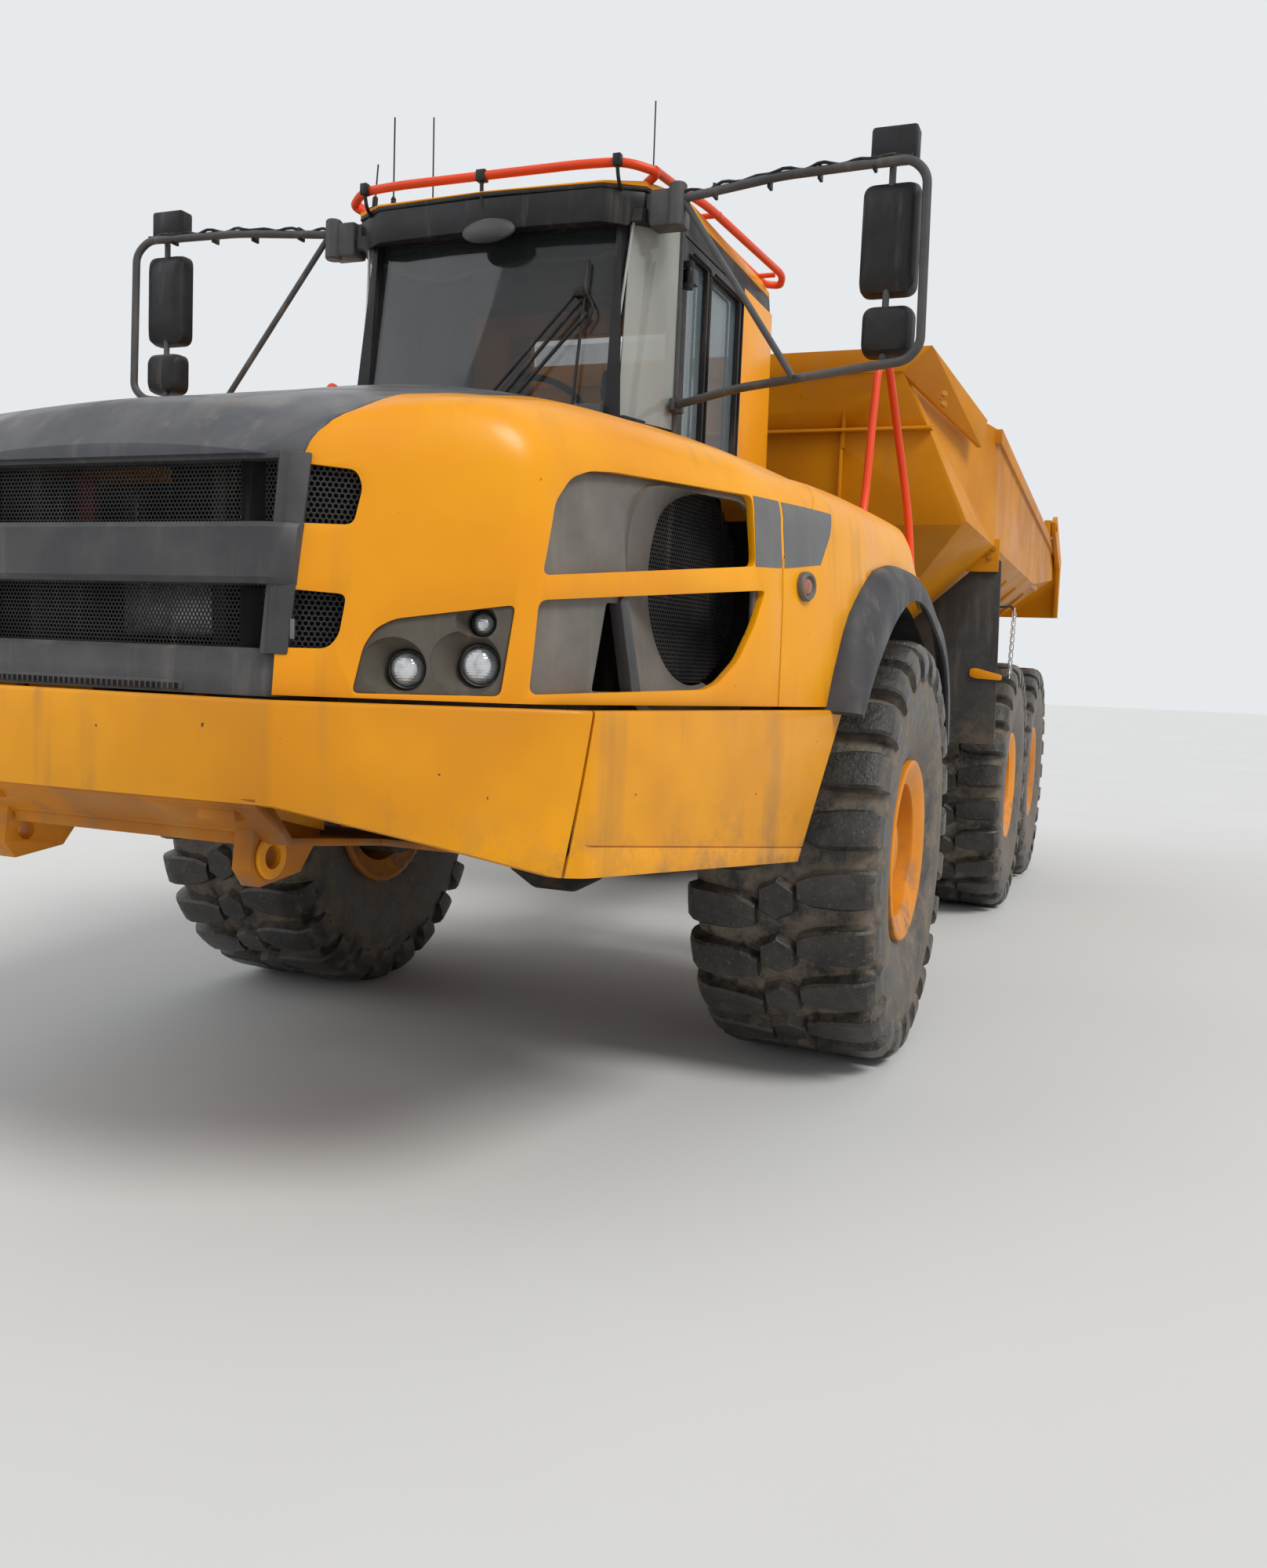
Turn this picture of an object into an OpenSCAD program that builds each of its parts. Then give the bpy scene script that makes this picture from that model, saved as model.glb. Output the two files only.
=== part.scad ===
// Articulated dump truck with three axles, a tipping body and an overhung tailgate.
// X runs forward, Y to the machine's left, Z up. The pieces are drawn about the front
// axle's line and then set so that X = 0 is the middle of the overall length.

/* [Whole machine] */
// Length over all, bumper to body tail
overall_l = 11263; // [11200:1:11500]
// Bumper's front face ahead of the front axle
nose_x = 3101; // [3080:1:3150]
// Steering pin behind the front axle
hitch_back = 1210; // [1200:1:1240]
// First bogie axle behind the front axle
wheelbase = 4451; // [4430:1:4480]
// Distance between the two bogie axles
bogie_gap = 1940; // [1935:1:1960]
// Distance between the middles of the left and right tyres
track_w = 2720; // [2620:1:2730]

/* [Wheels] */
// Tyre diameter over its lugs
tyre_d = 1875; // [1860:1:1880]
// Tyre width at its side walls
tyre_w = 780; // [760:1:790]
// Lugs on each side of a tyre
lug_count = 14; // [14:1:18]
// Height of a lug above the tread's base
lug_h = 58; // [40:1:62]
// Diameter of the rim's seat under the tyre
rim_d = 635; // [630:1:640]
// Diameter over the rim's flange
flange_d = 815; // [810:1:830]
// Distance between the rim's outer flange faces
rim_w = 710; // [690:1:720]
// Thickness of the rim's barrel and disc
rim_t = 24; // [18:1:28]
// Diameter of the hub drive's cover in the rim
hub_d = 400; // [380:1:420]
// Diameter of the spindle that carries a wheel
spindle_d = 220; // [200:1:240]
// Running gap between spindle and hub, on the radius
spindle_gap = 0.3; // [0.2:0.1:0.5]

/* [Axles and frames] */
// Diameter of an axle's beam
beam_d = 280; // [260:1:300]
// Diameter of an axle's middle housing
banjo_d = 700; // [660:1:720]
// Height of the front frame's rails above ground, at their lower edge
rail_z = 1250; // [1240:1:1270]
// Height of a rail's section
rail_h = 330; // [300:1:350]
// Width of a rail's section
rail_t = 90; // [70:1:110]
// Distance between the front rails' middles
front_rail_gap = 840; // [820:1:860]
// Distance between the rear rails' middles
rear_rail_gap = 800; // [780:1:820]
// Height of the roll bearing's axis above ground
roll_z = 1300; // [1290:1:1310]
// Diameter of the steering pin
steer_pin_d = 140; // [120:1:150]
// Height of the steering cylinders above ground
steer_cyl_z = 1100; // [1095:1:1105]
// Steering cylinder base ahead of the steering pin
steer_base_x = 800; // [790:1:810]
// Steering cylinder base out from the middle
steer_base_y = 300; // [295:1:305]
// Steering horn's eye behind the steering pin
steer_horn_x = 350; // [345:1:355]
// Steering horn's eye out from the middle
steer_horn_y = 350; // [345:1:355]

/* [Bumper and hood] */
// Height of the bumper's top edge above ground
bumper_z = 1573; // [1560:1:1580]
// Thickness of the bumper's plate
bumper_t = 20; // [14:1:30]
// Half width of the bumper's flat middle
nose_half = 600; // [580:1:620]
// Thickness of the hood's shell
hood_t = 26; // [20:1:34]
// Gap between the bumper's top and the hood's lower edge
hood_gap = 12; // [8:1:20]
// Diameter of the side fans' mesh
fan_d = 640; // [600:1:660]
// Width of the gap round the hood where it meets its neighbours
seam_gap = 8; // [6:1:12]

/* [Cab] */
// Width of the cab
cab_w = 1500; // [1480:1:1520]
// Height of the cab's roof above ground
roof_z = 3650; // [3620:1:3680]
// Height of the cab's floor above ground
floor_z = 2120; // [2100:1:2140]
// Thickness of the cab's walls and posts
cab_t = 50; // [40:1:60]
// Thickness of the glass
glass_t = 8; // [6:1:12]
// Height of the fenders' deck above ground, beside the cab
deck_z = 2370; // [2350:1:2380]
// Diameter of the handrails' tube
handrail_d = 36; // [30:1:42]

/* [Body] */
// Width over the tipping body's sides
body_w = 3374; // [3340:1:3390]
// Thickness of the body's plates
body_t = 24; // [16:1:30]
// Height of the body's floor above ground, at its underside
body_floor_z = 1800; // [1790:1:1820]
// Height of the body's side rails above ground
body_side_z = 3200; // [3160:1:3230]
// Height of the headboard above ground
headboard_z = 3530; // [3500:1:3560]
// Tipping pin behind the rear axle
tip_pin_back = 609; // [600:1:620]
// Height of the tipping pin above ground
tip_pin_z = 1550; // [1545:1:1555]
// Diameter of the tipping pin
tip_pin_d = 110; // [90:1:120]
// Tipping cylinder base ahead of the tipping pin
tip_base_x = 1500; // [1490:1:1510]
// Tipping cylinder base below the tipping pin
tip_base_z = 800; // [790:1:810]
// Tipping cylinder's upper eye ahead of the tipping pin
tip_eye_x = 400; // [390:1:410]
// Tipping cylinder's upper eye above the tipping pin
tip_eye_z = 100; // [95:1:105]
// Tailgate's pivot ahead of the body's tail
gate_pivot_x = 1000; // [980:1:1020]

/* [Hidden] */

$fn = 32;
eps = 1;
seat_gap = 0.3;

yellow = "#f2a512";
dark = "#4b4b4d";
black = "#1d1d1f";
orange = "#e8431f";

row_x = overall_l / 2 - nose_x;
tail_x = nose_x - overall_l;
hitch_x = -hitch_back;
mid_x = -wheelbase;
rear_x = -wheelbase - bogie_gap;
tip_x = rear_x - tip_pin_back;
axle_z = tyre_d / 2;
half_track = track_w / 2;
half_cab = cab_w / 2;
half_body = body_w / 2;

// Small tools

module both_sides() {
  children();
  mirror([0, 1, 0]) children();
}

// An outline in X and Z, as thick as t, about the plane Y = y
module side_plate(t, y = 0) translate([0, y, 0]) rotate([90, 0, 0])
  linear_extrude(t, center = true) children();

// An outline in Y and Z, from X = x to x + t
module front_plate(t, x = 0) translate([x, 0, 0]) rotate([90, 0, 90]) linear_extrude(t) children();

// A box from its lowest corner to its highest
module block(low, high) translate(low) cube(high - low);

// A round bar between two points
module bar(p, q, d) {
  v = q - p;
  translate(p) rotate([0, acos(v[2] / norm(v)), atan2(v[1], v[0])]) cylinder(d = d, h = norm(v));
}

// A bent tube of eight sides through a list of points, mitred at each bend
function unit(v) = v / norm(v);
function step_dir(p, i) = unit(p[i + 1] - p[i]);
function carried(ring, dir, at, n) = [for (q = ring) q + dir * (((at - q) * n) / (dir * n))];
function tube_rings(p, ring, i = 1) = i == len(p) ? [ring] :
  let (dir = step_dir(p, i - 1), n = i == len(p) - 1 ? dir : unit(dir + step_dir(p, i)))
  concat([ring], tube_rings(p, carried(ring, dir, p[i], n), i + 1));
module tube(points, d) {
  dir = step_dir(points, 0);
  u = unit(cross(dir, abs(dir[2]) > 0.9 ? [1, 0, 0] : [0, 0, 1]));
  v = cross(u, dir);
  loft(tube_rings(points, [for (a = [22.5 : 45 : 360]) points[0] + (u * cos(a) + v * sin(a)) * d / 2 / cos(22.5)]));
}

// A pin, boss or bore across the machine, about Y
module cross_pin(x, z, d, y0, y1) translate([x, y0, z]) rotate([-90, 0, 0]) cylinder(d = d, h = y1 - y0);

// A solid skin over rings of points that follow each other along X, front ring first
module loft(rings) {
  n = len(rings[0]);
  last = (len(rings) - 1) * n;
  polyhedron(
    points = [for (r = rings) for (p = r) p],
    faces = concat(
      [[for (i = [n - 1 : -1 : 0]) i]],
      [for (j = [0 : len(rings) - 2]) for (i = [0 : n - 1])
        each [[j * n + i, j * n + (i + 1) % n, (j + 1) * n + i],
              [j * n + (i + 1) % n, (j + 1) * n + (i + 1) % n, (j + 1) * n + i]]],
      [[for (i = [0 : n - 1]) last + i]]));
}

// Wheels

// Share of the half width and radius along the tyre's outline, from the bead to the tread
tyre_half = [[0.71, rim_d / 2 + seat_gap], [1.00, rim_d / 2 + 300], [0.86, tyre_d / 2 - lug_h]];
lug_angle = 360 / lug_count / 4;
lug_t = tyre_d * sin(lug_angle) * 0.9;
lug_top = tyre_d / 2 * cos(lug_angle);
tread_base = tyre_d / 2 - lug_h;

module tyre() color(black) {
  half = [for (p = tyre_half) [p[1], p[0] * tyre_w / 2]];
  rotate([90, 0, 0]) {
    rotate_extrude($fn = lug_count) polygon(concat(half, [for (i = [len(half) - 1 : -1 : 0]) [half[i][0], -half[i][1]]]));
    for (side = [0, 1]) mirror([0, 0, side])
      for (i = [0 : lug_count - 1]) rotate(i * 360 / lug_count + (side ? 1 : -1) * lug_angle - 90)
        rotate([90, 0, 0]) linear_extrude(lug_t, center = true) polygon([
          [tread_base - 40, tyre_w * 0.03], [lug_top, tyre_w * 0.03], [lug_top, tyre_w * 0.44], [lug_top - 150, tyre_w * 0.5]]);
  }
}

// Radius and distance from the tyre's middle plane, outboard positive
rim_disc = rim_w * 0.16;
rim_bore = rim_d / 2 - rim_t;

module rim() color(yellow) rotate([-90, 0, 0]) {
  difference() {
    rotate_extrude() polygon([
      [0, rim_disc + 170], [hub_d * 0.30, rim_disc + 170], [hub_d * 0.36, rim_disc + 145],
      [hub_d / 2 - 15, rim_disc + 90], [hub_d / 2, rim_disc + 70],
      [hub_d / 2, rim_disc + rim_t], [rim_bore, rim_disc + rim_t],
      [rim_bore, rim_w / 2 - 40], [flange_d / 2 - 14, rim_w / 2], [flange_d / 2, rim_w / 2 - 6],
      [flange_d / 2, rim_w / 2 - 34], [rim_d / 2, rim_w / 2 - 70],
      [rim_d / 2, 70 - rim_w / 2], [flange_d / 2, 34 - rim_w / 2], [flange_d / 2, 6 - rim_w / 2],
      [flange_d / 2 - 14, -rim_w / 2], [rim_bore, 40 - rim_w / 2],
      [rim_bore, rim_disc], [spindle_d / 2 + spindle_gap, rim_disc],
      [spindle_d / 2 + spindle_gap, rim_disc + 90], [0, rim_disc + 90]]);
    for (i = [0 : 7]) rotate(i * 45 + 22.5) translate([rim_bore - 62, 0, rim_disc - eps])
      cylinder(d = 64, h = rim_t + 2 * eps);
  }
}

module wheel_at(x, side) translate([x, side * half_track, axle_z]) mirror([0, side > 0 ? 0 : 1, 0]) children();

// Axles

// Distance from the middle and radius along an axle's housing
spindle_end = half_track + rim_disc + 80;
axle_half = [
  [0, banjo_d / 2], [90, banjo_d / 2], [200, banjo_d / 2 - 60], [330, beam_d / 2 + 20],
  [430, beam_d / 2], [half_track - 500, beam_d / 2], [half_track - 440, 250],
  [half_track - 60, 250], [half_track - 30, spindle_d / 2], [spindle_end, spindle_d / 2]
];

module axle_housing() rotate([-90, 0, 0]) rotate_extrude()
  polygon(concat([for (p = axle_half) [p[1], p[0]]], [[0, spindle_end], [0, -spindle_end]],
    [for (i = [len(axle_half) - 1 : -1 : 0]) [axle_half[i][1], -axle_half[i][0]]]));

module front_axle() color(dark) {
  translate([0, 0, axle_z]) {
    axle_housing();
    // Input housing towards the rear
    bar([-200, 0, 60], [-400, 0, 70], 220);
  }
  // Suspension struts up to the rails
  both_sides() {
    translate([0, front_rail_gap / 2, axle_z]) cylinder(d = 130, h = rail_z - axle_z - 60);
    translate([0, front_rail_gap / 2, axle_z]) cylinder(d = 200, h = rail_z - axle_z - 120);
    translate([0, front_rail_gap / 2, rail_z - 60]) cylinder(d = 220, h = 60 - seat_gap);
  }
}

module rear_axles() color(dark) for (x = [mid_x, rear_x]) translate([x, 0, axle_z]) {
  axle_housing();
  bar([0, 0, 60], [x == mid_x ? 520 : 460, 0, 90], 220);
}

// Bogie beams that rock on the rear frame between the two axles
bogie_x = (mid_x + rear_x) / 2;
bogie_y = 720;
bogie_z = axle_z + 210;
bogie_pin_d = 100;

module bogie_beams() color(dark) both_sides() {
  difference() {
    side_plate(110, bogie_y) polygon([
      [mid_x + 130, axle_z + 200], [mid_x - 130, axle_z + 210], [bogie_x + 150, bogie_z + 130],
      [bogie_x - 150, bogie_z + 130], [rear_x + 130, axle_z + 210], [rear_x - 130, axle_z + 200],
      [rear_x - 130, axle_z + 145], [rear_x + 200, axle_z + 145], [bogie_x - 160, bogie_z - 130],
      [bogie_x + 160, bogie_z - 130], [mid_x - 200, axle_z + 145], [mid_x + 130, axle_z + 145]]);
    cross_pin(bogie_x, bogie_z, bogie_pin_d + 2 * seat_gap, bogie_y - 60, bogie_y + 60);
  }
  // Rubber seats on the axle beams
  for (x = [mid_x, rear_x]) difference() {
    translate([x, bogie_y, axle_z + beam_d / 2 - 30]) cylinder(d = 150, h = 50);
    cross_pin(x, axle_z, beam_d + 2 * seat_gap, bogie_y - 100, bogie_y + 100);
  }
}

// Front frame and hitch

neck_half = 150;
ear_top = roll_z + 320;
ear_low = roll_z - 320;
ear_t = 55;
horn_t = 32;
eye_t = 120;
front_rail_end = hitch_x + 700;

module steer_bracket() {
  x = hitch_x + steer_base_x;
  for (z = [steer_cyl_z + eye_t / 2 + 5, steer_cyl_z - eye_t / 2 - 5 - horn_t])
    block([x - 60, steer_base_y - 75, z], [x + 145, steer_base_y + 75, z + horn_t]);
  block([x + 85, steer_base_y - 75, steer_cyl_z - eye_t / 2 - 5 - horn_t], [x + 145, steer_base_y + 75, rail_z + eps]);
  translate([x, steer_base_y, steer_cyl_z - eye_t / 2 - horn_t - 12]) cylinder(d = 60, h = eye_t + 2 * horn_t + 24);
}

module front_frame() color(dark) {
  // Rails from the bumper to the hitch, and what joins them
  both_sides() block([front_rail_end, front_rail_gap / 2 - rail_t / 2, rail_z],
                     [nose_x - 500, front_rail_gap / 2 + rail_t / 2, rail_z + rail_h]);
  for (x = [nose_x - 650, 1500, 500]) block([x, -front_rail_gap / 2, rail_z + 40], [x + 120, front_rail_gap / 2, rail_z + 160]);
  block([front_rail_end, -front_rail_gap / 2, rail_z], [front_rail_end + 320, front_rail_gap / 2, rail_z + rail_h]);
  // Neck with two ears round the hitch, and the steering pin
  side_plate(2 * neck_half) polygon([
    [front_rail_end + eps, rail_z], [front_rail_end + eps, rail_z + rail_h], [front_rail_end - 120, ear_top + ear_t],
    [hitch_x, ear_top + ear_t], [hitch_x, ear_top], [front_rail_end - 200, ear_top],
    [front_rail_end - 200, ear_low], [hitch_x, ear_low], [hitch_x, ear_low - ear_t],
    [front_rail_end - 120, ear_low - ear_t], [front_rail_end + 200, rail_z]]);
  for (z = [ear_top, ear_low - ear_t]) translate([hitch_x, 0, z]) cylinder(r = neck_half, h = ear_t);
  translate([hitch_x, 0, ear_low - ear_t - 20]) cylinder(d = steer_pin_d, h = ear_top - ear_low + 2 * ear_t + 40);
  both_sides() steer_bracket();
  // Engine mounts and the cab's mounting arms
  for (x = [1120, 2200]) both_sides() block([x, 300, rail_z + rail_h - eps], [x + 160, 460, rail_z + rail_h + 80]);
  for (x = [front_rail_end + 10, 620]) both_sides() {
    block([x, front_rail_gap / 2 - 40, rail_z + rail_h - eps], [x + 110, front_rail_gap / 2 + 40, floor_z - cab_t - 60]);
    block([x, front_rail_gap / 2 - 40, floor_z - cab_t - 120], [x + 110, 900, floor_z - cab_t - 60]);
    block([x + 15, half_cab - 140, floor_z - cab_t - 60 - eps], [x + 95, half_cab - 60, floor_z - cab_t - seat_gap]);
  }
}

hitch_half = 100;
roll_face = hitch_x - 540;
roll_d = 520;
roll_pin_d = 260;
roll_pin_l = 120;

module hitch() color(dark) difference() {
  union() {
    // Barrel on the steering pin, block behind it and the roll bearing's flange
    translate([hitch_x, 0, ear_low + 5]) cylinder(r = hitch_half, h = ear_top - ear_low - 10);
    block([roll_face + 60, -hitch_half, ear_low + 20], [hitch_x, hitch_half, ear_top - 20]);
    translate([roll_face, 0, roll_z]) rotate([0, 90, 0]) cylinder(d = roll_d, h = 70);
    // Roll pin in the rear frame's tube
    translate([roll_face - roll_pin_l, 0, roll_z]) rotate([0, 90, 0]) cylinder(d = roll_pin_d, h = roll_pin_l + eps);
    // Steering horns, a plate above and a plate below each cylinder's eye
    for (z = [steer_cyl_z + eye_t / 2 + 5, steer_cyl_z - eye_t / 2 - 5 - horn_t]) {
      block([hitch_x - steer_horn_x - 90, -steer_horn_y - 30, z], [hitch_x - steer_horn_x + 90, steer_horn_y + 30, z + horn_t]);
      both_sides() translate([hitch_x - steer_horn_x, steer_horn_y, z]) cylinder(d = 180, h = horn_t);
    }
    // Bosses of the horn's pins, outside the plates
    both_sides() for (z = [steer_cyl_z + eye_t / 2 + 5 + horn_t - eps, steer_cyl_z - eye_t / 2 - 5 - horn_t - 24])
      translate([hitch_x - steer_horn_x, steer_horn_y, z]) cylinder(d = 110, h = 24 + eps);
  }
  translate([hitch_x, 0, ear_low]) cylinder(d = steer_pin_d + 0.1, h = ear_top - ear_low);
}

// Steering cylinders, each along its own line from base to horn

steer_vec = [-steer_base_x - steer_horn_x, steer_horn_y - steer_base_y, 0];
steer_len = norm(steer_vec);
steer_barrel_l = 520;
steer_bore = 64;

module along_steer() translate([hitch_x + steer_base_x, steer_base_y, steer_cyl_z])
  rotate([0, 0, atan2(steer_vec[1], steer_vec[0])]) children();

module steer_barrel() color(dark) along_steer() difference() {
  union() {
    translate([0, 0, -eye_t / 2]) cylinder(d = 120, h = eye_t);
    rotate([0, 90, 0]) cylinder(d = 90, h = 90);
    translate([80, 0, 0]) rotate([0, 90, 0]) cylinder(d = 112, h = steer_barrel_l - 80);
  }
  translate([0, 0, -eye_t / 2 - eps]) cylinder(d = 60 + 2 * seat_gap, h = eye_t + 2 * eps);
  translate([90, 0, 0]) rotate([0, 90, 0]) cylinder(d = steer_bore + 2 * seat_gap, h = steer_barrel_l);
}

module steer_rod() color("silver") along_steer() {
  translate([steer_len - 720, 0, 0]) rotate([0, 90, 0]) cylinder(d = steer_bore, h = 680);
  translate([steer_len, 0, -eye_t / 2]) cylinder(d = 110, h = eye_t);
}

// Rear frame

module rear_frame() color(dark) {
  // Roll bearing tube and the front plate
  difference() {
    translate([roll_face - 5 - 500, 0, roll_z]) rotate([0, 90, 0]) cylinder(d = roll_d, h = 500);
    translate([roll_face - roll_pin_l - 20, 0, roll_z]) rotate([0, 90, 0]) cylinder(d = roll_pin_d + 2 * spindle_gap, h = roll_pin_l + 20);
  }
  front_plate(60, roll_face - 5 - 520) polygon([
    [-rear_rail_gap / 2 - rail_t / 2, roll_z - 120], [rear_rail_gap / 2 + rail_t / 2, roll_z - 120],
    [rear_rail_gap / 2 + rail_t / 2, roll_z + 250], [280, roll_z + 320], [-280, roll_z + 320],
    [-rear_rail_gap / 2 - rail_t / 2, roll_z + 250]]);
  // Rails, dropped a little over the bogie
  both_sides() side_plate(rail_t, rear_rail_gap / 2) polygon([
    [roll_face - 480, roll_z - 120], [roll_face - 480, roll_z + 250], [mid_x + 500, roll_z + 300],
    [tip_x + 150, roll_z + 300], [tip_x - 110, tip_pin_z + 90], [tip_x - 110, tip_pin_z - 90],
    [tip_x + 150, roll_z - 40], [mid_x + 500, roll_z - 40]]);
  for (x = [mid_x + 600, bogie_x - 60, rear_x - 200])
    block([x, -rear_rail_gap / 2, roll_z + 60], [x + 140, rear_rail_gap / 2, roll_z + 240]);
  both_sides() {
    // Bogie pivots
    cross_pin(bogie_x, bogie_z, 260, rear_rail_gap / 2, rear_rail_gap / 2 + 58);
    cross_pin(bogie_x, bogie_z, bogie_pin_d, rear_rail_gap / 2, bogie_y + 80);
    block([bogie_x - 150, rear_rail_gap / 2 - rail_t / 2, bogie_z - 140], [bogie_x + 150, rear_rail_gap / 2 + rail_t / 2, roll_z]);
    // Tipping cylinder brackets
    tip_bracket();
  }
  // Tipping pin
  cross_pin(tip_x, tip_pin_z, tip_pin_d, -ear_y - ear_half - 12, ear_y + ear_half + 12);
}

tip_y = 560;
tip_eye_t = 90;
ear_y = rear_rail_gap / 2 + rail_t / 2 + 35;
ear_half = 25;
module tip_bracket() {
  x = tip_x + tip_base_x;
  z = tip_pin_z - tip_base_z;
  block([x - 110, rear_rail_gap / 2 - rail_t / 2, z - 90], [x + 110, rear_rail_gap / 2 + rail_t / 2, roll_z]);
  cross_pin(x, z, 90, rear_rail_gap / 2, tip_y + tip_eye_t / 2 + 12);
}

// Tipping cylinders

tip_vec = [tip_eye_x - tip_base_x, 0, tip_eye_z + tip_base_z];
tip_len = norm(tip_vec);
tip_barrel_l = tip_len - 130;
tip_bore = 84;

module along_tip() both_sides() translate([tip_x + tip_base_x, tip_y, tip_pin_z - tip_base_z])
  rotate([0, 90 - atan2(tip_vec[2], tip_vec[0]), 0]) children();

module tip_barrels() color(yellow) along_tip() difference() {
  union() {
    rotate([90, 0, 0]) cylinder(d = 170, h = tip_eye_t, center = true);
    cylinder(d = 84, h = 140);
    translate([0, 0, 100]) cylinder(d = 180, h = tip_barrel_l - 100);
  }
  rotate([90, 0, 0]) cylinder(d = 90 + 2 * seat_gap, h = tip_eye_t + 2, center = true);
  translate([0, 0, 140]) cylinder(d = tip_bore + 2 * seat_gap, h = tip_barrel_l);
}

module tip_rods() color("silver") along_tip() {
  translate([0, 0, 150]) cylinder(d = tip_bore, h = tip_len - 190);
  translate([0, 0, tip_len]) rotate([90, 0, 0]) cylinder(d = 150, h = tip_eye_t, center = true);
}

// Bumper

// Rear end of the bumper's side, in plan
bumper_rear = [990, 1600];

module bumper_half_outline(inset) polygon([
  [1450 - eps, -eps], [nose_x - inset, -eps], [nose_x - 15 - inset, nose_half - inset * 0.3],
  [2600 - inset * 0.6, 1270 - inset * 0.9], [bumper_rear[0] - 2, bumper_rear[1] - inset], [bumper_rear[0] - 2, 1200], [1450 - eps, 1100]]);

module bumper() color(yellow) {
  both_sides() intersection() {
    difference() {
      linear_extrude(bumper_z) bumper_half_outline(0);
      translate([0, 0, -eps]) linear_extrude(bumper_z + 2 * eps) bumper_half_outline(bumper_t);
    }
    // Lower edge drops from the middle to the corner, and the rear edge leans over the tyre
    side_plate(4000) polygon([
      [nose_x + 10, 1290], [nose_x + 10, bumper_z], [bumper_rear[0], bumper_z],
      [1450, 1050], [2600, 1105], [nose_x - 200, 1240]]);
  }
  // Under guard behind the lower edge
  intersection() {
    side_plate(2200) polygon([
      [nose_x - 60, 1290], [nose_x - 160, 1180], [2000, 1080], [2000, 1100], [nose_x - 170, 1200], [nose_x - 80, 1296]]);
    both_sides() linear_extrude(bumper_z) bumper_half_outline(bumper_t - eps);
  }
  // Beam to the rails
  both_sides() block([nose_x - 500 + seat_gap, front_rail_gap / 2 - 60, rail_z], [nose_x - bumper_t - 10, front_rail_gap / 2 + 60, rail_z + 200]);
  // Hinge plates and pins of the hood
  both_sides() {
    block([hinge_x - 26, hinge_y[0], rail_z + 60], [hinge_x + 26, hinge_y[1], hinge_z]);
    cross_pin(hinge_x, hinge_z, 52, hinge_y[0], hinge_y[1]);
    cross_pin(hinge_x, hinge_z, hinge_d, hinge_y[0] - 38, hinge_y[1] + 38);
    block([hinge_x - 26, hinge_y[0], rail_z + 60], [hinge_x + 26, front_rail_gap / 2, rail_z + 120]);
  }
  // Tow eyes
  both_sides() difference() {
    side_plate(60, 440) polygon([
      [nose_x - 130, 1280], [nose_x - 110, 1110], [nose_x - 150, 1060], [nose_x - 330, 1080], [nose_x - 420, 1180], [nose_x - 420, 1280]]);
    cross_pin(nose_x - 190, 1140, 60, 400, 480);
  }
}

// Hood and fenders share one skin; columns are
// X, half width at the lower edge, half width of the crest, height of the crest, height of the middle, skirt height
skin = [
  [nose_x - 45, 565, 505, 2215, 2300],
  [2930, 760, 640, 2310, 2375],
  [2680, 1140, 900, 2400, 2440],
  [2200, 1270, 1040, 2455, 2560],
  [1700, 1405, 1180, 2450, 2680],
  [1200, 1545, 1320, 2415, 2740],
  [1040, 1565, 1350, 2400, 2748],
  [600, 1620, 1430, deck_z, deck_z],
  [-200, 1640, 1480, deck_z - 40, deck_z - 20],
  [-620, 1640, 1500, 2200, 2200]
];
skin_z = bumper_z + hood_gap;

// Ring of the skin at one station, moved inwards by t
function ring(s, t) = let (
    w = s[1] - t, c = s[2] - t * 0.8, zc = s[3] - t * 0.8, zm = s[4] - t, low = skin_z - (t > 0 ? 60 : 0),
    rise = (s[3] - skin_z),
    half = concat([[w, low], [w - 4, skin_z + rise * 0.45], [w - 22, skin_z + rise * 0.72 - t * 0.3]],
      [for (a = [22 : 22 : 68]) [c + (w - 22 - c) * cos(a), zc - (rise * 0.28 - t * 0.5) * (1 - sin(a))]],
      [[c, zc], [c * 0.62, zc + (zm - zc) * 0.62], [c * 0.3, zc + (zm - zc) * 0.93]]))
  concat([for (p = half) [s[0], p[0], p[1]]], [for (i = [len(half) - 1 : -1 : 0]) [s[0], -half[i][0], half[i][1]]]);

module skin_solid(first, last, t, grow = 0) loft([for (i = [first : last])
  ring([skin[i][0] + (i == first ? grow : i == last ? -grow : 0), skin[i][1], skin[i][2], skin[i][3], skin[i][4]], t)]);

// Rear edge of the hood, seen from the side: upright below, leaning forward above
module behind_hood(gap) side_plate(4000) polygon([
  [1440 + gap, 1500], [1440 + gap, 2090], [1060 + gap, 2400], [1060 + gap, 3000], [-2000, 3000], [-2000, 1500]]);

// Half angle of the hood's corner face and of its side, in plan
corner_a = [nose_x - 51, 570];
corner_b = [2680, 1140];
corner_c = [1460, 1470];

// Places children on a face of the hood: X along the face from its front edge, Y up, Z outwards
module on_face(a, b) translate([a[0], a[1], 0]) rotate([0, 0, atan2(b[1] - a[1], b[0] - a[0])]) rotate([90, 0, 0]) children();

// Outlines on the corner face and on the side face: distance along the face, height
vent_outlines = [
  [[80, 2025], [205, 2030], [222, 2150], [205, 2172], [95, 2178]],
  [[60, 1712], [150, 1712], [165, 1735], [185, 1850], [75, 1855]]
];
lamp_outline = [[205, 1597], [232, 1720], [262, 1768], [310, 1795], [625, 1847], [592, 1603]];
fan_windows = [
  [[30, 1930], [80, 2130], [150, 2205], [230, 2235], [340, 2248], [1090, 2282], [1090, 2045]],
  [[0, 1610], [22, 1864], [1166, 1976], [1100, 1850], [1010, 1735], [900, 1660], [820, 1636]]
];

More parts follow.
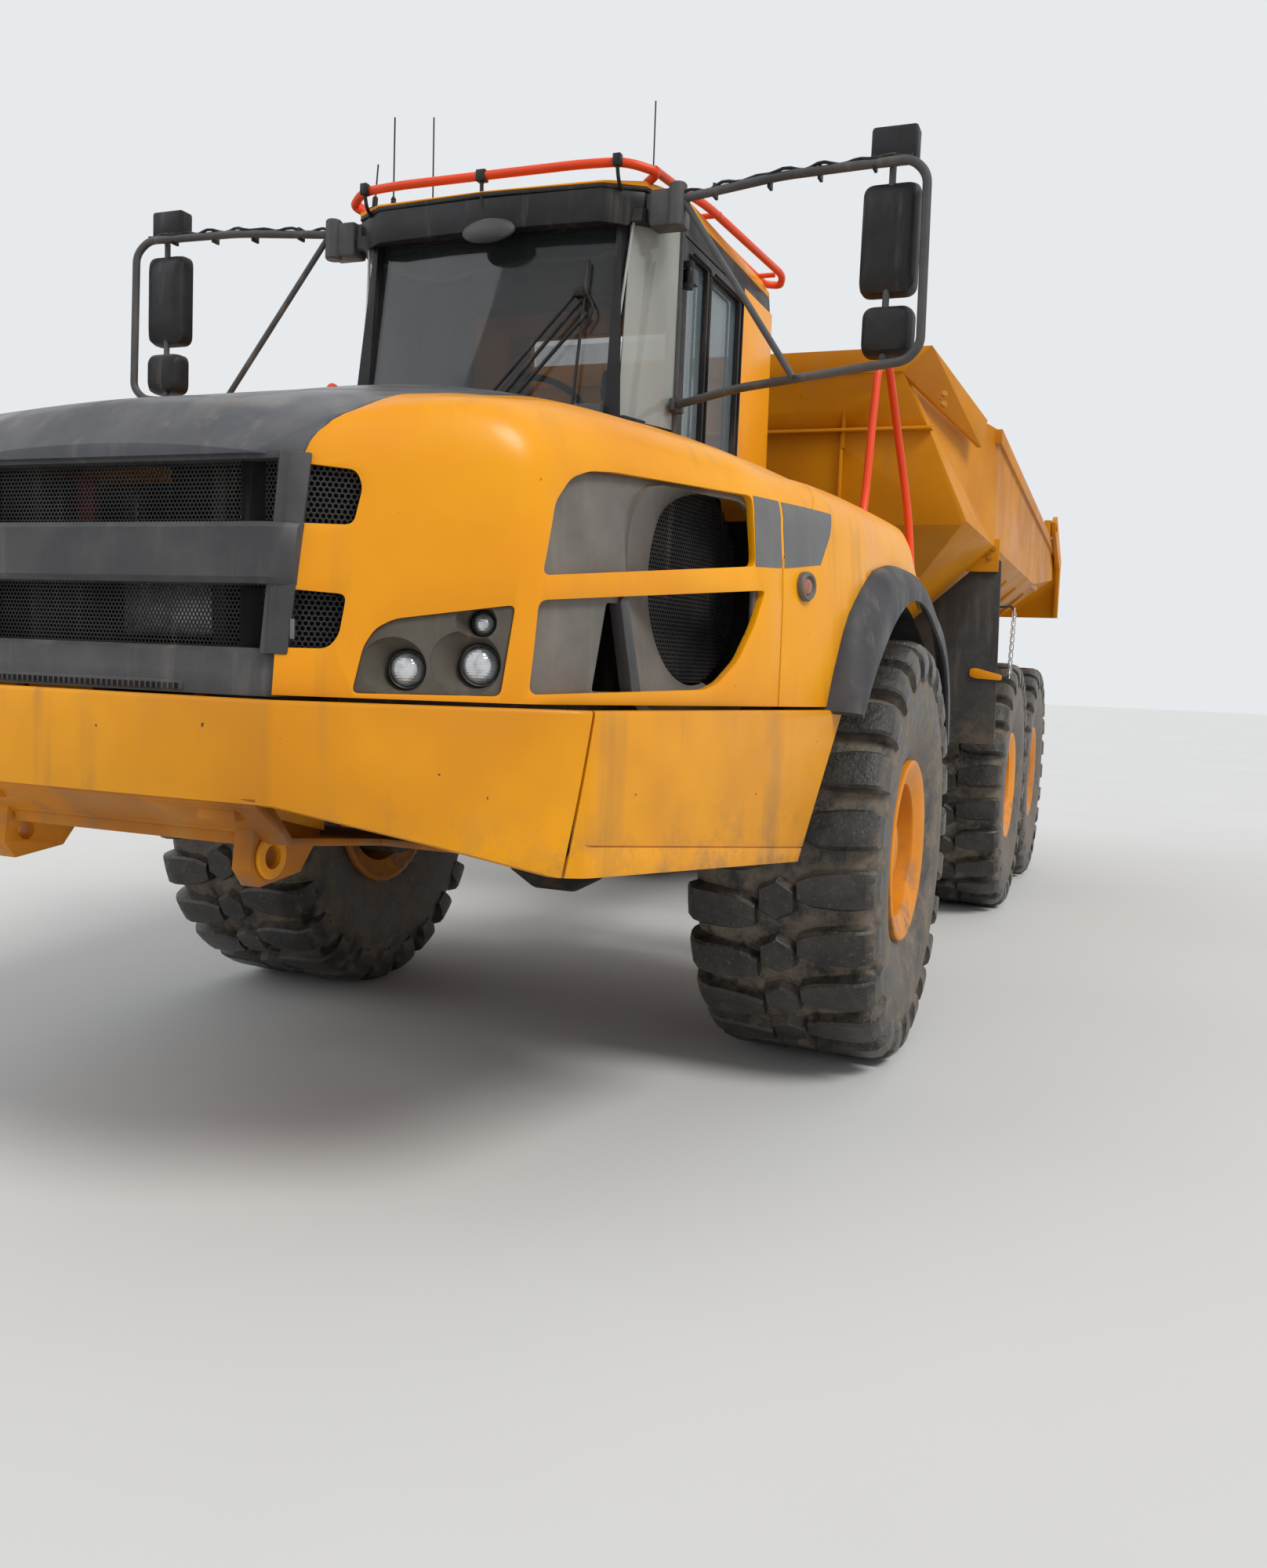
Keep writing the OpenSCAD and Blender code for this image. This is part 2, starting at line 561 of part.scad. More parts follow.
module cut_on_faces() {
  both_sides() {
    on_face(corner_a, corner_b) for (o = concat(vent_outlines, [lamp_outline])) translate([0, 0, -160]) linear_extrude(260) polygon(o);
    on_face(corner_b, corner_c) for (o = fan_windows) translate([0, 0, -160]) linear_extrude(260) polygon(o);
  }
  // Grille opening
  block([nose_x - 260, -540, skin_z - 100], [nose_x + 50, 540, 2205]);
}

// Grey cover along the middle of the hood, from above
module grey_plan(gap) linear_extrude(3200) polygon([
  [nose_x + 40, -505 - gap], [nose_x + 40, 505 + gap], [2750, 560 + gap], [2300, 640 + gap], [900, 690 + gap],
  [900, -690 - gap], [2300, -640 - gap], [2750, -560 - gap]]);

module hood_shell() difference() {
  skin_solid(0, 6, 0);
  skin_solid(0, 6, hood_t, -hood_t);
  behind_hood(seam_gap);
  cut_on_faces();
}

module hood() color(yellow) difference() {
  hood_shell();
  translate([0, 0, 2208]) grey_plan(0);
}

module hood_top() color(dark) difference() {
  intersection() {
    union() {
      difference() {
        skin_solid(0, 6, 0);
        skin_solid(0, 6, hood_t, -hood_t);
      }
      // Thick front lip over the grille
      intersection() {
        skin_solid(0, 1, 0);
        block([nose_x - 140, -500, 2208], [nose_x, 500, 2400]);
      }
    }
    translate([0, 0, 2208 + seat_gap]) grey_plan(-seat_gap);
  }
  behind_hood(seam_gap);
}

// Grille: frame posts, crossbar, lower bar and the mesh behind them
grille_half = 540 - seat_gap;
hinge_x = nose_x - 71;
hinge_z = bumper_z + 27;
hinge_d = 26;
hinge_y = [300, 330];
module grille() color(dark) difference() {
  union() {
    difference() {
      block([nose_x - 130, -grille_half, skin_z], [nose_x - 45, grille_half, 2200]);
      for (z = [[1712, 1868], [2022, 2180]]) block([nose_x - 140, -470, z[0]], [nose_x, 470, z[1]]);
    }
    block([nose_x - 46, -500, 1868], [nose_x - 20, 500, 2022]);
    block([nose_x - 46, -500, skin_z], [nose_x - 30, 500, 1700]);
    // Mesh as crossing bars
    for (y = [-450 : 60 : 450]) block([nose_x - 112, y - 5, skin_z], [nose_x - 100, y + 5, 2200]);
    for (z = [1712 : 50 : 2180]) block([nose_x - 114, -grille_half, z], [nose_x - 98, grille_half, z + 8]);
  }
  // Slots for the bumper's hinge plates, bores for their pins
  both_sides() {
    block([nose_x - 140, hinge_y[0] - 5, skin_z - eps], [nose_x, hinge_y[1] + 5, hinge_z + 40]);
    cross_pin(hinge_x, hinge_z, hinge_d + 2 * seat_gap, hinge_y[0] - 40, hinge_y[1] + 40);
  }
}

// A layer right behind the hood's shell
module behind_shell(t) difference() {
  skin_solid(0, 6, hood_t + seat_gap, -hood_t - seat_gap);
  skin_solid(0, 6, hood_t + t, -hood_t - t);
  behind_hood(seam_gap);
  block([0, -2000, 1400], [4000, 2000, skin_z + 4]);
}

// Grey panels in the fan windows and the vents, with the deep ring of each fan
fan_at = [1000, 1970];
fan_side = [[20, 1604], [60, 2190], [200, 2215], [1130, 2270], [1180, 1990], [1200, 1604]];
wedge_hole = [[300, 1625], [330, 1850], [365, 1850], [480, 1625]];
vent_back = [[[40, 2000], [240, 2005], [255, 2150], [235, 2200], [60, 2205]], [[30, 1690], [165, 1690], [185, 1735], [205, 1872], [50, 1880]]];
module side_panels() color(dark) {
  difference() {
    intersection() {
      behind_shell(22);
      both_sides() on_face(corner_b, corner_c) translate([0, 0, -300]) linear_extrude(400) polygon(fan_side);
    }
    both_sides() on_face(corner_b, corner_c) translate([0, 0, -300]) linear_extrude(400) {
      translate(fan_at) circle(d = fan_d);
      polygon(wedge_hole);
    }
  }
  intersection() {
    behind_shell(14);
    both_sides() on_face(corner_a, corner_b) for (o = vent_back) translate([0, 0, -200]) linear_extrude(300) polygon(o);
  }
  difference() {
    intersection() {
      skin_solid(0, 6, hood_t + seat_gap, -hood_t - seat_gap);
      both_sides() on_face(corner_b, corner_c) translate([fan_at[0], fan_at[1], -hood_t - 190]) difference() {
        cylinder(d = fan_d + 30, h = 180);
        translate([0, 0, 50]) cylinder(d = fan_d - 10, h = 184);
      }
    }
    behind_hood(seam_gap);
  }
}

// Lamp pods on the corner faces: distance along the face, height, diameter
lamps = [[349, 1662, 92], [541, 1681, 100], [548, 1794, 58]];
module headlamps() color(dark) {
  difference() {
    union() {
      both_sides() on_face(corner_a, corner_b) translate([0, 0, -90]) linear_extrude(76) offset(delta = -5) polygon(lamp_outline);
      intersection() {
        behind_shell(20);
        both_sides() on_face(corner_a, corner_b) translate([0, 0, -200]) linear_extrude(300) offset(delta = 14) polygon(lamp_outline);
      }
    }
    both_sides() on_face(corner_a, corner_b) for (l = lamps) translate([l[0], l[1], -74]) cylinder(d1 = l[2] + 4, d2 = l[2] * 1.9, h = 74);
  }
  both_sides() on_face(corner_a, corner_b) for (l = lamps) translate([l[0], l[1], -80]) cylinder(d = l[2], h = 34);
}

// Fenders: the rest of the skin round the cab, with the wheel arch cut out
// Angle about the wheel's middle, and gap from the tyre to the arch
arch = [
  [23.4, 632], [32.6, 643], [42.8, 604], [56.9, 455], [85.2, 265], [113.6, 310], [131.4, 425], [145.8, 490], [159.9, 405]
];
function arch_line(inset) = [for (a = arch) let (r = tyre_d / 2 + a[1] - inset) [r * cos(a[0]), axle_z + r * sin(a[0])]];
function back(line) = [for (i = [len(line) - 1 : -1 : 0]) line[i]];
function past_first(line) = [for (i = [1 : len(line) - 1]) line[i]];
post_low = floor_z - cab_t - 60;
fender_posts = [[620, deck_z - 10], [front_rail_end + 10, deck_z - 135]];

module fenders() color(yellow) {
  difference() {
    union() {
      difference() {
        skin_solid(4, 9, 0);
        skin_solid(4, 9, hood_t, 0);
        block([-1500, -half_cab - 20, 1400], [1056, half_cab + 20, 3000]);
      }
      // Turn lamps
      both_sides() on_face(corner_b, corner_c) translate([1424, 2009, -30]) cylinder(d = 100, h = 50);
    }
    difference() {
      block([1000, -2000, 1400], [3300, 2000, 3100]);
      behind_hood(0);
    }
    // Open below and behind the skirt line
    both_sides() side_plate(1300, 1350) polygon(concat(arch_line(0), [[-1500, 1400], [-1500, 1000], [1440, 1000]]));
  }
  // Posts down to the frame's arms
  for (post = fender_posts) both_sides()
    block([post[0], half_cab + 40, post_low + seat_gap], [post[0] + 110, half_cab + 140, post[1]]);
}

// Rubber flares, with the wheel liners inside them
module arch_flares() color(black) both_sides() {
  side_plate(70, 1660) polygon(concat(arch_line(seat_gap), back(arch_line(105))));
  side_plate(740, 1270) polygon(concat(past_first(arch_line(45)), back(past_first(arch_line(75)))));
}

// Cab

cab_front = 1010;
cab_rear = -740;
cab_nose_half = 600;
cab_bend = 640;
post_w = 90;
glass_low = 2700;
eave_z = roof_z - 130;
door_front = 620;
door_rear = -200;
door_low = deck_z + 60;
door_high = eave_z - 30;
door_gap = 6;
divider_x = 300;

// The cab seen from the side and from above, moved inwards
module cab_outline(inset) polygon([
  [cab_rear + inset, floor_z - cab_t + inset], [cab_rear + 60 + inset, eave_z - inset],
  [cab_front - 110 - inset, eave_z - inset], [cab_front - inset, floor_z - cab_t + inset]]);
module cab_plan(inset, front = cab_front + 100) polygon([
  [cab_rear - 10, inset - half_cab], [cab_rear - 10, half_cab - inset], [cab_bend - inset * 0.4, half_cab - inset],
  [front - inset * 0.4, cab_nose_half - inset], [front - inset * 0.4, inset - cab_nose_half], [cab_bend - inset * 0.4, inset - half_cab]]);

module door_outline(gap) polygon([
  [door_rear - gap, door_low - gap], [door_rear - gap, door_high + gap],
  [door_front + gap, door_high + gap], [door_front + gap, door_low - gap]]);

// Places children on the slanted face between the door and the windscreen: X along it to the rear, Z outwards
module on_quarter() on_face([cab_front + 100, cab_nose_half], [cab_bend, half_cab]) children();
quarter_l = norm([cab_front + 100 - cab_bend, half_cab - cab_nose_half]);
quarter_pane = [[150, glass_low], [190, eave_z - 50], [quarter_l - 30, eave_z - 50], [quarter_l - 30, glass_low]];
right_pane = [[cab_rear + 200, glass_low], [cab_rear + 200, eave_z - 60], [cab_bend - 60, eave_z - 60], [cab_bend - 60, glass_low]];

module cab_shell() color(yellow) {
  cab_walls();
  cab_hinges();
}

module cab_walls() difference() {
  intersection() {
    side_plate(cab_w) cab_outline(0);
    linear_extrude(4000) cab_plan(0);
  }
  intersection() {
    side_plate(cab_w) cab_outline(cab_t);
    linear_extrude(4000) cab_plan(cab_t);
  }
  // Windscreen, quarter panes, rear window, right side window, door opening
  block([cab_front - 220, 40 - cab_nose_half, glass_low], [cab_front + 10, cab_nose_half - 40, eave_z - 60]);
  both_sides() on_quarter() translate([0, 0, -cab_t - 30]) linear_extrude(cab_t + 60) polygon(quarter_pane);
  block([cab_rear - 10, -half_cab + 160, glass_low], [cab_rear + 160, half_cab - 160, eave_z - 60]);
  side_plate(cab_t + 40, half_cab) door_outline(door_gap);
  side_plate(cab_t + 40, -half_cab) polygon(right_pane);
}

// Door hinges: heights of the knuckles, with a lug of the cab above and below each
door_pin = [door_front + 3, half_cab + 24];
knuckle_z = [2560, 3300];
knuckle_h = 60;
module cab_hinges() for (z = knuckle_z) {
  for (low = [z - 26, z + knuckle_h + 1]) {
    translate([door_pin[0], door_pin[1], low]) cylinder(d = 36, h = 25);
    block([door_pin[0] + 4, half_cab - 10, low], [door_pin[0] + 18, door_pin[1], low + 25]);
  }
  translate([door_pin[0], door_pin[1], z - 20]) cylinder(d = 18, h = knuckle_h + 40);
}
module door_knuckles() for (z = knuckle_z) difference() {
  union() {
    translate([door_pin[0], door_pin[1], z]) cylinder(d = 36, h = knuckle_h);
    block([door_front - 60, half_cab - 4, z], [door_pin[0], door_pin[1] + 18, z + knuckle_h]);
  }
  translate([door_pin[0], door_pin[1], z - 1]) cylinder(d = 18 + 2 * seat_gap, h = knuckle_h + 2);
}

roof_low = eave_z + seat_gap;
module roof_plan(grow) polygon([
  [cab_rear + 20, -half_cab - grow + 20], [cab_rear + 20, half_cab + grow - 20], [cab_bend - 100, half_cab + grow - 10],
  [880, 670 + grow], [970, 520 + grow], [1000 + grow, 0], [970, -520 - grow], [880, -670 - grow], [cab_bend - 100, -half_cab - grow + 10]]);
module roof_body(up) intersection() {
  side_plate(cab_w + 200) polygon([
    [cab_rear + 20, roof_low - up], [cab_rear + 60, roof_z - 20 + up], [cab_rear + 200, roof_z + up], [700, roof_z + up],
    [1050, roof_z - 46 + up], [1050, roof_z - 62], [840, roof_z - 62], [840, roof_low - up]]);
  linear_extrude(4000) roof_plan(up);
}
module cab_roof() color(yellow) roof_body(0);

// Black band under the roof's front edge, over the windscreen
module visor() color(black) difference() {
  intersection() {
    side_plate(cab_w + 200) polygon([[840 + seat_gap, roof_low], [840 + seat_gap, roof_z - 62 - seat_gap], [1040, roof_z - 62 - seat_gap], [1000, eave_z - 60], [908, eave_z - 70], [901, roof_low]]);
    linear_extrude(4000) roof_plan(-6);
  }
  block([860, -570, eave_z - 100], [930, 570, roof_z - 90]);
}

module cab_glass() color("#9fb4b8") {
  // Windscreen, leaning back
  side_plate(2 * (cab_nose_half - 40 - seat_gap)) polygon([
    [cab_front - 40, glass_low + seat_gap], [cab_front - 40 + glass_t, glass_low + seat_gap],
    [cab_front - 140 + glass_t, eave_z - 60 - seat_gap], [cab_front - 140, eave_z - 60 - seat_gap]]);
  both_sides() on_quarter() translate([0, 0, -30]) linear_extrude(glass_t) offset(delta = -seat_gap) polygon(quarter_pane);
  block([cab_rear + 50, -half_cab + 160 + seat_gap, glass_low + seat_gap], [cab_rear + 50 + glass_t, half_cab - 160 - seat_gap, eave_z - 60 - seat_gap]);
  side_plate(glass_t, -half_cab + 20) offset(delta = -seat_gap) polygon(right_pane);
}

door_panes = [[door_rear + 45, divider_x - 15], [divider_x + 15, door_front - 50]];
module door() color(black) {
  door_leaf();
  door_knuckles();
}

module door_leaf() difference() {
  side_plate(cab_t - 8, half_cab - cab_t / 2 + 2) door_outline(0);
  for (x = door_panes) block([x[0], half_cab - 100, glass_low - 130], [x[1], half_cab + 50, door_high - 50]);
}

module door_glass() color("#9fb4b8") for (x = door_panes)
  block([x[0] + seat_gap, half_cab - 34, glass_low - 130 + seat_gap],
        [x[1] - seat_gap, half_cab - 34 + glass_t, door_high - 50 - seat_gap]);

module seat() color(black) translate([-180, 0, floor_z]) {
  block([-200, -200, seat_gap], [200, 200, 300]);
  block([-260, -260, 300], [280, 260, 420]);
  rotate([0, -8, 0]) block([-290, -250, 340], [-160, 250, 1000]);
  rotate([0, -8, 0]) block([-280, -130, 1010], [-190, 130, 1180]);
  for (y = [-70, 50]) rotate([0, -8, 0]) block([-245, y, 990], [-225, y + 20, 1020]);
}

module dashboard() color(black) {
  intersection() {
    block([cab_front - 330, -half_cab, floor_z + seat_gap], [cab_front - 70, half_cab, floor_z + 540]);
    linear_extrude(4000) cab_plan(cab_t + seat_gap);
    side_plate(cab_w) cab_outline(cab_t + seat_gap);
  }
  bar([cab_front - 330, 0, floor_z + 400], [380, 0, floor_z + 720], 60);
  translate([380, 0, floor_z + 720]) rotate([0, -35, 0]) difference() {
    cylinder(d = 440, h = 34);
    translate([0, 0, -eps]) cylinder(d = 380, h = 40);
  }
  translate([380, 0, floor_z + 720]) rotate([0, -35, 0]) block([-200, -20, 4], [200, 20, 30]);
}

// Roof rails and fender handrails, each half as a bent tube
rail_lift = 30;
roof_rail = [[845, 655, roof_z - 20], [868, 715, roof_z + 10], [955, 610, roof_z + rail_lift], [978, 430, roof_z + rail_lift], [978, -1, roof_z + rail_lift]];
side_rail = [[878, 702, roof_z + 16], [640, 715, roof_z + rail_lift], [420, 765, roof_z + rail_lift], [-580, 825, roof_z + rail_lift],
             [-735, 770, roof_z + rail_lift], [-700, 700, roof_z + rail_lift], [-500, 690, roof_z + rail_lift], [160, 675, roof_z + rail_lift], [230, 665, roof_z - 20]];
fender_rail = [[870, 1560, deck_z - 160], [830, 1590, deck_z + 150], [640, 1600, deck_z + 560], [520, 1600, deck_z + 575],
               [360, 1600, deck_z + 480], [40, 1600, deck_z + 180], [-350, 1590, deck_z - 230]];
module handrails() color(orange) difference() {
  both_sides() {
    for (line = [roof_rail, side_rail, fender_rail]) tube(line, handrail_d);
    // Feet of the roof rails
    for (x = [-560, 300]) tube([[x, 700, roof_z - 10], [x, 700, roof_z + rail_lift]], 24);
    for (x = [-560, 300]) tube([[x, 695, roof_z + rail_lift], [x, 790, roof_z + rail_lift]], 24);
  }
  skin_solid(4, 9, -seat_gap);
  roof_body(seat_gap);
}

// Mirror arms: one bent tube each side, with the lamp box and the two mirrors
mirror_arm = [[850, 760, 3545], [880, 830, 3545], [960, 1250, 3560], [990, 1740, 3560], [1000, 1800, 3500], [1000, 1810, 2900],
              [990, 1760, 2850], [900, 1100, 2800], [700, half_cab - 40, 2785]];
mirror_boxes = [[[880, 1580, 3575], [960, 1750, 3700]], [[900, 1560, 3100], [985, 1770, 3500]], [[900, 1580, 2880], [985, 1770, 3060]]];
module mirrors() color(dark) both_sides() difference() {
  mirror_side();
  linear_extrude(4000) cab_plan(-seat_gap);
}
module mirror_side() {
  tube(mirror_arm, 34);
  tube([[880, 830, 3540], [960, 1330, 2818]], 26);
  tube([[950, 1665, 3600], [950, 1665, 2835]], 26);
  for (m = mirror_boxes) block(m[0], m[1]);
  // Clamp on the cab's roof corner
  block([760, 660, 3430], [900, 850, 3590]);
}

// Foot and tip of each antenna
antenna_lines = [[[730, -600, roof_z - 10], [735, -600, roof_z + 425]], [[395, -600, roof_z - 10], [410, -600, roof_z + 555]],
                 [[880, -600, roof_z - 40], [785, -648, roof_z + 210]], [[140, 400, roof_z - 10], [150, 400, roof_z + 615]]];
module antennas() color(black) difference() {
  for (a = antenna_lines) tube(a, 14);
  roof_body(seat_gap);
}

module exhaust() color(dark) difference() {
  tube([[-300, -1100, deck_z - 60], [-300, -1100, 3080], [-380, -1100, 3180]], 140);
  skin_solid(4, 9, -seat_gap);
}

module engine() color(dark) block([1070, -330, rail_z + rail_h + 80 + seat_gap], [2420, 330, 2330]);

radiator_x = [nose_x - 610, nose_x - 510];
module radiator() color("silver") {
  block([radiator_x[0], -440, rail_z + rail_h + seat_gap], [radiator_x[1], 440, 2180]);
  for (y = [-300, 120]) block([radiator_x[1] - eps, y, 2000], [radiator_x[1] + 60, y + 60, 2180]);
}

module tanks() color(yellow) both_sides() {
  block([-1000, front_rail_gap / 2 + rail_t / 2 + 12, 1200], [-290, 840, 1780]);
  block([-480, front_rail_gap / 2 + rail_t / 2 + seat_gap, 1290], [-320, front_rail_gap / 2 + rail_t / 2 + 12 + eps, 1540]);
}

// Steps behind the left wheel arch, hung from the tank's bracket
ladder_x = [-1420, -1290];
ladder_y = [880, 1340];
module ladder() color(dark) {
  for (z = [620 : 280 : 1740]) block([ladder_x[0], ladder_y[0], z], [ladder_x[1], ladder_y[1], z + 40]);
  for (y = ladder_y) block([ladder_x[0], y - 10, 600], [ladder_x[1], y + 10, 1800]);
  // Arms to the tank
  for (z = [1280, 1640]) {
    block([ladder_x[1] - 60, 700, z], [ladder_x[1], ladder_y[0] + eps, z + 60]);
    block([ladder_x[1] - 60, 700, z], [-1000 - seat_gap, 760, z + 60]);
  }
}

// Tipping body

// X, floor half width, floor Z, knee half width, knee Z, top half width, top Z
bed_rings = [
  [-1620, 1625, 2578, 1655, 2596, 1280, headboard_z - 130],
  [-2800, 800, body_floor_z, half_body - 20, 2590, half_body - 20, 3310],
  [-5900, 760, body_floor_z, half_body - 20, 2590, half_body - 20, body_side_z],
  [tail_x + 90, 1180, 2440, half_body - 20, 2800, half_body - 20, 3100]
];
function bed_ring(s, t, dx, up) = let (half = [[s[1] - t * 0.4, s[2] + t], [s[3] - t, s[4] + t * 0.4], [s[5] - t, s[6] + up]])
  concat([for (p = half) [s[0] + dx, p[0], p[1]]], [for (i = [2 : -1 : 0]) [s[0] + dx, -half[i][0], half[i][1]]]);

// Corner points of the canopy's ear, upper front, lower front, lower rear, upper rear
ear = [[-1500, 1430, headboard_z], [-1500, 1275, headboard_z - 132], [-2350, 1612, 3130], [-2350, 1640, 3290]];
inward = [0, -body_t, 0];

module bed() color(yellow) {
  difference() {
    loft([for (s = bed_rings) bed_ring(s, 0, 0, 0)]);
    loft([for (i = [0 : 3]) bed_ring(bed_rings[i], body_t, i == 0 ? -body_t : i == 3 ? -100 : 0, 40)]);
  }
  // Canopy over the headboard, leaning forward, with its upright flange
  intersection() {
    side_plate(2 * half_body) polygon([
      [-1620 + eps, 3130], [-1500, headboard_z - 132], [-1480, headboard_z - 130], [-1480, headboard_z],
      [-1500, headboard_z], [-1506, headboard_z - 110], [-1620 - eps, 3190]]);
    front_plate(400, -1800) polygon([
      [-1430, headboard_z], [1430, headboard_z], [1275, headboard_z - 132], [1405, 3120], [-1405, 3120], [-1275, headboard_z - 132]]);
  }
  both_sides() {
    loft([[ear[0], ear[0] + inward, ear[1] + inward, ear[1]], [ear[3], ear[3] + inward, ear[2] + inward, ear[2]]]);
    // Side rails
    bar_box([-2740, half_body - 55, 3310 - 45], [tail_x + 90, half_body - 55, 3100 - 45], 110, 90);
    // Lug and pin of the tailgate
    block([gate_pin[0] - 90, half_body - 60, 3060], [gate_pin[0] + 90, half_body - 1, gate_pin[1] + 60]);
    cross_pin(gate_pin[0], gate_pin[1], gate_pin_d, half_body - 40, half_body + 56);
    // Upright ribs on the canopy, the flap's bracket
    for (y = [300, 930]) block([-1620, y, 3010], [-1580, y + 16, 3300]);
    block([-2896, 1500, 2430], [-2880, 1700, 2640]);
    // Floor beams, hinge ears on the tipping pin, ears for the cylinder's eye
    side_plate(60, rear_rail_gap / 2) under_floor(-2900, tip_x - 150);
    difference() {
      side_plate(2 * ear_half, ear_y) polygon([
        [tip_x + 330, floor_at(tip_x + 330) + eps], [tip_x + 330, beam_low], [tip_x + 100, tip_pin_z - 90],
        [tip_x - 100, tip_pin_z - 90], [tip_x - 160, beam_low], [tip_x - 160, floor_at(tip_x - 160) + eps]]);
      cross_pin(tip_x, tip_pin_z, tip_pin_d + 2 * seat_gap, ear_y - ear_half - eps, ear_y + ear_half + eps);
    }
    for (side = [-1, 1]) side_plate(24, tip_y + side * (tip_eye_t / 2 + 17)) polygon([
      [eye_x + 130, floor_at(eye_x + 130) + eps], [eye_x + 130, beam_low], [eye_x + 70, tip_pin_z + tip_eye_z - 70],
      [eye_x - 70, tip_pin_z + tip_eye_z - 70], [eye_x - 130, beam_low], [eye_x - 130, floor_at(eye_x - 130) + eps]]);
  }
  // Box across the tail end of the beams
  side_plate(2 * ear_y) under_floor(tip_x + 320, tip_x - 150);
}

// The floor's underside rises towards the tail, and the beams fill what is below it
beam_low = body_floor_z - 85;
eye_x = tip_x + tip_eye_x;
function floor_at(x) = let (a = bed_rings[2], b = bed_rings[3]) x > a[0] ? body_floor_z : a[2] + (b[2] - a[2]) * (a[0] - x) / (a[0] - b[0]);
module under_floor(front, tail) polygon([
  [front, beam_low], [front, floor_at(front) + eps], if (front > bed_rings[2][0]) [bed_rings[2][0], body_floor_z + eps],
  [tail, floor_at(tail) + eps], [tail, beam_low]]);

// A square bar between two points, w across and h high
module bar_box(p, q, w, h) {
  v = q - p;
  translate(p) rotate([0, acos(v[2] / norm(v)), atan2(v[1], v[0])]) translate([-h / 2, -w / 2, 0]) cube([h, w, norm(v)]);
}

// Rubber flaps in front of the bogie's wheels
flap_out = half_track + tyre_w / 2 - 5;
module mudflaps() color(black) both_sides() front_plate(20, -2916.5)
  polygon([[flap_out - 585, 1310], [flap_out - 585, 2105], [flap_out - 105, 2540], [flap_out - 30, 2500], [flap_out, 1310]]);

gate_pin = [tail_x + gate_pivot_x, 3220];
gate_pin_d = 70;
module tailgate() color(yellow) {
  both_sides() difference() {
    side_plate(40, half_body + 25) polygon([
      [tail_x + gate_pivot_x + 90, 3260], [tail_x + gate_pivot_x - 60, 3330], [tail_x + 30, 3000], [tail_x, 2420],
      [tail_x + 90, 2420], [tail_x + 180, 2900], [tail_x + gate_pivot_x - 60, 3130], [tail_x + gate_pivot_x + 60, 3150]]);
    cross_pin(gate_pin[0], gate_pin[1], gate_pin_d + 2 * seat_gap, half_body, half_body + 60);
  }
  block([tail_x, -half_body - 10, 2420], [tail_x + 40, half_body + 10, 3080]);
}

module place() translate([row_x, 0, 0]) children();

place() front_frame();
place() front_axle();
place() bumper();
place() engine();
place() radiator();
place() fenders();
place() arch_flares();
place() cab_shell();
place() cab_roof();
place() visor();
place() cab_glass();
place() seat();
place() dashboard();
place() handrails();
place() mirrors();
place() antennas();
place() exhaust();
place() tanks();
place() ladder();
place() hood();
place() hood_top();
place() grille();
place() side_panels();
place() headlamps();
place() door();
place() door_glass();
place() wheel_at(0, 1) tyre();  // tyre_front_left
place() wheel_at(0, -1) tyre();  // tyre_front_right
place() wheel_at(mid_x, 1) tyre();  // tyre_mid_left
place() wheel_at(mid_x, -1) tyre();  // tyre_mid_right
place() wheel_at(rear_x, 1) tyre();  // tyre_rear_left
place() wheel_at(rear_x, -1) tyre();  // tyre_rear_right
place() wheel_at(0, 1) rim();  // rim_front_left
place() wheel_at(0, -1) rim();  // rim_front_right
place() wheel_at(mid_x, 1) rim();  // rim_mid_left
place() wheel_at(mid_x, -1) rim();  // rim_mid_right
place() wheel_at(rear_x, 1) rim();  // rim_rear_left
place() wheel_at(rear_x, -1) rim();  // rim_rear_right
place() hitch();
place() rear_frame();
place() rear_axles();
place() bogie_beams();
place() steer_barrel();  // steer_barrel_left
place() mirror([0, 1, 0]) steer_barrel();  // steer_barrel_right
place() steer_rod();  // steer_rod_left
place() mirror([0, 1, 0]) steer_rod();  // steer_rod_right
place() bed();
place() mudflaps();
place() tailgate();
place() tip_barrels();
place() tip_rods();
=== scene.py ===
"""Looks for a three-axle articulated dump truck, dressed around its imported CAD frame.

Lengths are metres. Pieces are drawn about the front axle's line, with X forward, Y to the machine's
left and Z up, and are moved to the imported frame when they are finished.
"""

from __future__ import annotations

import logging
import math
from dataclasses import dataclass, field
from enum import Enum
from typing import Iterable, Sequence

import bmesh
import bpy
from mathutils import Matrix, Vector


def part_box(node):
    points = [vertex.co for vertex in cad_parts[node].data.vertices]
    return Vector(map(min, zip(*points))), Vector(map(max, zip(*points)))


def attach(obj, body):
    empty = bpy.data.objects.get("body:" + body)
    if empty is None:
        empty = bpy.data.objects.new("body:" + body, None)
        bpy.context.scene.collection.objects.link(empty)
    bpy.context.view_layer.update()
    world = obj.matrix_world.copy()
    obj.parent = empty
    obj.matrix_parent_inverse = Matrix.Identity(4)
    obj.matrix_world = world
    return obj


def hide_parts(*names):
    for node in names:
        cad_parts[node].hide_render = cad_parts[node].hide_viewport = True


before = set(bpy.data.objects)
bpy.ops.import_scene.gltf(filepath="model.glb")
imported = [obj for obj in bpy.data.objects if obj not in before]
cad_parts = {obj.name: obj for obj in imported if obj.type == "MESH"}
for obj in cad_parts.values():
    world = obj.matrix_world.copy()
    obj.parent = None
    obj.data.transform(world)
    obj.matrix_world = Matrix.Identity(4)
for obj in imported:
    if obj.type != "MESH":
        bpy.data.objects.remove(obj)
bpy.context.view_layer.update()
LOG = logging.getLogger("truck")

Point = Sequence[float]
Outline = Sequence[Sequence[float]]
Socket = bpy.types.NodeSocket
Piece = bpy.types.Object

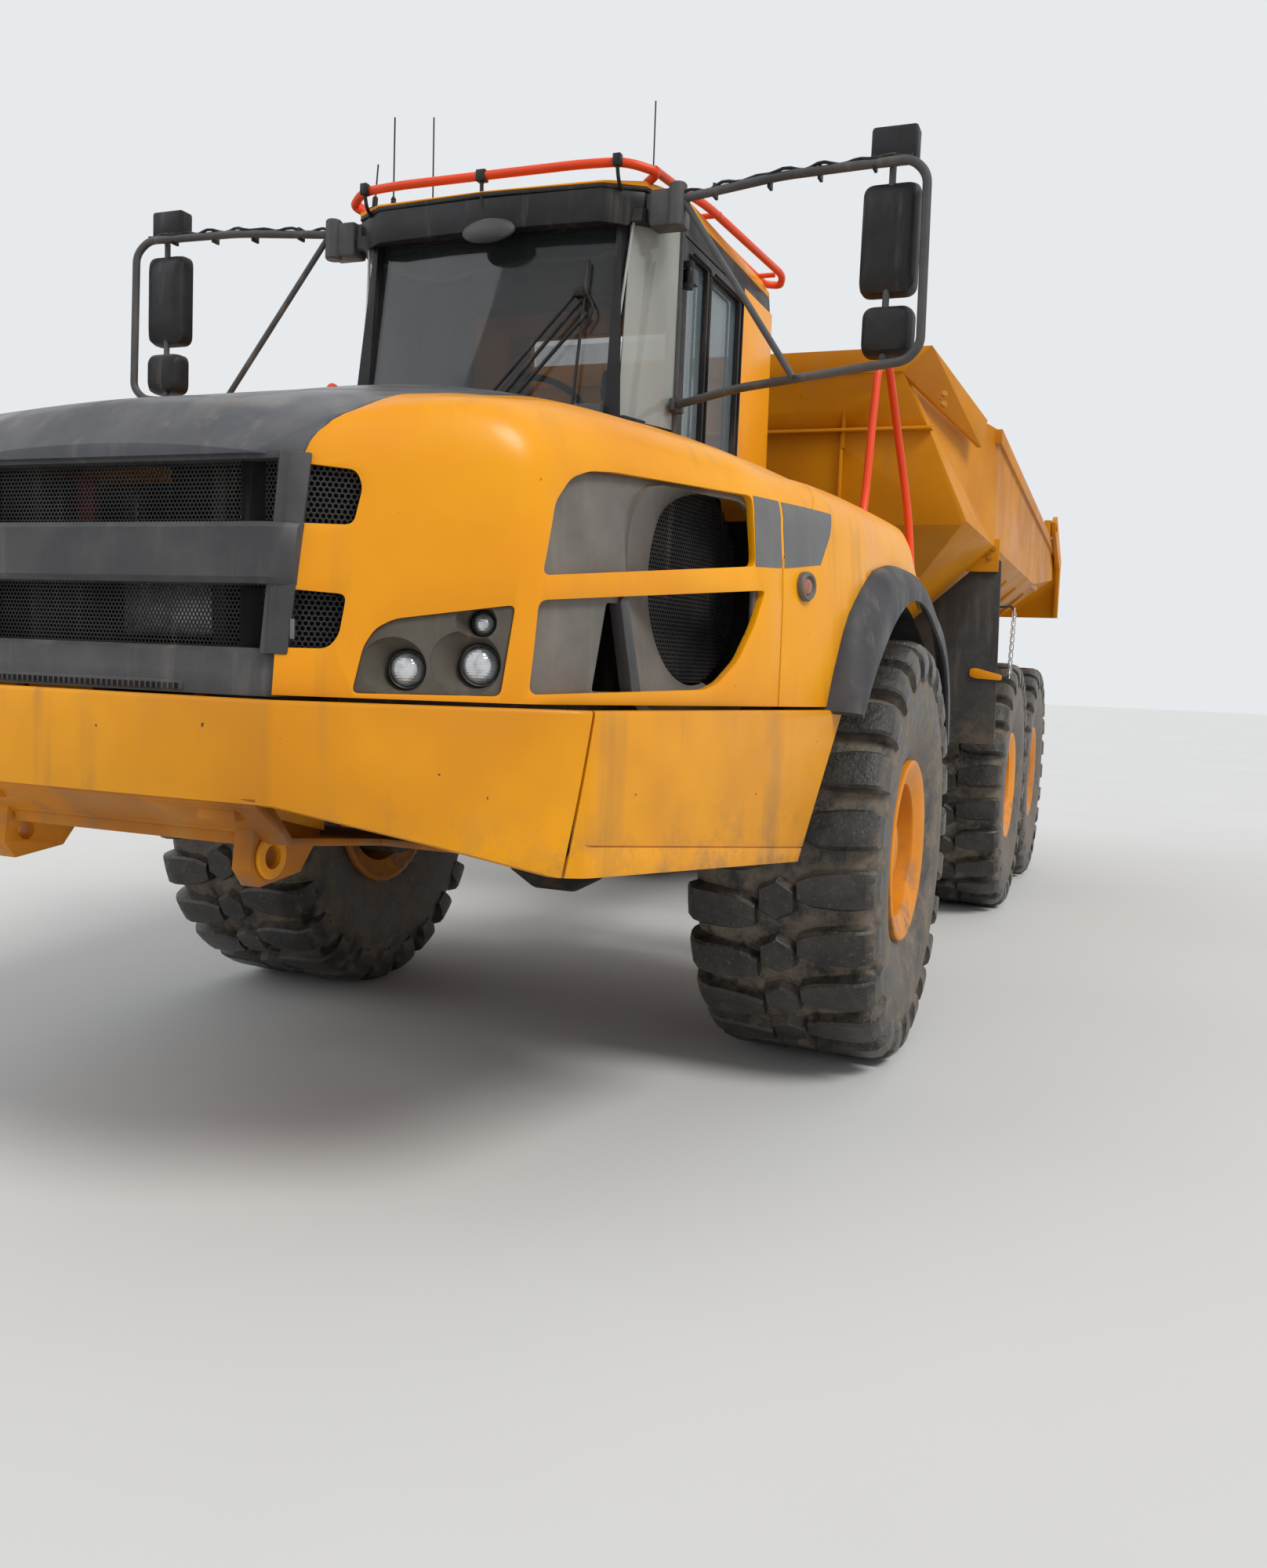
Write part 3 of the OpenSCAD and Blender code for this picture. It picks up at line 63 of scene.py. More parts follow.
FRONT_AXLE_X = sum(corner.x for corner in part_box("tyre_front_left")) / 2
AXLE_Z = sum(corner.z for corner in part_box("tyre_front_left")) / 2
TYRE_R = AXLE_Z
NOSE_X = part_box("bumper")[1].x - FRONT_AXLE_X
TAIL_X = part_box("tailgate")[0].x - FRONT_AXLE_X

# A honeycomb's rows and cell sides, as shares of the distance between cells.
HEX_ROW = 0.866
HEX_SIDE = 0.5774

# A part's edges that bend more than this many radians are bevelled.
SHARP = 0.5

# Points closer than this join, in drawn pieces and in pieces that start from the frame's solids.
MERGE = 1e-5
CAD_MERGE = 2e-4

# Frame faces that bend less than the first angle join, and bevelled pieces are smooth below the second.
FLAT_DEGREES = 1.0
SMOOTH_DEGREES = 40


class Slot(Enum):
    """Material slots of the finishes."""

    PAINT = "amber_paint"
    CHASSIS = "chassis_grey"
    GREY = "grey_plastic"
    BLACK = "black_plastic"
    FLAP = "flap_rubber"
    TYRE = "tyre_rubber"
    GLASS = "clear_glass"
    ORANGE = "orange_paint"
    IRON = "engine_iron"
    CORE = "radiator_metal"
    EXHAUST = "exhaust_steel"
    CHROME = "rod_chrome"
    CLOTH = "seat_cloth"


class Graph:
    """Adds and joins the nodes of one material."""

    def __init__(self, name: str) -> None:
        """Makes an empty node material.

        Args:
            name: The material's name.
        """
        self.material = bpy.data.materials.new(name)
        self.material.use_nodes = True
        self.tree = self.material.node_tree
        self.tree.nodes.clear()
        self.out = self.tree.nodes.new("ShaderNodeOutputMaterial")
        self.coords = self.tree.nodes.new("ShaderNodeTexCoord").outputs["Object"]

    def add(self, kind: str, settings: dict | None = None, **inputs: object) -> bpy.types.Node:
        """Adds a node, sets its properties and its inputs.

        Args:
            kind: The node's type without the ShaderNode prefix.
            settings: Properties of the node.
            **inputs: Values or sockets by input name, with underscores for spaces.

        Returns:
            The new node.
        """
        node = self.tree.nodes.new("ShaderNode" + kind)
        for key, value in (settings or {}).items():
            setattr(node, key, value)
        for key, value in inputs.items():
            self.feed(node.inputs[key.replace("_", " ")], value)
        return node

    def feed(self, socket: Socket, value: object) -> None:
        """Joins a socket to an input, or sets the input's value.

        Args:
            socket: The input.
            value: A socket, a number or a colour.
        """
        if isinstance(value, Socket):
            self.tree.links.new(value, socket)
        elif socket.type == "RGBA" and len(value) == 3:
            socket.default_value = (*value, 1.0)
        else:
            socket.default_value = value

    def noise(self, scale: float, detail: float = 3.0, stretch: Point = (1, 1, 1),
              rough: float = 0.55) -> Socket:
        """A noise value on Object coordinates.

        Args:
            scale: Noise scale in cells a metre.
            detail: Octaves of the noise.
            stretch: Scale of the coordinates along each axis.
            rough: Roughness of the octaves.

        Returns:
            The noise's value socket.
        """
        placed = self.add("Mapping", Vector=self.coords, Scale=tuple(stretch)).outputs["Vector"]
        return self.add("TexNoise", Vector=placed, Scale=scale, Detail=detail,
                        Roughness=rough).outputs["Fac"]

    def ramp(self, value: Socket, low: float, high: float, to_low: float = 0.0,
             to_high: float = 1.0) -> Socket:
        """Maps a value smoothly from one range to another and clamps it.

        Args:
            value: The value's socket.
            low: Where the range starts.
            high: Where the range ends.
            to_low: The result at its start.
            to_high: The result at its end.

        Returns:
            The result's socket.
        """
        node = self.add("MapRange", {"interpolation_type": "SMOOTHSTEP"}, Value=value)
        for key, number in zip(("From Min", "From Max", "To Min", "To Max"), (low, high, to_low, to_high)):
            node.inputs[key].default_value = number
        return node.outputs["Result"]

    def math(self, operation: str, a: object, b: object = 0.5) -> Socket:
        """Joins two values by a math operation.

        Args:
            operation: The operation's name.
            a: The first value or socket.
            b: The second value or socket.

        Returns:
            The result's socket.
        """
        node = self.add("Math", {"operation": operation, "use_clamp": operation != "POWER"})
        self.feed(node.inputs[0], a)
        self.feed(node.inputs[1], b)
        return node.outputs[0]

    def mix(self, factor: object, a: object, b: object) -> Socket:
        """Mixes two colours by a factor.

        Args:
            factor: Share of the second colour.
            a: The first colour or socket.
            b: The second colour or socket.

        Returns:
            The colour's socket.
        """
        node = self.add("Mix", {"data_type": "RGBA"})
        for socket, value in zip((node.inputs[0], node.inputs[6], node.inputs[7]), (factor, a, b)):
            self.feed(socket, value)
        return node.outputs[2]

    def axis(self, source: Socket, name: str) -> Socket:
        """One component of a vector socket."""
        return self.add("SeparateXYZ", Vector=source).outputs[name]

    def normal_up(self) -> Socket:
        """The upward part of the surface's normal."""
        return self.axis(self.add("NewGeometry").outputs["Normal"], "Z")

    def bump(self, height: Socket, distance: float, strength: float = 1.0, under: object = None) -> Socket:
        """A bumped normal.

        Args:
            height: The height's socket.
            distance: Height of the relief in metres.
            strength: Share of the relief that shows.
            under: A normal socket that this bump lies on.

        Returns:
            The normal socket.
        """
        node = self.add("Bump", Height=height, Distance=distance, Strength=strength)
        if under is not None:
            self.feed(node.inputs["Normal"], under)
        return node.outputs["Normal"]

    def finish(self, **inputs: object) -> bpy.types.Material:
        """Joins everything in a principled shader and returns the material.

        Args:
            **inputs: Values or sockets of the shader by input name.

        Returns:
            The material.
        """
        shader = self.add("BsdfPrincipled", **inputs)
        self.tree.links.new(shader.outputs[0], self.out.inputs["Surface"])
        return self.material


MUD = (0.15, 0.112, 0.078)
DRY_MUD = (0.3, 0.245, 0.185)


@dataclass(frozen=True)
class Paint:
    """Gloss paint with streaks, dust, low mud and chips."""

    name: str
    slot: Slot
    color: Point
    shade: Point
    rough: float = 0.34
    streaks: float = 0.4
    mud_top: float = 1.3
    chips: float = 0.5
    coat: float = 0.06
    gloss: float = 0.28

    def build(self) -> bpy.types.Material:
        """Makes the node material.

        Returns:
            The material.
        """
        g = Graph(self.name)
        height = g.axis(g.coords, "Z")
        tone = g.ramp(g.noise(0.9, 4), 0.35, 0.68)
        color = g.mix(tone, self.color, self.shade)
        streak = g.ramp(g.noise(5.0, 3, (1.6, 1.6, 0.09)), 0.52, 0.74)
        patch = g.ramp(g.noise(1.6, 3), 0.38, 0.62)
        amount = g.math("MULTIPLY", g.math("MULTIPLY", streak, patch), self.streaks)
        color = g.mix(amount, color, (0.42, 0.19, 0.03))
        dust = g.math("MULTIPLY", g.ramp(g.normal_up(), 0.55, 0.95), g.ramp(g.noise(3.2, 5), 0.4, 0.75))
        color = g.mix(g.math("MULTIPLY", dust, 0.12), color, DRY_MUD)
        low = g.ramp(height, self.mud_top + 0.25, self.mud_top - 0.35)
        splash = g.math("MULTIPLY", low, g.ramp(g.noise(6.5, 6, rough=0.7), 0.45, 0.66))
        color = g.mix(g.math("MULTIPLY", splash, 0.8), color, MUD)
        chip = g.math("MULTIPLY", g.ramp(g.noise(31, 2), 0.765, 0.785), self.chips)
        color = g.mix(chip, color, (0.055, 0.032, 0.02))
        rough = g.ramp(g.noise(2.4, 4), 0.3, 0.7, self.rough - 0.06, self.rough + 0.12)
        rough = g.math("MAXIMUM", rough, g.math("MULTIPLY", g.math("ADD", splash, dust), 0.75))
        waves = g.bump(g.noise(2.3, 2), 0.006, 0.3)
        peel = g.bump(g.noise(240, 2), 0.0004, 0.25, waves)
        return g.finish(Base_Color=color, Roughness=rough, Normal=peel, Specular_IOR_Level=self.gloss,
                        Coat_Weight=self.coat, Coat_Roughness=0.12)


@dataclass(frozen=True)
class Moulding:
    """Moulded plastic or rubber: fine grain, light scuffs, wipes, dust on upward faces and low mud."""

    name: str
    slot: Slot
    color: Point
    worn: Point
    rough: float = 0.45
    grain: float = 700.0
    relief: float = 0.0003
    mud_top: float = 0.0
    gloss: float = 0.25

    def build(self) -> bpy.types.Material:
        """Makes the node material.

        Returns:
            The material.
        """
        g = Graph(self.name)
        wear = g.ramp(g.noise(2.6, 5, rough=0.65), 0.36, 0.7)
        color = g.mix(wear, self.color, self.worn)
        wipe = g.math("MULTIPLY", g.ramp(g.noise(14, 3, (1, 1, 0.12)), 0.55, 0.75), 0.4)
        color = g.mix(wipe, color, tuple(0.6 * c + 0.4 * m for c, m in zip(self.worn, DRY_MUD)))
        dust = g.math("MULTIPLY", g.ramp(g.normal_up(), 0.5, 1.0), g.ramp(g.noise(7, 5), 0.42, 0.72))
        color = g.mix(g.math("MULTIPLY", dust, 0.3), color, DRY_MUD)
        low = g.ramp(g.axis(g.coords, "Z"), self.mud_top + 0.3, self.mud_top - 0.3)
        splash = g.math("MULTIPLY", low, g.ramp(g.noise(5.5, 6, rough=0.7), 0.4, 0.62))
        color = g.mix(g.math("MULTIPLY", splash, 0.85), color, MUD)
        rough = g.ramp(g.noise(4, 4), 0.3, 0.7, self.rough - 0.08, self.rough + 0.12)
        rough = g.math("MAXIMUM", rough, g.math("MULTIPLY", splash, 0.8))
        normal = g.bump(g.noise(self.grain, 2), self.relief, 0.5)
        return g.finish(Base_Color=color, Roughness=rough, Normal=normal, Specular_IOR_Level=self.gloss)


@dataclass(frozen=True)
class TyreRubber:
    """Tyre rubber, wet black on the lugs with mud in the grooves and dust on the walls."""

    name: str = "tyre rubber"
    slot: Slot = Slot.TYRE

    def build(self) -> bpy.types.Material:
        """Makes the node material; the attribute 'raised' is 1 on lug tops and 0 between them.

        Returns:
            The material.
        """
        g = Graph(self.name)
        raised = g.add("Attribute", {"attribute_name": "raised"}).outputs["Fac"]
        base = g.mix(g.ramp(g.noise(9, 5), 0.35, 0.7), (0.008, 0.008, 0.008), (0.024, 0.022, 0.02))
        cake = g.ramp(g.noise(7, 7, rough=0.72), 0.36, 0.62)
        hollow = g.math("SUBTRACT", 1.0, raised)
        groove = g.math("MULTIPLY", g.math("ADD", g.math("MULTIPLY", hollow, 0.62), 0.1), cake)
        color = g.mix(groove, base, g.mix(g.noise(26, 4), MUD, DRY_MUD))
        crumbs = g.ramp(g.noise(60, 4, rough=0.7), 0.58, 0.7)
        color = g.mix(g.math("MULTIPLY", crumbs, 0.3), color, DRY_MUD)
        rough = g.ramp(groove, 0.0, 0.8, 0.34, 0.8)
        lumps = g.bump(g.noise(26, 6, rough=0.7), 0.012, 0.55)
        return g.finish(Base_Color=color, Roughness=rough,
                        Normal=g.bump(g.noise(150, 3), 0.002, 0.5, lumps))


@dataclass(frozen=True)
class Metal:
    """Bare or plated metal with drawn lines and stains."""

    name: str
    slot: Slot
    color: Point
    stain: Point
    rough: float = 0.25
    metallic: float = 1.0
    stained: float = 0.4

    def build(self) -> bpy.types.Material:
        """Makes the node material.

        Returns:
            The material.
        """
        g = Graph(self.name)
        spots = g.math("MULTIPLY", g.ramp(g.noise(11, 6, rough=0.7), 0.42, 0.68), self.stained)
        color = g.mix(spots, self.color, self.stain)
        rough = g.ramp(spots, 0.0, 1.0, self.rough, 0.75)
        normal = g.bump(g.noise(90, 3, (1, 1, 14)), 0.0004, 0.4)
        return g.finish(Base_Color=color, Roughness=rough, Metallic=self.metallic, Normal=normal)


@dataclass(frozen=True)
class Glass:
    """Clear glass with a thin film of dust."""

    name: str
    slot: Slot
    color: Point
    alpha: float
    film: float = 0.12

    def build(self) -> bpy.types.Material:
        """Makes the node material.

        Returns:
            The material.
        """
        g = Graph(self.name)
        film = g.ramp(g.noise(3.0, 6, (1, 1, 0.5), 0.7), 0.4, 0.75, self.alpha, self.alpha + self.film)
        rough = g.ramp(g.noise(5.0, 4), 0.4, 0.8, 0.02, 0.1)
        return g.finish(Base_Color=self.color, Roughness=rough, Alpha=film, IOR=1.5, Coat_Weight=0.6,
                        Coat_Roughness=0.02)


@dataclass(frozen=True)
class Cloth:
    """Woven seat cloth."""

    name: str
    slot: Slot
    color: Point
    thread: Point

    def build(self) -> bpy.types.Material:
        """Makes the node material.

        Returns:
            The material.
        """
        g = Graph(self.name)
        weave = g.add("TexWave", {"bands_direction": "DIAGONAL"}, Vector=g.coords, Scale=180.0,
                      Distortion=1.5).outputs["Fac"]
        color = g.mix(g.math("MULTIPLY", weave, g.noise(60, 3)), self.color, self.thread)
        return g.finish(Base_Color=color, Roughness=0.9, Normal=g.bump(weave, 0.0006, 0.6),
                        Sheen_Weight=0.3)


@dataclass(frozen=True)
class LampGlass:
    """A lamp's lens, ribbed and a little dusty."""

    name: str
    slot: Slot
    color: Point
    rough: float = 0.06

    def build(self) -> bpy.types.Material:
        """Makes the node material.

        Returns:
            The material.
        """
        g = Graph(self.name)
        ribs = g.add("TexWave", {"bands_direction": "Z"}, Vector=g.coords, Scale=42.0).outputs["Fac"]
        cloud = g.mix(g.ramp(g.noise(30, 4), 0.4, 0.7), self.color, tuple(0.55 * c for c in self.color))
        return g.finish(Base_Color=cloud, Roughness=self.rough, Metallic=0.55,
                        Normal=g.bump(ribs, 0.001, 0.4), Coat_Weight=1.0, Coat_Roughness=0.03)


class Finish(Enum):
    """Every finish on the truck, with its values in the order of its class's fields."""

    AMBER = Paint("amber paint", Slot.PAINT, (0.83, 0.345, 0.001), (0.74, 0.275, 0.001))
    BODY_AMBER = Paint("body amber paint", Slot.PAINT, (0.62, 0.235, 0.001), (0.46, 0.16, 0.001), 0.48,
                       0.75, 1.5, 0.9, 0.02, 0.18)
    RIM_AMBER = Paint("rim amber paint", Slot.PAINT, (0.72, 0.245, 0.002), (0.46, 0.145, 0.002), 0.42, 0.5,
                      0.9, 0.8, 0.04)
    CHASSIS = Moulding("chassis grey", Slot.CHASSIS, (0.04, 0.038, 0.036), (0.075, 0.067, 0.058), 0.62, 160,
                       0.0008, 1.55)
    BUMPER = Paint("bumper amber paint", Slot.PAINT, (0.8, 0.33, 0.001), (0.58, 0.215, 0.001), 0.38, 1.0,
                   1.16, 1.0, 0.06)
    # Darker amber, browner where worn, for the plates under and inside the bumper.
    BUMPER_DARK = Paint("under guard amber paint", Slot.PAINT, (0.58, 0.205, 0.002), (0.24, 0.075, 0.004),
                        0.5, 1.0, 1.24, 1.0, 0.03)
    RIM_DARK = Paint("wheel nut paint", Slot.PAINT, (0.5, 0.2, 0.01), (0.3, 0.12, 0.006), 0.5, 0.3, 0.9,
                     0.9, 0.0)
    PLATE = Moulding("plate grey", Slot.GREY, (0.12, 0.12, 0.122), (0.15, 0.148, 0.146), 0.38)
    GREY = Moulding("grey plastic", Slot.GREY, (0.046, 0.046, 0.049), (0.074, 0.073, 0.074), 0.42)
    # Grey plastic made darker and warmer than the other greys: painted shade and a painted reflection of
    # the amber paint.
    LAMP_PANEL = Moulding("lamp panel plastic with painted shade and amber reflection", Slot.GREY, (0.07, 0.061, 0.047), (0.104, 0.092, 0.074),
                          0.44)
    GREY_PANEL = Moulding("grey panel plastic", Slot.GREY, (0.115, 0.104, 0.092), (0.165, 0.148, 0.128),
                          0.4)
    # Dark grey plastic; its blue tint is a painted reflection of the sky on the cover's top.
    HOOD_GREY = Moulding("hood grey with painted sky reflection", Slot.GREY, (0.06, 0.062, 0.07), (0.092, 0.094, 0.104), 0.34)
    BLACK = Moulding("black plastic", Slot.BLACK, (0.01, 0.01, 0.011), (0.022, 0.022, 0.024), 0.45)
    MESH = Moulding("black mesh", Slot.BLACK, (0.018, 0.018, 0.019), (0.045, 0.043, 0.042), 0.5)
    # Near black used as painted shade: sheets, slots and gaps where only shade would show.
    SHADOW = Moulding("dark space", Slot.BLACK, (0.004, 0.004, 0.004), (0.007, 0.007, 0.007), 0.85)
    MIRROR_GREY = Moulding("mirror grey", Slot.CHASSIS, (0.055, 0.056, 0.058), (0.09, 0.09, 0.092), 0.45)
    FLAP = Moulding("flap rubber", Slot.FLAP, (0.034, 0.034, 0.035), (0.066, 0.062, 0.057), 0.58, 300,
                    0.0006, 1.5)
    FLARE = Moulding("flare rubber", Slot.FLAP, (0.036, 0.036, 0.039), (0.058, 0.057, 0.06), 0.5, 500,
                     0.0004, 1.1)
    TYRE = TyreRubber()
    GLASS = Glass("clear cab glass", Slot.GLASS, (0.2, 0.25, 0.26), 0.16)
    CAB_AMBER = Paint("cab amber paint", Slot.PAINT, (0.84, 0.325, 0.001), (0.72, 0.25, 0.001), 0.36, 0.3,
                      0.6, 0.3)
    WINDSCREEN = Glass("windscreen glass", Slot.GLASS, (0.03, 0.036, 0.038), 0.42, 0.1)
    QUARTER_GLASS = Glass("quarter glass", Slot.GLASS, (0.36, 0.375, 0.35), 0.72, 0.2)
    DOOR_GLASS = Glass("door glass", Slot.GLASS, (0.2, 0.26, 0.29), 0.45, 0.15)
    SEAM = Moulding("glass seam", Slot.BLACK, (0.34, 0.34, 0.32), (0.44, 0.44, 0.42), 0.3)
    ORANGE = Paint("orange red paint", Slot.ORANGE, (0.84, 0.07, 0.01), (0.6, 0.045, 0.008), 0.38, 0.15,
                   0.5, 0.5, 0.05)
    IRON = Moulding("engine iron", Slot.IRON, (0.05, 0.05, 0.052), (0.085, 0.08, 0.075), 0.7, 120, 0.001)
    RED_PART = Paint("red hood part", Slot.ORANGE, (0.6, 0.035, 0.02), (0.42, 0.02, 0.012), 0.45, 0.2, 0.0,
                     0.2, 0.1)
    CORE = Metal("radiator metal", Slot.CORE, (0.62, 0.62, 0.61), (0.3, 0.28, 0.25), 0.35, 0.8, 0.5)
    EXHAUST = Metal("exhaust steel", Slot.EXHAUST, (0.3, 0.27, 0.25), (0.2, 0.11, 0.06), 0.45, 1.0, 0.8)
    CHROME = Metal("rod chrome", Slot.CHROME, (0.78, 0.78, 0.79), (0.35, 0.32, 0.3), 0.1, 1.0, 0.25)
    CLOTH = Cloth("seat cloth", Slot.CLOTH, (0.03, 0.03, 0.034), (0.075, 0.075, 0.082))
    LENS = LampGlass("lamp glass", Slot.GLASS, (0.62, 0.64, 0.66))
    AMBER_LENS = LampGlass("turn lamp glass", Slot.GLASS, (0.42, 0.13, 0.06), 0.15)
    MIRROR_GLASS = Metal("mirror glass", Slot.CHROME, (0.7, 0.74, 0.78), (0.45, 0.45, 0.45), 0.03, 1.0, 0.1)

    @property
    def slot(self) -> Slot:
        """The slot of this finish."""
        return self.value.slot

    def material(self) -> bpy.types.Material:
        """The node material, made once."""
        found = bpy.data.materials.get(self.value.name)
        return found or self.value.build()


def corner_curve(before: Point, corner: Point, after: Point, radius: float, steps: int) -> list[Vector]:
    """The curve that rounds one corner.

    Args:
        before: The point before the corner.
        corner: The corner.
        after: The point after the corner.
        radius: The corner radius, made less where a side is short.
        steps: Points along the corner besides its first.

    Returns:
        The curve's points.
    """
    p = Vector(corner)
    back, on = Vector(before) - p, Vector(after) - p
    reach = min(radius, 0.45 * back.length, 0.45 * on.length)
    a, b = p + back.normalized() * reach, p + on.normalized() * reach
    return [a * (1 - t) ** 2 + p * 2 * t * (1 - t) + b * t * t
            for t in (k / steps for k in range(steps + 1))]


def rounded(outline: Outline, radius: float, steps: int = 4) -> list[tuple[float, float]]:
    """An outline with its corners rounded.

    Args:
        outline: Corners in order.
        radius: The corner radius.
        steps: Points along each corner besides its first.

    Returns:
        The new outline.
    """
    trios = zip([outline[-1], *outline], outline, [*outline[1:], outline[0]])
    return [tuple(p) for trio in trios for p in corner_curve(*trio, radius, steps)]


def bent_path(points: Sequence[Point], radius: float, steps: int = 5) -> list[Vector]:
    """A path with each inner corner rounded.

    Args:
        points: The path's corners.
        radius: The corner radius.
        steps: Points along each corner besides its first.

    Returns:
        The path's points.
    """
    bends = [p for trio in zip(points, points[1:], points[2:]) for p in corner_curve(*trio, radius, steps)]
    return [Vector(points[0]), *bends, Vector(points[-1])]


def full_turn(count: int, shift: float = 0.0) -> list[float]:
    """Angles in even steps round a circle, from a part of a step on."""
    return [2 * math.pi * (k + shift) / count for k in range(count)]


def on_face(a: Point, b: Point, depth: float = 0.0) -> Matrix:
    """A place on an upright face: X along it from a to b, Y up and Z outwards.

    Args:
        a: X and Y of the face's front edge.
        b: X and Y of the face's rear edge.
        depth: How far behind the face the place lies.

    Returns:
        The matrix from face to machine coordinates.
    """
    turn = Matrix.Rotation(math.atan2(b[1] - a[1], b[0] - a[0]), 4, "Z") @ SIDE_PLANE
    return Matrix.Translation((a[0], a[1], 0)) @ turn @ Matrix.Translation((0, 0, -depth))


SIDE_PLANE = Matrix.Rotation(math.pi / 2, 4, "X")
CROSS_PLANE = Matrix(((0, 0, 1, 0), (1, 0, 0, 0), (0, 1, 0, 0), (0, 0, 0, 1)))
TO_AXLE = Matrix.Rotation(-math.pi / 2, 4, "X")
MIRROR = Matrix.Diagonal((1, -1, 1, 1))
HERE = Matrix.Identity(4)
ACROSS = (-2.0, 2.0, SIDE_PLANE)


def scene_object(name: str, data: bpy.types.ID) -> Piece:
    """Makes an object of some data and links it to the scene.

    Args:
        name: The object's name.
        data: The object's data.

    Returns:
        The object.
    """
    made = bpy.data.objects.new(name, data)
    bpy.context.scene.collection.objects.link(made)
    return made


class Shape:
    """A mesh under construction, made of simple solids."""

    def __init__(self) -> None:
        """Starts with an empty mesh."""
        self.bm = bmesh.new()

    def take(self, part: bmesh.types.BMesh, place: Matrix = HERE, bevel: float = 0.0,
             segments: int = 2) -> Shape:
        """Adds a part, bevelled and placed.

        Args:
            part: The part's mesh, freed afterwards.
            place: The part's place.
            bevel: Width of the bevel on its sharp edges.
            segments: Segments of the bevel.

        Returns:
            This shape.
        """
        bmesh.ops.recalc_face_normals(part, faces=part.faces)
        if bevel > 0:
            sharp = [e for e in part.edges if e.is_manifold and e.calc_face_angle(0) > SHARP]
            bmesh.ops.bevel(part, geom=sharp, offset=bevel, segments=segments, affect="EDGES", profile=0.5,
                            clamp_overlap=True)
        part.transform(place)
        if place.determinant() < 0:
            bmesh.ops.reverse_faces(part, faces=part.faces)
        return self.pour(part)

    def pour(self, part: bmesh.types.BMesh) -> Shape:
        """Adds a part's mesh as it is and frees the part.

        Args:
            part: The part's mesh.

        Returns:
            This shape.
        """
        mesh = bpy.data.meshes.new("part")
        part.to_mesh(mesh)
        part.free()
        self.bm.from_mesh(mesh)
        bpy.data.meshes.remove(mesh)
        return self

    def box(self, low: Point, high: Point, bevel: float = 0.004, place: Matrix = HERE) -> Shape:
        """Adds a box between two corners.

        Args:
            low: The lowest corner.
            high: The highest corner.
            bevel: Width of the bevel on its edges.
            place: The box's place.

        Returns:
            This shape.
        """
        part = bmesh.new()
        bmesh.ops.create_cube(part, size=1.0)
        size, middle = Vector(high) - Vector(low), (Vector(high) + Vector(low)) / 2
        part.transform(Matrix.Translation(middle) @ Matrix.Diagonal((*size, 1)))
        return self.take(part, place, bevel)

    def prism(self, outline: Outline, low: float, high: float, place: Matrix, bevel: float = 0.0,
              segments: int = 2) -> Shape:
        """Adds an outline pulled from one height to another along the place's Z.

        Args:
            outline: The outline in the place's X and Y.
            low: The first height.
            high: The last height.
            place: The outline's place.
            bevel: Width of the bevel on its sharp edges.
            segments: Segments of the bevel.

        Returns:
            This shape.
        """
        part = bmesh.new()
        rings = [[part.verts.new((p[0], p[1], z)) for p in outline] for z in (low, high)]
        count = len(outline)
        part.faces.new(rings[0][::-1])
        part.faces.new(rings[1])
        for i in range(count):
            j = (i + 1) % count
            part.faces.new((rings[0][i], rings[0][j], rings[1][j], rings[1][i]))
        return self.take(part, place, bevel, segments)

    def loft(self, rings: Sequence[Sequence[Point]], closed: bool = True, capped: bool = True,
             place: Matrix = HERE) -> Shape:
        """Adds a skin over rings of points.

        Args:
            rings: Rings with the same number of points.
            closed: Whether each ring meets itself.
            capped: Whether the end rings are filled.
            place: The place of the whole.

        Returns:
            This shape.
        """
        part = bmesh.new()
        made = [[part.verts.new(p) for p in ring] for ring in rings]
        count = len(rings[0])
        for one, two in zip(made, made[1:]):
            for i in range(count if closed else count - 1):
                j = (i + 1) % count
                part.faces.new((one[i], one[j], two[j], two[i]))
        if capped:
            part.faces.new(made[0][::-1])
            part.faces.new(made[-1])
        return self.take(part, place)

    def lathe(self, profile: Outline, place: Matrix, segments: int = 48, closed: bool = False) -> Shape:
        """Adds a turned solid: radius and height along the place's Z.

        Args:
            profile: Radius and height pairs; a radius of nearly zero closes on the axis.
            place: The axis's place.
            segments: Segments around.
            closed: Whether the profile meets itself, as on a ring.

        Returns:
            This shape.
        """
        part = bmesh.new()
        rings = []
        for r, h in profile:
            if r < 1e-6:
                rings.append([part.verts.new((0, 0, h))] * segments)
            else:
                turns = full_turn(segments)
                rings.append([part.verts.new((r * math.cos(a), r * math.sin(a), h)) for a in turns])
        pairs = list(zip(rings, rings[1:])) + ([(rings[-1], rings[0])] if closed else [])
        for one, two in pairs:
            for i in range(segments):
                j = (i + 1) % segments
                corners = list(dict.fromkeys((one[i], one[j], two[j], two[i])))
                if len(corners) > 2:
                    part.faces.new(corners)
        return self.take(part, place)

    def tube(self, points: Sequence[Point], d: float, bend: float = 0.06, sides: int = 12) -> Shape:
        """Adds a bent round tube through points, its ends closed.

        Args:
            points: Corners of the tube's middle line.
            d: The tube's diameter.
            bend: Radius of its bends.
            sides: Sides around.

        Returns:
            This shape.
        """
        path = bent_path(points, bend)
        step = (path[1] - path[0]).normalized()
        side = step.cross(Vector((0, 0, 1)) if abs(step.z) < 0.9 else Vector((1, 0, 0))).normalized()
        rings = []
        for i, p in enumerate(path):
            before = (p - path[i - 1]).normalized() if i else step
            after = (path[i + 1] - p).normalized() if i < len(path) - 1 else before
            along = (before + after).normalized()
            side = (side - along * side.dot(along)).normalized()
            other = along.cross(side)
            rings.append([p + (side * math.cos(a) + other * math.sin(a)) * d / 2 for a in full_turn(sides)])
        return self.loft(rings)

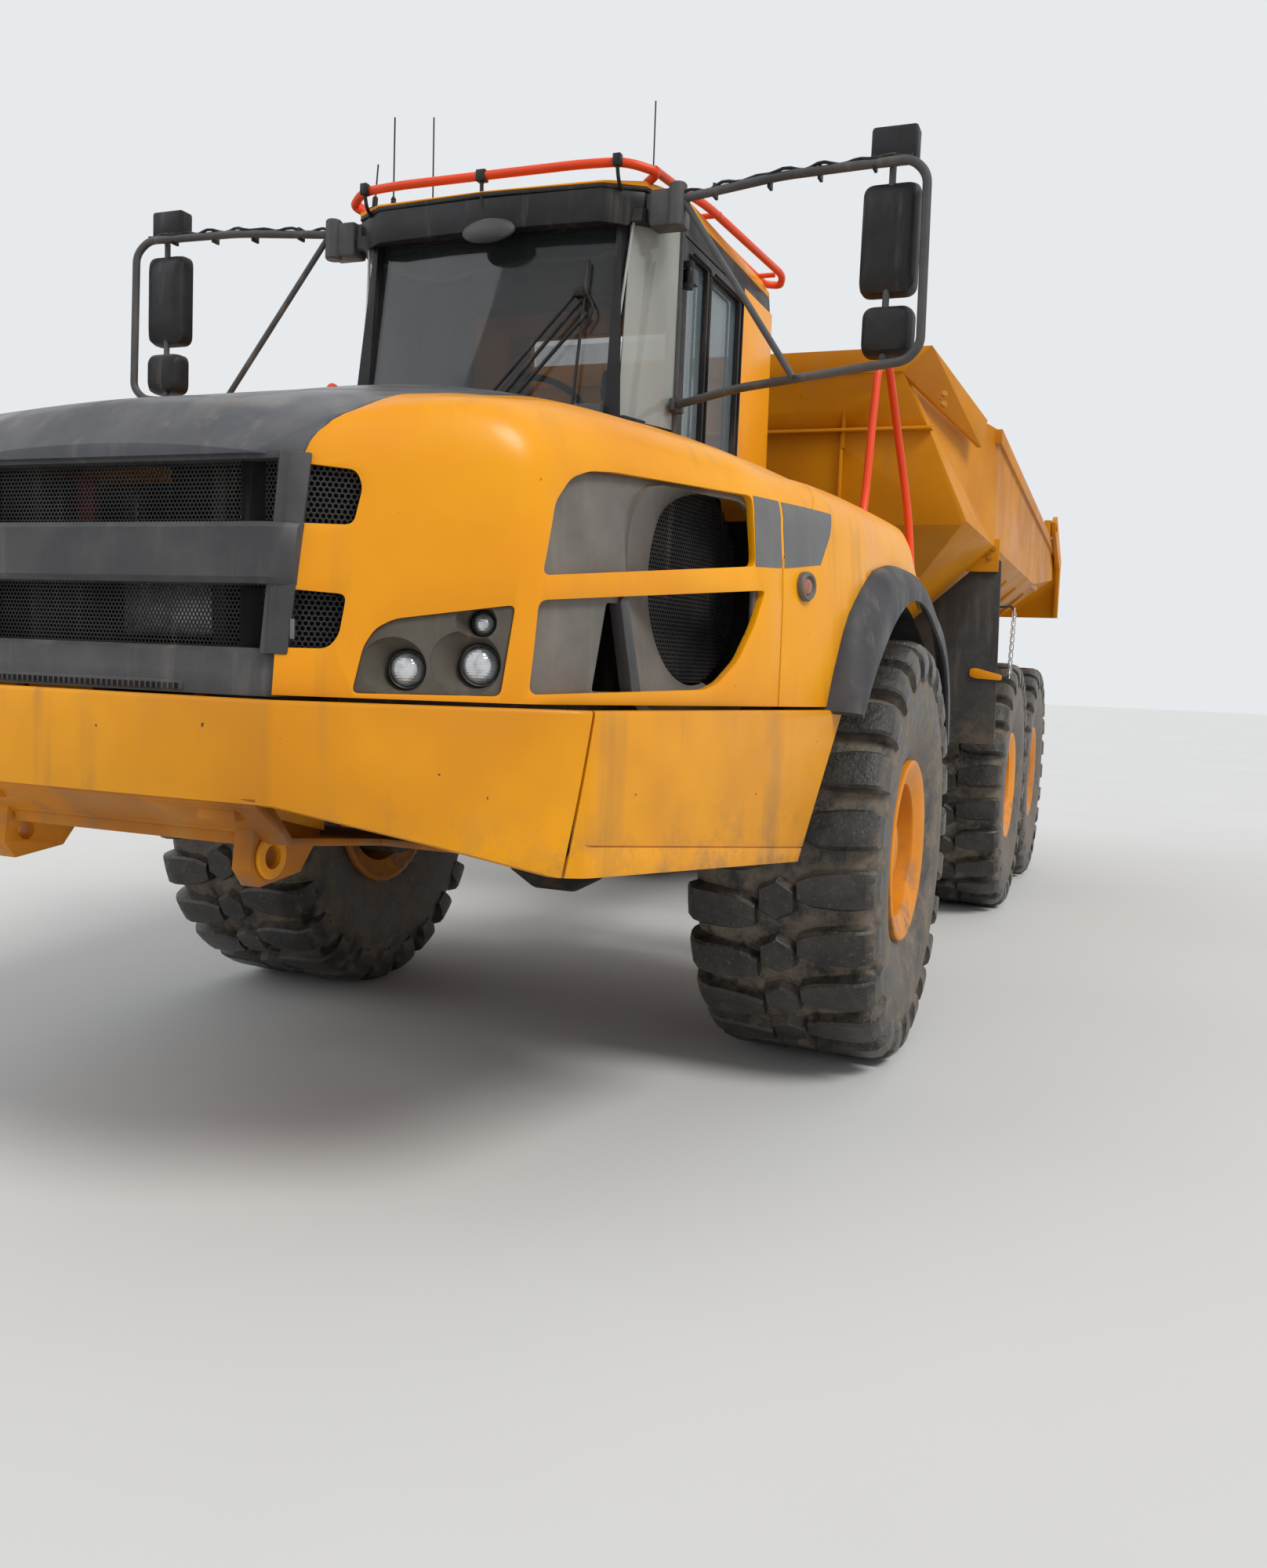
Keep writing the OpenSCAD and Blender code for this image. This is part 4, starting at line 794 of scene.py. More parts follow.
    def mirrored(self) -> Shape:
        """Adds the same on the machine's other side.

        Returns:
            This shape.
        """
        part = self.bm.copy()
        part.transform(MIRROR)
        bmesh.ops.reverse_faces(part, faces=part.faces)
        return self.pour(part)

    def object(self, name: str, angle: float = 32.0) -> Piece:
        """Turns the shape into an object, smooth except at edges sharper than the angle.

        Args:
            name: The object's name.
            angle: The angle in degrees.

        Returns:
            The object.
        """
        mesh = bpy.data.meshes.new(name)
        bmesh.ops.remove_doubles(self.bm, verts=self.bm.verts, dist=MERGE)
        self.bm.to_mesh(mesh)
        self.bm.free()
        return smooth(scene_object(name, mesh), angle)

    def put(self, name: str, body: str, finish: Finish, replaces: Iterable[str] = ()) -> Piece:
        """Keeps the shape as a finished piece; its arguments are those of keep."""
        return keep(self.object(name), body, finish, replaces)

    def put_both(self, name: str, body: str, finish: Finish, replaces: Iterable[str] = ()) -> Piece:
        """Keeps the shape and its mirror image as one piece."""
        return self.mirrored().put(name, body, finish, replaces)


def smooth(made: Piece, angle: float = 32.0) -> Piece:
    """Shades an object smooth except at its sharp edges.

    Args:
        made: The object.
        angle: Edges that bend more than this many degrees stay sharp.

    Returns:
        The object.
    """
    bm = bmesh.new()
    bm.from_mesh(made.data)
    for f in bm.faces:
        f.smooth = True
    for e in bm.edges:
        e.smooth = e.is_manifold and e.calc_face_angle(4) < math.radians(angle)
    bm.to_mesh(made.data)
    bm.free()
    return made


def bake(made: Piece) -> Piece:
    """Applies an object's modifiers.

    Args:
        made: The object.

    Returns:
        The object with its new mesh.
    """
    bpy.context.view_layer.update()
    graph = bpy.context.evaluated_depsgraph_get()
    mesh = bpy.data.meshes.new_from_object(made.evaluated_get(graph), preserve_all_data_layers=True,
                                           depsgraph=graph)
    old = made.data
    made.modifiers.clear()
    made.data = mesh
    bpy.data.meshes.remove(old)
    return made


def carve(made: Piece, cutter: Shape, operation: str = "DIFFERENCE") -> Piece:
    """Cuts a shape out of an object, or keeps only what is inside it.

    Args:
        made: The object to cut.
        cutter: The shape that cuts.
        operation: DIFFERENCE or INTERSECT.

    Returns:
        The cut object.
    """
    tool = cutter.object("cutter")
    modifier = made.modifiers.new("cut", "BOOLEAN")
    modifier.operation, modifier.solver, modifier.object = operation, "EXACT", tool
    bake(made)
    bpy.data.objects.remove(tool)
    return made


def bevelled(made: Piece, width: float, segments: int = 2, angle: float = 30.0) -> Piece:
    """Rounds an object's sharp edges and shades it smooth between them.

    Args:
        made: The object.
        width: Width of the bevel.
        segments: Segments of the bevel.
        angle: Edges that bend more than this many degrees are rounded.

    Returns:
        The object with its new mesh.
    """
    modifier = made.modifiers.new("edge", "BEVEL")
    modifier.width, modifier.segments, modifier.angle_limit = width, segments, math.radians(angle)
    modifier.harden_normals = False
    return smooth(bake(made), SMOOTH_DEGREES)


def cad_copy(node: str, name: str) -> Piece:
    """A copy of a CAD node about the front axle's line, its loose triangles joined to clean faces.

    Args:
        node: The CAD node.
        name: The new object's name.

    Returns:
        The copy.
    """
    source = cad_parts[node]
    bm = bmesh.new()
    bm.from_mesh(source.data)
    bm.transform(Matrix.Translation((-FRONT_AXLE_X, 0, 0)))
    bmesh.ops.remove_doubles(bm, verts=bm.verts, dist=CAD_MERGE)
    bmesh.ops.dissolve_limit(bm, angle_limit=math.radians(FLAT_DEGREES), verts=bm.verts, edges=bm.edges)
    mesh = bpy.data.meshes.new(name)
    bm.to_mesh(mesh)
    bm.free()
    mesh.materials.clear()
    return scene_object(name, mesh)


def keep(made: Piece, body: str, finish: Finish, replaces: Iterable[str] = ()) -> Piece:
    """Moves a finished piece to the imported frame, gives it its finish and lets it ride.

    Args:
        made: The piece, drawn about the front axle's line.
        body: The CAD body that carries it.
        finish: The piece's finish.
        replaces: CAD nodes that it stands for.

    Returns:
        The piece.
    """
    made.data.transform(Matrix.Translation((FRONT_AXLE_X, 0, 0)))
    made.data.materials.clear()
    made.data.materials.append(finish.material())
    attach(made, body)
    finish.slot.value
    if replaces:
        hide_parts(*replaces)
    LOG.info("%s: %d faces on %s", made.name, len(made.data.polygons), body)
    return made


def soften(node: str, name: str, body: str, finish: Finish, width: float, angle: float = 32.0) -> None:
    """Replaces a CAD node by its own shape with rounded edges.

    Args:
        node: The CAD node.
        name: The piece's name.
        body: The CAD body that carries it.
        finish: The piece's finish.
        width: Width of the rounded edges.
        angle: Edges that bend more than this many degrees are rounded.
    """
    keep(bevelled(cad_copy(node, name), width, 2, angle), body, finish, [node])


def dress_node(name: str, finish: Finish) -> None:
    """Gives a CAD node that stays its material, through its object's own slots.

    Args:
        name: The CAD node.
        finish: The finish that it gets.
    """
    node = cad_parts[name]
    for slot in node.material_slots:
        slot.link = "OBJECT"
        slot.material = finish.material()
    if not node.material_slots:
        node.data.materials.append(finish.material())


def only_mesh(made: Piece) -> bpy.types.Mesh:
    """Removes an object and returns its mesh.

    Args:
        made: The object.

    Returns:
        The mesh.
    """
    mesh = made.data
    bpy.data.objects.remove(made)
    return mesh


class Tree:
    """A geometry node tree with named inputs."""

    def __init__(self, name: str, **inputs: float | int) -> None:
        """Makes a tree with a geometry in and out and number inputs.

        Args:
            name: The tree's name.
            **inputs: Names and defaults of the number inputs.
        """
        self.tree = bpy.data.node_groups.new(name, "GeometryNodeTree")
        interface = self.tree.interface
        interface.new_socket("Geometry", in_out="INPUT", socket_type="NodeSocketGeometry")
        interface.new_socket("Geometry", in_out="OUTPUT", socket_type="NodeSocketGeometry")
        for key, value in inputs.items():
            kind = "NodeSocketInt" if isinstance(value, int) else "NodeSocketFloat"
            interface.new_socket(key, in_out="INPUT", socket_type=kind).default_value = value
        interface.new_socket("material", in_out="INPUT", socket_type="NodeSocketMaterial")
        self.source = self.tree.nodes.new("NodeGroupInput")
        self.sink = self.tree.nodes.new("NodeGroupOutput")

    def add(self, kind: str, settings: dict | None = None, **inputs: object) -> bpy.types.Node:
        """Adds a node and sets its inputs by name, or by number as in_0.

        Args:
            kind: The node's type.
            settings: Properties of the node.
            **inputs: Values or sockets by input.

        Returns:
            The new node.
        """
        node = self.tree.nodes.new(kind)
        for key, value in (settings or {}).items():
            setattr(node, key, value)
        for key, value in inputs.items():
            wanted = int(key[3:]) if key.startswith("in_") else key.replace("_", " ")
            socket = node.inputs[wanted]
            if isinstance(value, Socket):
                self.tree.links.new(value, socket)
            else:
                socket.default_value = value
        return node

    def value(self, name: str) -> Socket:
        """A named input of the tree."""
        return self.source.outputs[name]

    def math(self, operation: str, a: object, b: object = 0.0) -> Socket:
        """A math node on two values."""
        return self.add("ShaderNodeMath", {"operation": operation}, in_0=a, in_1=b).outputs[0]

    def vector(self, name: str) -> Socket:
        """A vector attribute of the points."""
        return self.add("GeometryNodeInputNamedAttribute", {"data_type": "FLOAT_VECTOR"},
                        Name=name).outputs["Attribute"]

    def place(self, instance: Socket) -> None:
        """Sets an instance on each point by its 'facing' and 'along' attributes and ends the tree.

        Args:
            instance: The instance's socket.
        """
        turn = self.add("FunctionNodeAlignRotationToVector", {"axis": "Z"}, Vector=self.vector("facing"))
        turn = self.add("FunctionNodeAlignRotationToVector", {"axis": "X", "pivot_axis": "Z"},
                        Rotation=turn.outputs[0], Vector=self.vector("along"))
        points = self.add("GeometryNodeMeshToPoints", Mesh=self.value("Geometry"))
        self.close(self.add("GeometryNodeInstanceOnPoints", Points=points.outputs[0], Instance=instance,
                            Rotation=turn.outputs[0]).outputs[0])

    def close(self, result: Socket) -> None:
        """Ends the tree in realized instances with their material.

        Args:
            result: The instances' socket.
        """
        real = self.add("GeometryNodeRealizeInstances", Geometry=result)
        done = self.add("GeometryNodeSetMaterial", Geometry=real.outputs[0],
                        Material=self.value("material"))
        self.tree.links.new(done.outputs[0], self.sink.inputs[0])

    def run(self, made: Piece, finish: Finish, **inputs: float | int) -> Piece:
        """Runs the tree on an object and keeps the result as its mesh.

        Args:
            made: The object whose mesh goes in.
            finish: The finish that the result gets.
            **inputs: Values of the named inputs.

        Returns:
            The object with its new mesh.
        """
        modifier = made.modifiers.new("nodes", "NODES")
        modifier.node_group = self.tree
        named = {item.name: item.identifier
                 for item in self.tree.interface.items_tree if item.in_out == "INPUT"}
        for key, value in {**inputs, "material": finish.material()}.items():
            modifier[named[key]] = value
        return bake(made)


def bolt_tree() -> Tree:
    """Hexagon bolts with washers on points.

    Returns:
        The tree.
    """
    tree = Tree("bolts on points", radius=0.012, height=0.01)
    radius, height = tree.value("radius"), tree.value("height")
    lift = tree.math("MULTIPLY", height, 0.5)
    head = tree.add("GeometryNodeMeshCylinder", Vertices=6, Radius=radius, Depth=height)
    up = tree.add("ShaderNodeCombineXYZ", Z=lift).outputs[0]
    head = tree.add("GeometryNodeTransform", Geometry=head.outputs["Mesh"], Translation=up)
    wide = tree.math("MULTIPLY", radius, 1.45)
    washer = tree.add("GeometryNodeMeshCylinder", Vertices=14, Radius=wide,
                      Depth=tree.math("MULTIPLY", height, 0.4))
    both = tree.add("GeometryNodeJoinGeometry")
    tree.tree.links.new(head.outputs[0], both.inputs[0])
    tree.tree.links.new(washer.outputs["Mesh"], both.inputs[0])
    tree.place(both.outputs[0])
    return tree


def honeycomb_tree() -> Tree:
    """Six-sided cells of a mesh sheet on points.

    Returns:
        The tree.
    """
    tree = Tree("honeycomb on points", cell=0.015, open_share=0.8, depth=0.004)
    outer = tree.math("MULTIPLY", tree.value("cell"), HEX_SIDE)
    disc = tree.add("GeometryNodeMeshCircle", {"fill_type": "NGON"}, Vertices=6, Radius=outer)
    rim = tree.add("GeometryNodeExtrudeMesh", {"mode": "FACES"}, Mesh=disc.outputs[0], Offset_Scale=0.0)
    inner = tree.add("GeometryNodeScaleElements", Geometry=rim.outputs["Mesh"],
                     Selection=rim.outputs["Top"], Scale=tree.value("open_share"))
    inwards = tree.math("MULTIPLY", tree.value("depth"), -1.0)
    down = tree.add("GeometryNodeExtrudeMesh", {"mode": "FACES"}, Mesh=inner.outputs[0],
                    Selection=rim.outputs["Top"], Offset_Scale=inwards)
    hole = tree.add("GeometryNodeDeleteGeometry", {"domain": "FACE"}, Geometry=down.outputs["Mesh"],
                    Selection=down.outputs["Top"])
    tree.place(hole.outputs[0])
    return tree


def ring_tree() -> Tree:
    """The incoming mesh repeated around the Y axis.

    Returns:
        The tree.
    """
    tree = Tree("ring about the axle", count=24)
    points = tree.add("GeometryNodePoints", Count=tree.value("count"))
    index = tree.add("GeometryNodeInputIndex").outputs[0]
    angle = tree.math("DIVIDE", tree.math("MULTIPLY", index, 2 * math.pi), tree.value("count"))
    turn = tree.add("ShaderNodeCombineXYZ", Y=angle).outputs[0]
    made = tree.add("GeometryNodeInstanceOnPoints", Points=points.outputs[0],
                    Instance=tree.value("Geometry"), Rotation=turn)
    tree.close(made.outputs[0])
    return tree


def row_tree() -> Tree:
    """The incoming mesh repeated along a straight line.

    Returns:
        The tree.
    """
    tree = Tree("row", count=10, dx=0.0, dy=0.05, dz=0.0)
    points = tree.add("GeometryNodePoints", Count=tree.value("count"))
    index = tree.add("GeometryNodeInputIndex").outputs[0]
    step = [tree.math("MULTIPLY", index, tree.value(key)) for key in ("dx", "dy", "dz")]
    shift = tree.add("ShaderNodeCombineXYZ", X=step[0], Y=step[1], Z=step[2]).outputs[0]
    moved = tree.add("GeometryNodeSetPosition", Geometry=points.outputs[0], Offset=shift)
    made = tree.add("GeometryNodeInstanceOnPoints", Points=moved.outputs[0],
                    Instance=tree.value("Geometry"))
    tree.close(made.outputs[0])
    return tree


def chain_tree() -> Tree:
    """Links on points, each a quarter turn from the last.

    Returns:
        The tree.
    """
    tree = Tree("chain on points", link=0.05, wire=0.008)
    half = tree.math("MULTIPLY", tree.value("link"), 0.5)
    path = tree.add("GeometryNodeCurvePrimitiveQuadrilateral", Width=tree.math("MULTIPLY", half, 2.3),
                    Height=tree.math("MULTIPLY", half, 1.1))
    path = tree.add("GeometryNodeFilletCurve", {"mode": "POLY"}, Curve=path.outputs[0],
                    Radius=tree.math("MULTIPLY", half, 0.5), Count=3)
    wire = tree.add("GeometryNodeCurvePrimitiveCircle", Resolution=6,
                    Radius=tree.math("MULTIPLY", tree.value("wire"), 0.5))
    link = tree.add("GeometryNodeCurveToMesh", Curve=path.outputs[0], Profile_Curve=wire.outputs[0])
    tree.place(link.outputs[0])
    return tree


def point_cloud(name: str, points: Sequence[tuple[Point, Point, Point]]) -> Piece:
    """A mesh of single points, each with the way it faces and the way it lies.

    Args:
        name: The object's name.
        points: Place, facing and along of each point.

    Returns:
        The carrier object.
    """
    mesh = bpy.data.meshes.new(name)
    mesh.from_pydata([tuple(p[0]) for p in points], [], [])
    for k, key in ((1, "facing"), (2, "along")):
        layer = mesh.attributes.new(key, "FLOAT_VECTOR", "POINT")
        layer.data.foreach_set("vector", [c for p in points for c in p[k]])
    return scene_object(name, mesh)


def inside(p: Point, outline: Outline) -> bool:
    """Whether a point lies in an outline.

    Args:
        p: The point.
        outline: The outline.

    Returns:
        True for a point inside it.
    """
    hit = False
    for (x0, y0), (x1, y1) in zip(outline, [*outline[1:], outline[0]]):
        if (y0 > p[1]) != (y1 > p[1]) and p[0] < (x1 - x0) * (p[1] - y0) / (y1 - y0) + x0:
            hit = not hit
    return hit


def comb_points(outline: Outline, place: Matrix, cell: float) -> list[tuple[Point, Point, Point]]:
    """Points of a honeycomb that fills an outline.

    Args:
        outline: The outline in the place's X and Y.
        place: The sheet's place, Z outwards.
        cell: Distance between cells.

    Returns:
        Place, facing and along of each cell.
    """
    xs, ys = [p[0] for p in outline], [p[1] for p in outline]
    facing, along = place.to_3x3() @ Vector((0, 0, 1)), place.to_3x3() @ Vector((0, 1, 0))
    rows = int((max(ys) - min(ys)) / (cell * HEX_ROW)) + 2
    cols = int((max(xs) - min(xs)) / cell) + 2
    made = []
    for r in range(rows):
        for c in range(cols):
            p = (min(xs) + (c + 0.5 * (r % 2)) * cell, min(ys) + r * cell * HEX_ROW)
            if inside(p, outline):
                made.append((place @ Vector((*p, 0)), facing, along))
    return made


@dataclass
class Bolts:
    """Bolts of one body, gathered and made as one piece."""

    name: str
    body: str
    finish: Finish
    radius: float = 0.012
    height: float = 0.01
    points: list[tuple[Point, Point, Point]] = field(default_factory=list)

    def at(self, place: Point, facing: Point) -> None:
        """Adds one bolt."""
        along = Vector(facing).orthogonal().normalized()
        self.points.append((place, Vector(facing).normalized(), along))

    def both(self, place: Point, facing: Point) -> None:
        """Adds a bolt on each side of the machine."""
        self.at(place, facing)
        self.at((place[0], -place[1], place[2]), (facing[0], -facing[1], facing[2]))

    def line(self, first: Point, last: Point, count: int, facing: Point) -> None:
        """Adds a row of bolts on each side of the machine."""
        for k in range(count):
            self.both(Vector(first).lerp(Vector(last), k / max(1, count - 1)), facing)

    def make(self, tree: Tree) -> None:
        """Makes the piece.

        Args:
            tree: The bolt tree.
        """
        made = tree.run(point_cloud(self.name, self.points), self.finish, radius=self.radius,
                        height=self.height)
        keep(smooth(made), self.body, self.finish)


def absorb(shape: Shape, made: Piece, place: Matrix = HERE) -> None:
    """Adds an object's mesh to a shape and removes the object.

    Args:
        shape: The shape that grows.
        made: The object that goes in.
        place: The place of its mesh.
    """
    mesh = made.data
    mesh.transform(place)
    shape.bm.from_mesh(mesh)
    bpy.data.objects.remove(made)
    bpy.data.meshes.remove(mesh)


def eased(rows: Sequence[Sequence[float]], x: float, column: int) -> float:
    """A monotone smooth curve through the rows of a table, whose first column falls.

    Args:
        rows: The table's rows.
        x: Where the value is wanted.
        column: The value's column.

    Returns:
        The value.
    """
    pts = sorted((r[0], r[column]) for r in rows)
    x = min(max(x, pts[0][0]), pts[-1][0])
    i = max(k for k in range(len(pts) - 1) if pts[k][0] <= x)
    rise = [(b[1] - a[1]) / (b[0] - a[0]) for a, b in zip(pts, pts[1:])]

    def slope(k: int) -> float:
        """Slope at one row.

        Args:
            k: The row's number.

        Returns:
            The slope.
        """
        if k in (0, len(pts) - 1):
            return rise[min(k, len(rise) - 1)]
        a, b = rise[k - 1], rise[k]
        return 0.0 if a * b <= 0 else 2 * a * b / (a + b)

    (x0, y0), (x1, y1) = pts[i], pts[i + 1]
    h, t = x1 - x0, (x - x0) / (x1 - x0)
    grow = (1 + 2 * t) * (1 - t) ** 2 * y0 + t * (1 - t) ** 2 * h * slope(i)
    return grow + t * t * (3 - 2 * t) * y1 + t * t * (t - 1) * h * slope(i + 1)


CORNER_A = (NOSE_X - 0.051, 0.57)
CORNER_B = (2.68, 1.14)
CORNER_C = (1.46, 1.47)
CORNER_FACE = on_face(CORNER_A, CORNER_B)
SIDE_FACE = on_face(CORNER_B, CORNER_C)


@dataclass
class Skin:
    """The smooth skin that the hood, its grey cover and the fenders share."""

    low: float = 1.585
    thick: float = 0.026
    crest: tuple = (
        (3.056, 0.52, 2.2, 2.232), (3.03, 0.56, 2.232, 2.275), (2.98, 0.602, 2.275, 2.325),
        (2.93, 0.64, 2.31, 2.372), (2.68, 0.9, 2.4, 2.44),
        (2.2, 1.04, 2.455, 2.56), (1.7, 1.18, 2.45, 2.68), (1.2, 1.32, 2.415, 2.74),
        (1.04, 1.37, 2.418, 2.748), (0.6, 1.44, 2.412, 2.412), (-0.2, 1.51, 2.402, 2.402),
        (-0.33, 1.52, 2.33, 2.33), (-0.62, 1.52, 2.15, 2.15),
    )
    flank: tuple = ((1.46, 1.47), (1.2, 1.54), (1.04, 1.565), (0.6, 1.62), (-0.2, 1.64), (-0.62, 1.64))

    def half_width(self, x: float) -> float:
        """Half width at the lower edge: two flat faces with a round corner between them.

        Args:
            x: Where the skin is cut.

        Returns:
            Half the width there.
        """
        if x < CORNER_C[0]:
            return eased(self.flank, x, 1)
        faces = []
        for a, b in ((CORNER_A, CORNER_B), (CORNER_B, CORNER_C)):
            faces.append(a[1] + (a[0] - x) * (b[1] - a[1]) / (a[0] - b[0]))
        soft = 0.028
        return -soft * math.log(sum(math.exp(-w / soft) for w in faces))

    def ring(self, x: float, inset: float) -> list[Point]:
        """One cross section of the skin.

        Args:
            x: Where the section is cut.
            inset: How far it is moved inwards.

        Returns:
            Points from the left lower edge over the top to the right lower edge.
        """
        crest, top, middle = (eased(self.crest, x, k) for k in (1, 2, 3))
        rise = top - self.low
        w, c, zc, zm = self.half_width(x) - inset, crest - 0.8 * inset, top - 0.8 * inset, middle - inset
        low = self.low - (0.06 if inset > 0 else 0.0)
        half = [(w, low), (w - 0.001, self.low + rise * 0.2), (w - 0.004, self.low + rise * 0.45)]
        half += [(w - 0.011, self.low + rise * 0.6), (w - 0.022, self.low + rise * 0.72 - inset * 0.3)]
        for k in range(1, 11):
            a = math.radians(9 * k)
            drop = rise * 0.28 - inset * 0.5
            half.append((c + (w - 0.022 - c) * math.cos(a), zc - drop * (1 - math.sin(a))))
        for k in range(1, 11):
            y = c * (1 - k / 10)
            half.append((y, zm - (zm - zc) * (y / c) ** 2))
        right = [(x, -y, z) for y, z in half[-2::-1]]
        return [(x, y, z) for y, z in half] + right

    def stations(self, front: float, rear: float) -> list[float]:
        """Places of the sections between two ends, closer at the nose.

        Args:
            front: The front end.
            rear: The rear end.

        Returns:
            The places from front to rear.
        """
        xs, x = [front], front
        while x - rear > 0.05:
            x -= 0.03 if x > 2.45 else 0.07
            xs.append(max(x, rear + 0.01))
        return xs + [rear]

    def solid(self, front: float, rear: float, inset: float = 0.0) -> Shape:
        """The solid under the skin between two sections."""
        return Shape().loft([self.ring(x, inset) for x in self.stations(front, rear)])

    def shell(self, name: str, front: float, rear: float, outer: float, inner: float) -> Piece:
        """A layer of the skin between two insets."""
        made = self.solid(front - outer, rear, outer).object(name)
        return carve(made, self.solid(front - inner, rear - 0.02, inner))


@dataclass
class Hood:
    """The tilting hood with its grey cover, windows and vents."""

    skin: Skin
    body: str = "hood"
    seam: float = 0.008
    front: float = 3.056
    rear: float = 1.04
    vents: tuple = (
        ((-0.06, 2.024), (0.2, 2.03), (0.222, 2.13), (0.205, 2.172), (-0.06, 2.186)),
        ((-0.06, 1.706), (0.142, 1.71), (0.17, 1.745), (0.187, 1.852), (-0.06, 1.862)),
    )
    windows: tuple = (
        ((0.03, 1.93), (0.08, 2.13), (0.15, 2.205), (0.23, 2.235), (0.34, 2.248), (1.09, 2.282),
         (1.098, 2.05)),
        ((0.0, 1.61), (0.022, 1.864), (1.166, 1.976), (1.1, 1.85), (1.01, 1.735), (0.9, 1.66),
         (0.82, 1.636)),
    )
    through: tuple = (-0.16, 0.12)
    lamp: tuple = ((0.205, 1.597), (0.232, 1.72), (0.262, 1.768), (0.31, 1.795), (0.625, 1.847),
                   (0.592, 1.603))
    cover: tuple = ((3.2, 0.604), (3.01, 0.612), (2.98, 0.632), (2.95, 0.655), (2.87, 0.7), (2.78, 0.722),
                    (2.55, 0.712), (2.2, 0.655), (1.84, 0.638), (0.9, 0.69))

    def behind(self, gap: float) -> Shape:
        """What lies behind the hood's rear edge."""
        edge = [(1.44 + gap, 1.4), (1.44 + gap, 2.09), (1.06 + gap, 2.4), (1.06 + gap, 3.0), (-2.0, 3.0)]
        return Shape().prism([*edge, (-2.0, 1.4)], *ACROSS)

    def cover_plan(self, grow: float, low: float) -> Shape:
        """The grey cover's outline from above, from one height up.

        Args:
            grow: How far the outline is moved outwards.
            low: The height that it starts from.

        Returns:
            The prism over the outline.
        """
        left = [(x, y + grow) for x, y in self.cover]
        plan = rounded(left + [(x, -y) for x, y in reversed(left)], 0.05, 3)
        return Shape().prism(plan, low, 3.2, HERE)

    def windows_cut(self) -> Shape:
        """Everything that is cut through the corner and side faces, on both sides.

        Returns:
            The cutting shape.
        """
        cut = Shape()
        for outline in self.vents:
            cut.prism(rounded(outline, 0.022, 4), *self.through, CORNER_FACE)
        cut.prism(rounded(self.lamp, 0.02, 4), *self.through, CORNER_FACE)
        for outline in self.windows:
            cut.prism(rounded(outline, 0.028, 4), *self.through, SIDE_FACE)
        return cut.mirrored()

    def build(self) -> None:
        """Makes the painted hood and the grey cover."""
        sheet = self.skin.thick
        made = self.skin.shell("hood_skin", self.front, self.rear, 0.0, sheet)
        carve(made, self.behind(self.seam))
        carve(made, self.windows_cut())
        nose = [(-0.566, 1.4), (0.566, 1.4), (0.6, 2.205), (-0.6, 2.205)]
        carve(made, Shape().prism(nose, 2.8, 3.2, CROSS_PLANE))
        carve(made, self.cover_plan(0.0, 2.206))
        keep(bevelled(made, 0.0035, 2, 35), self.body, Finish.AMBER, ["hood"])
        cover = self.skin.solid(self.front + 0.012, self.rear).object("hood_cover")
        carve(cover, self.skin.solid(self.front - 0.1, self.rear - 0.02, sheet))
        carve(cover, self.cover_plan(-0.004, 2.196), "INTERSECT")
        carve(cover, self.behind(self.seam))
        keep(bevelled(cover, 0.006, 3, 35), self.body, Finish.HOOD_GREY, ["hood_top"])


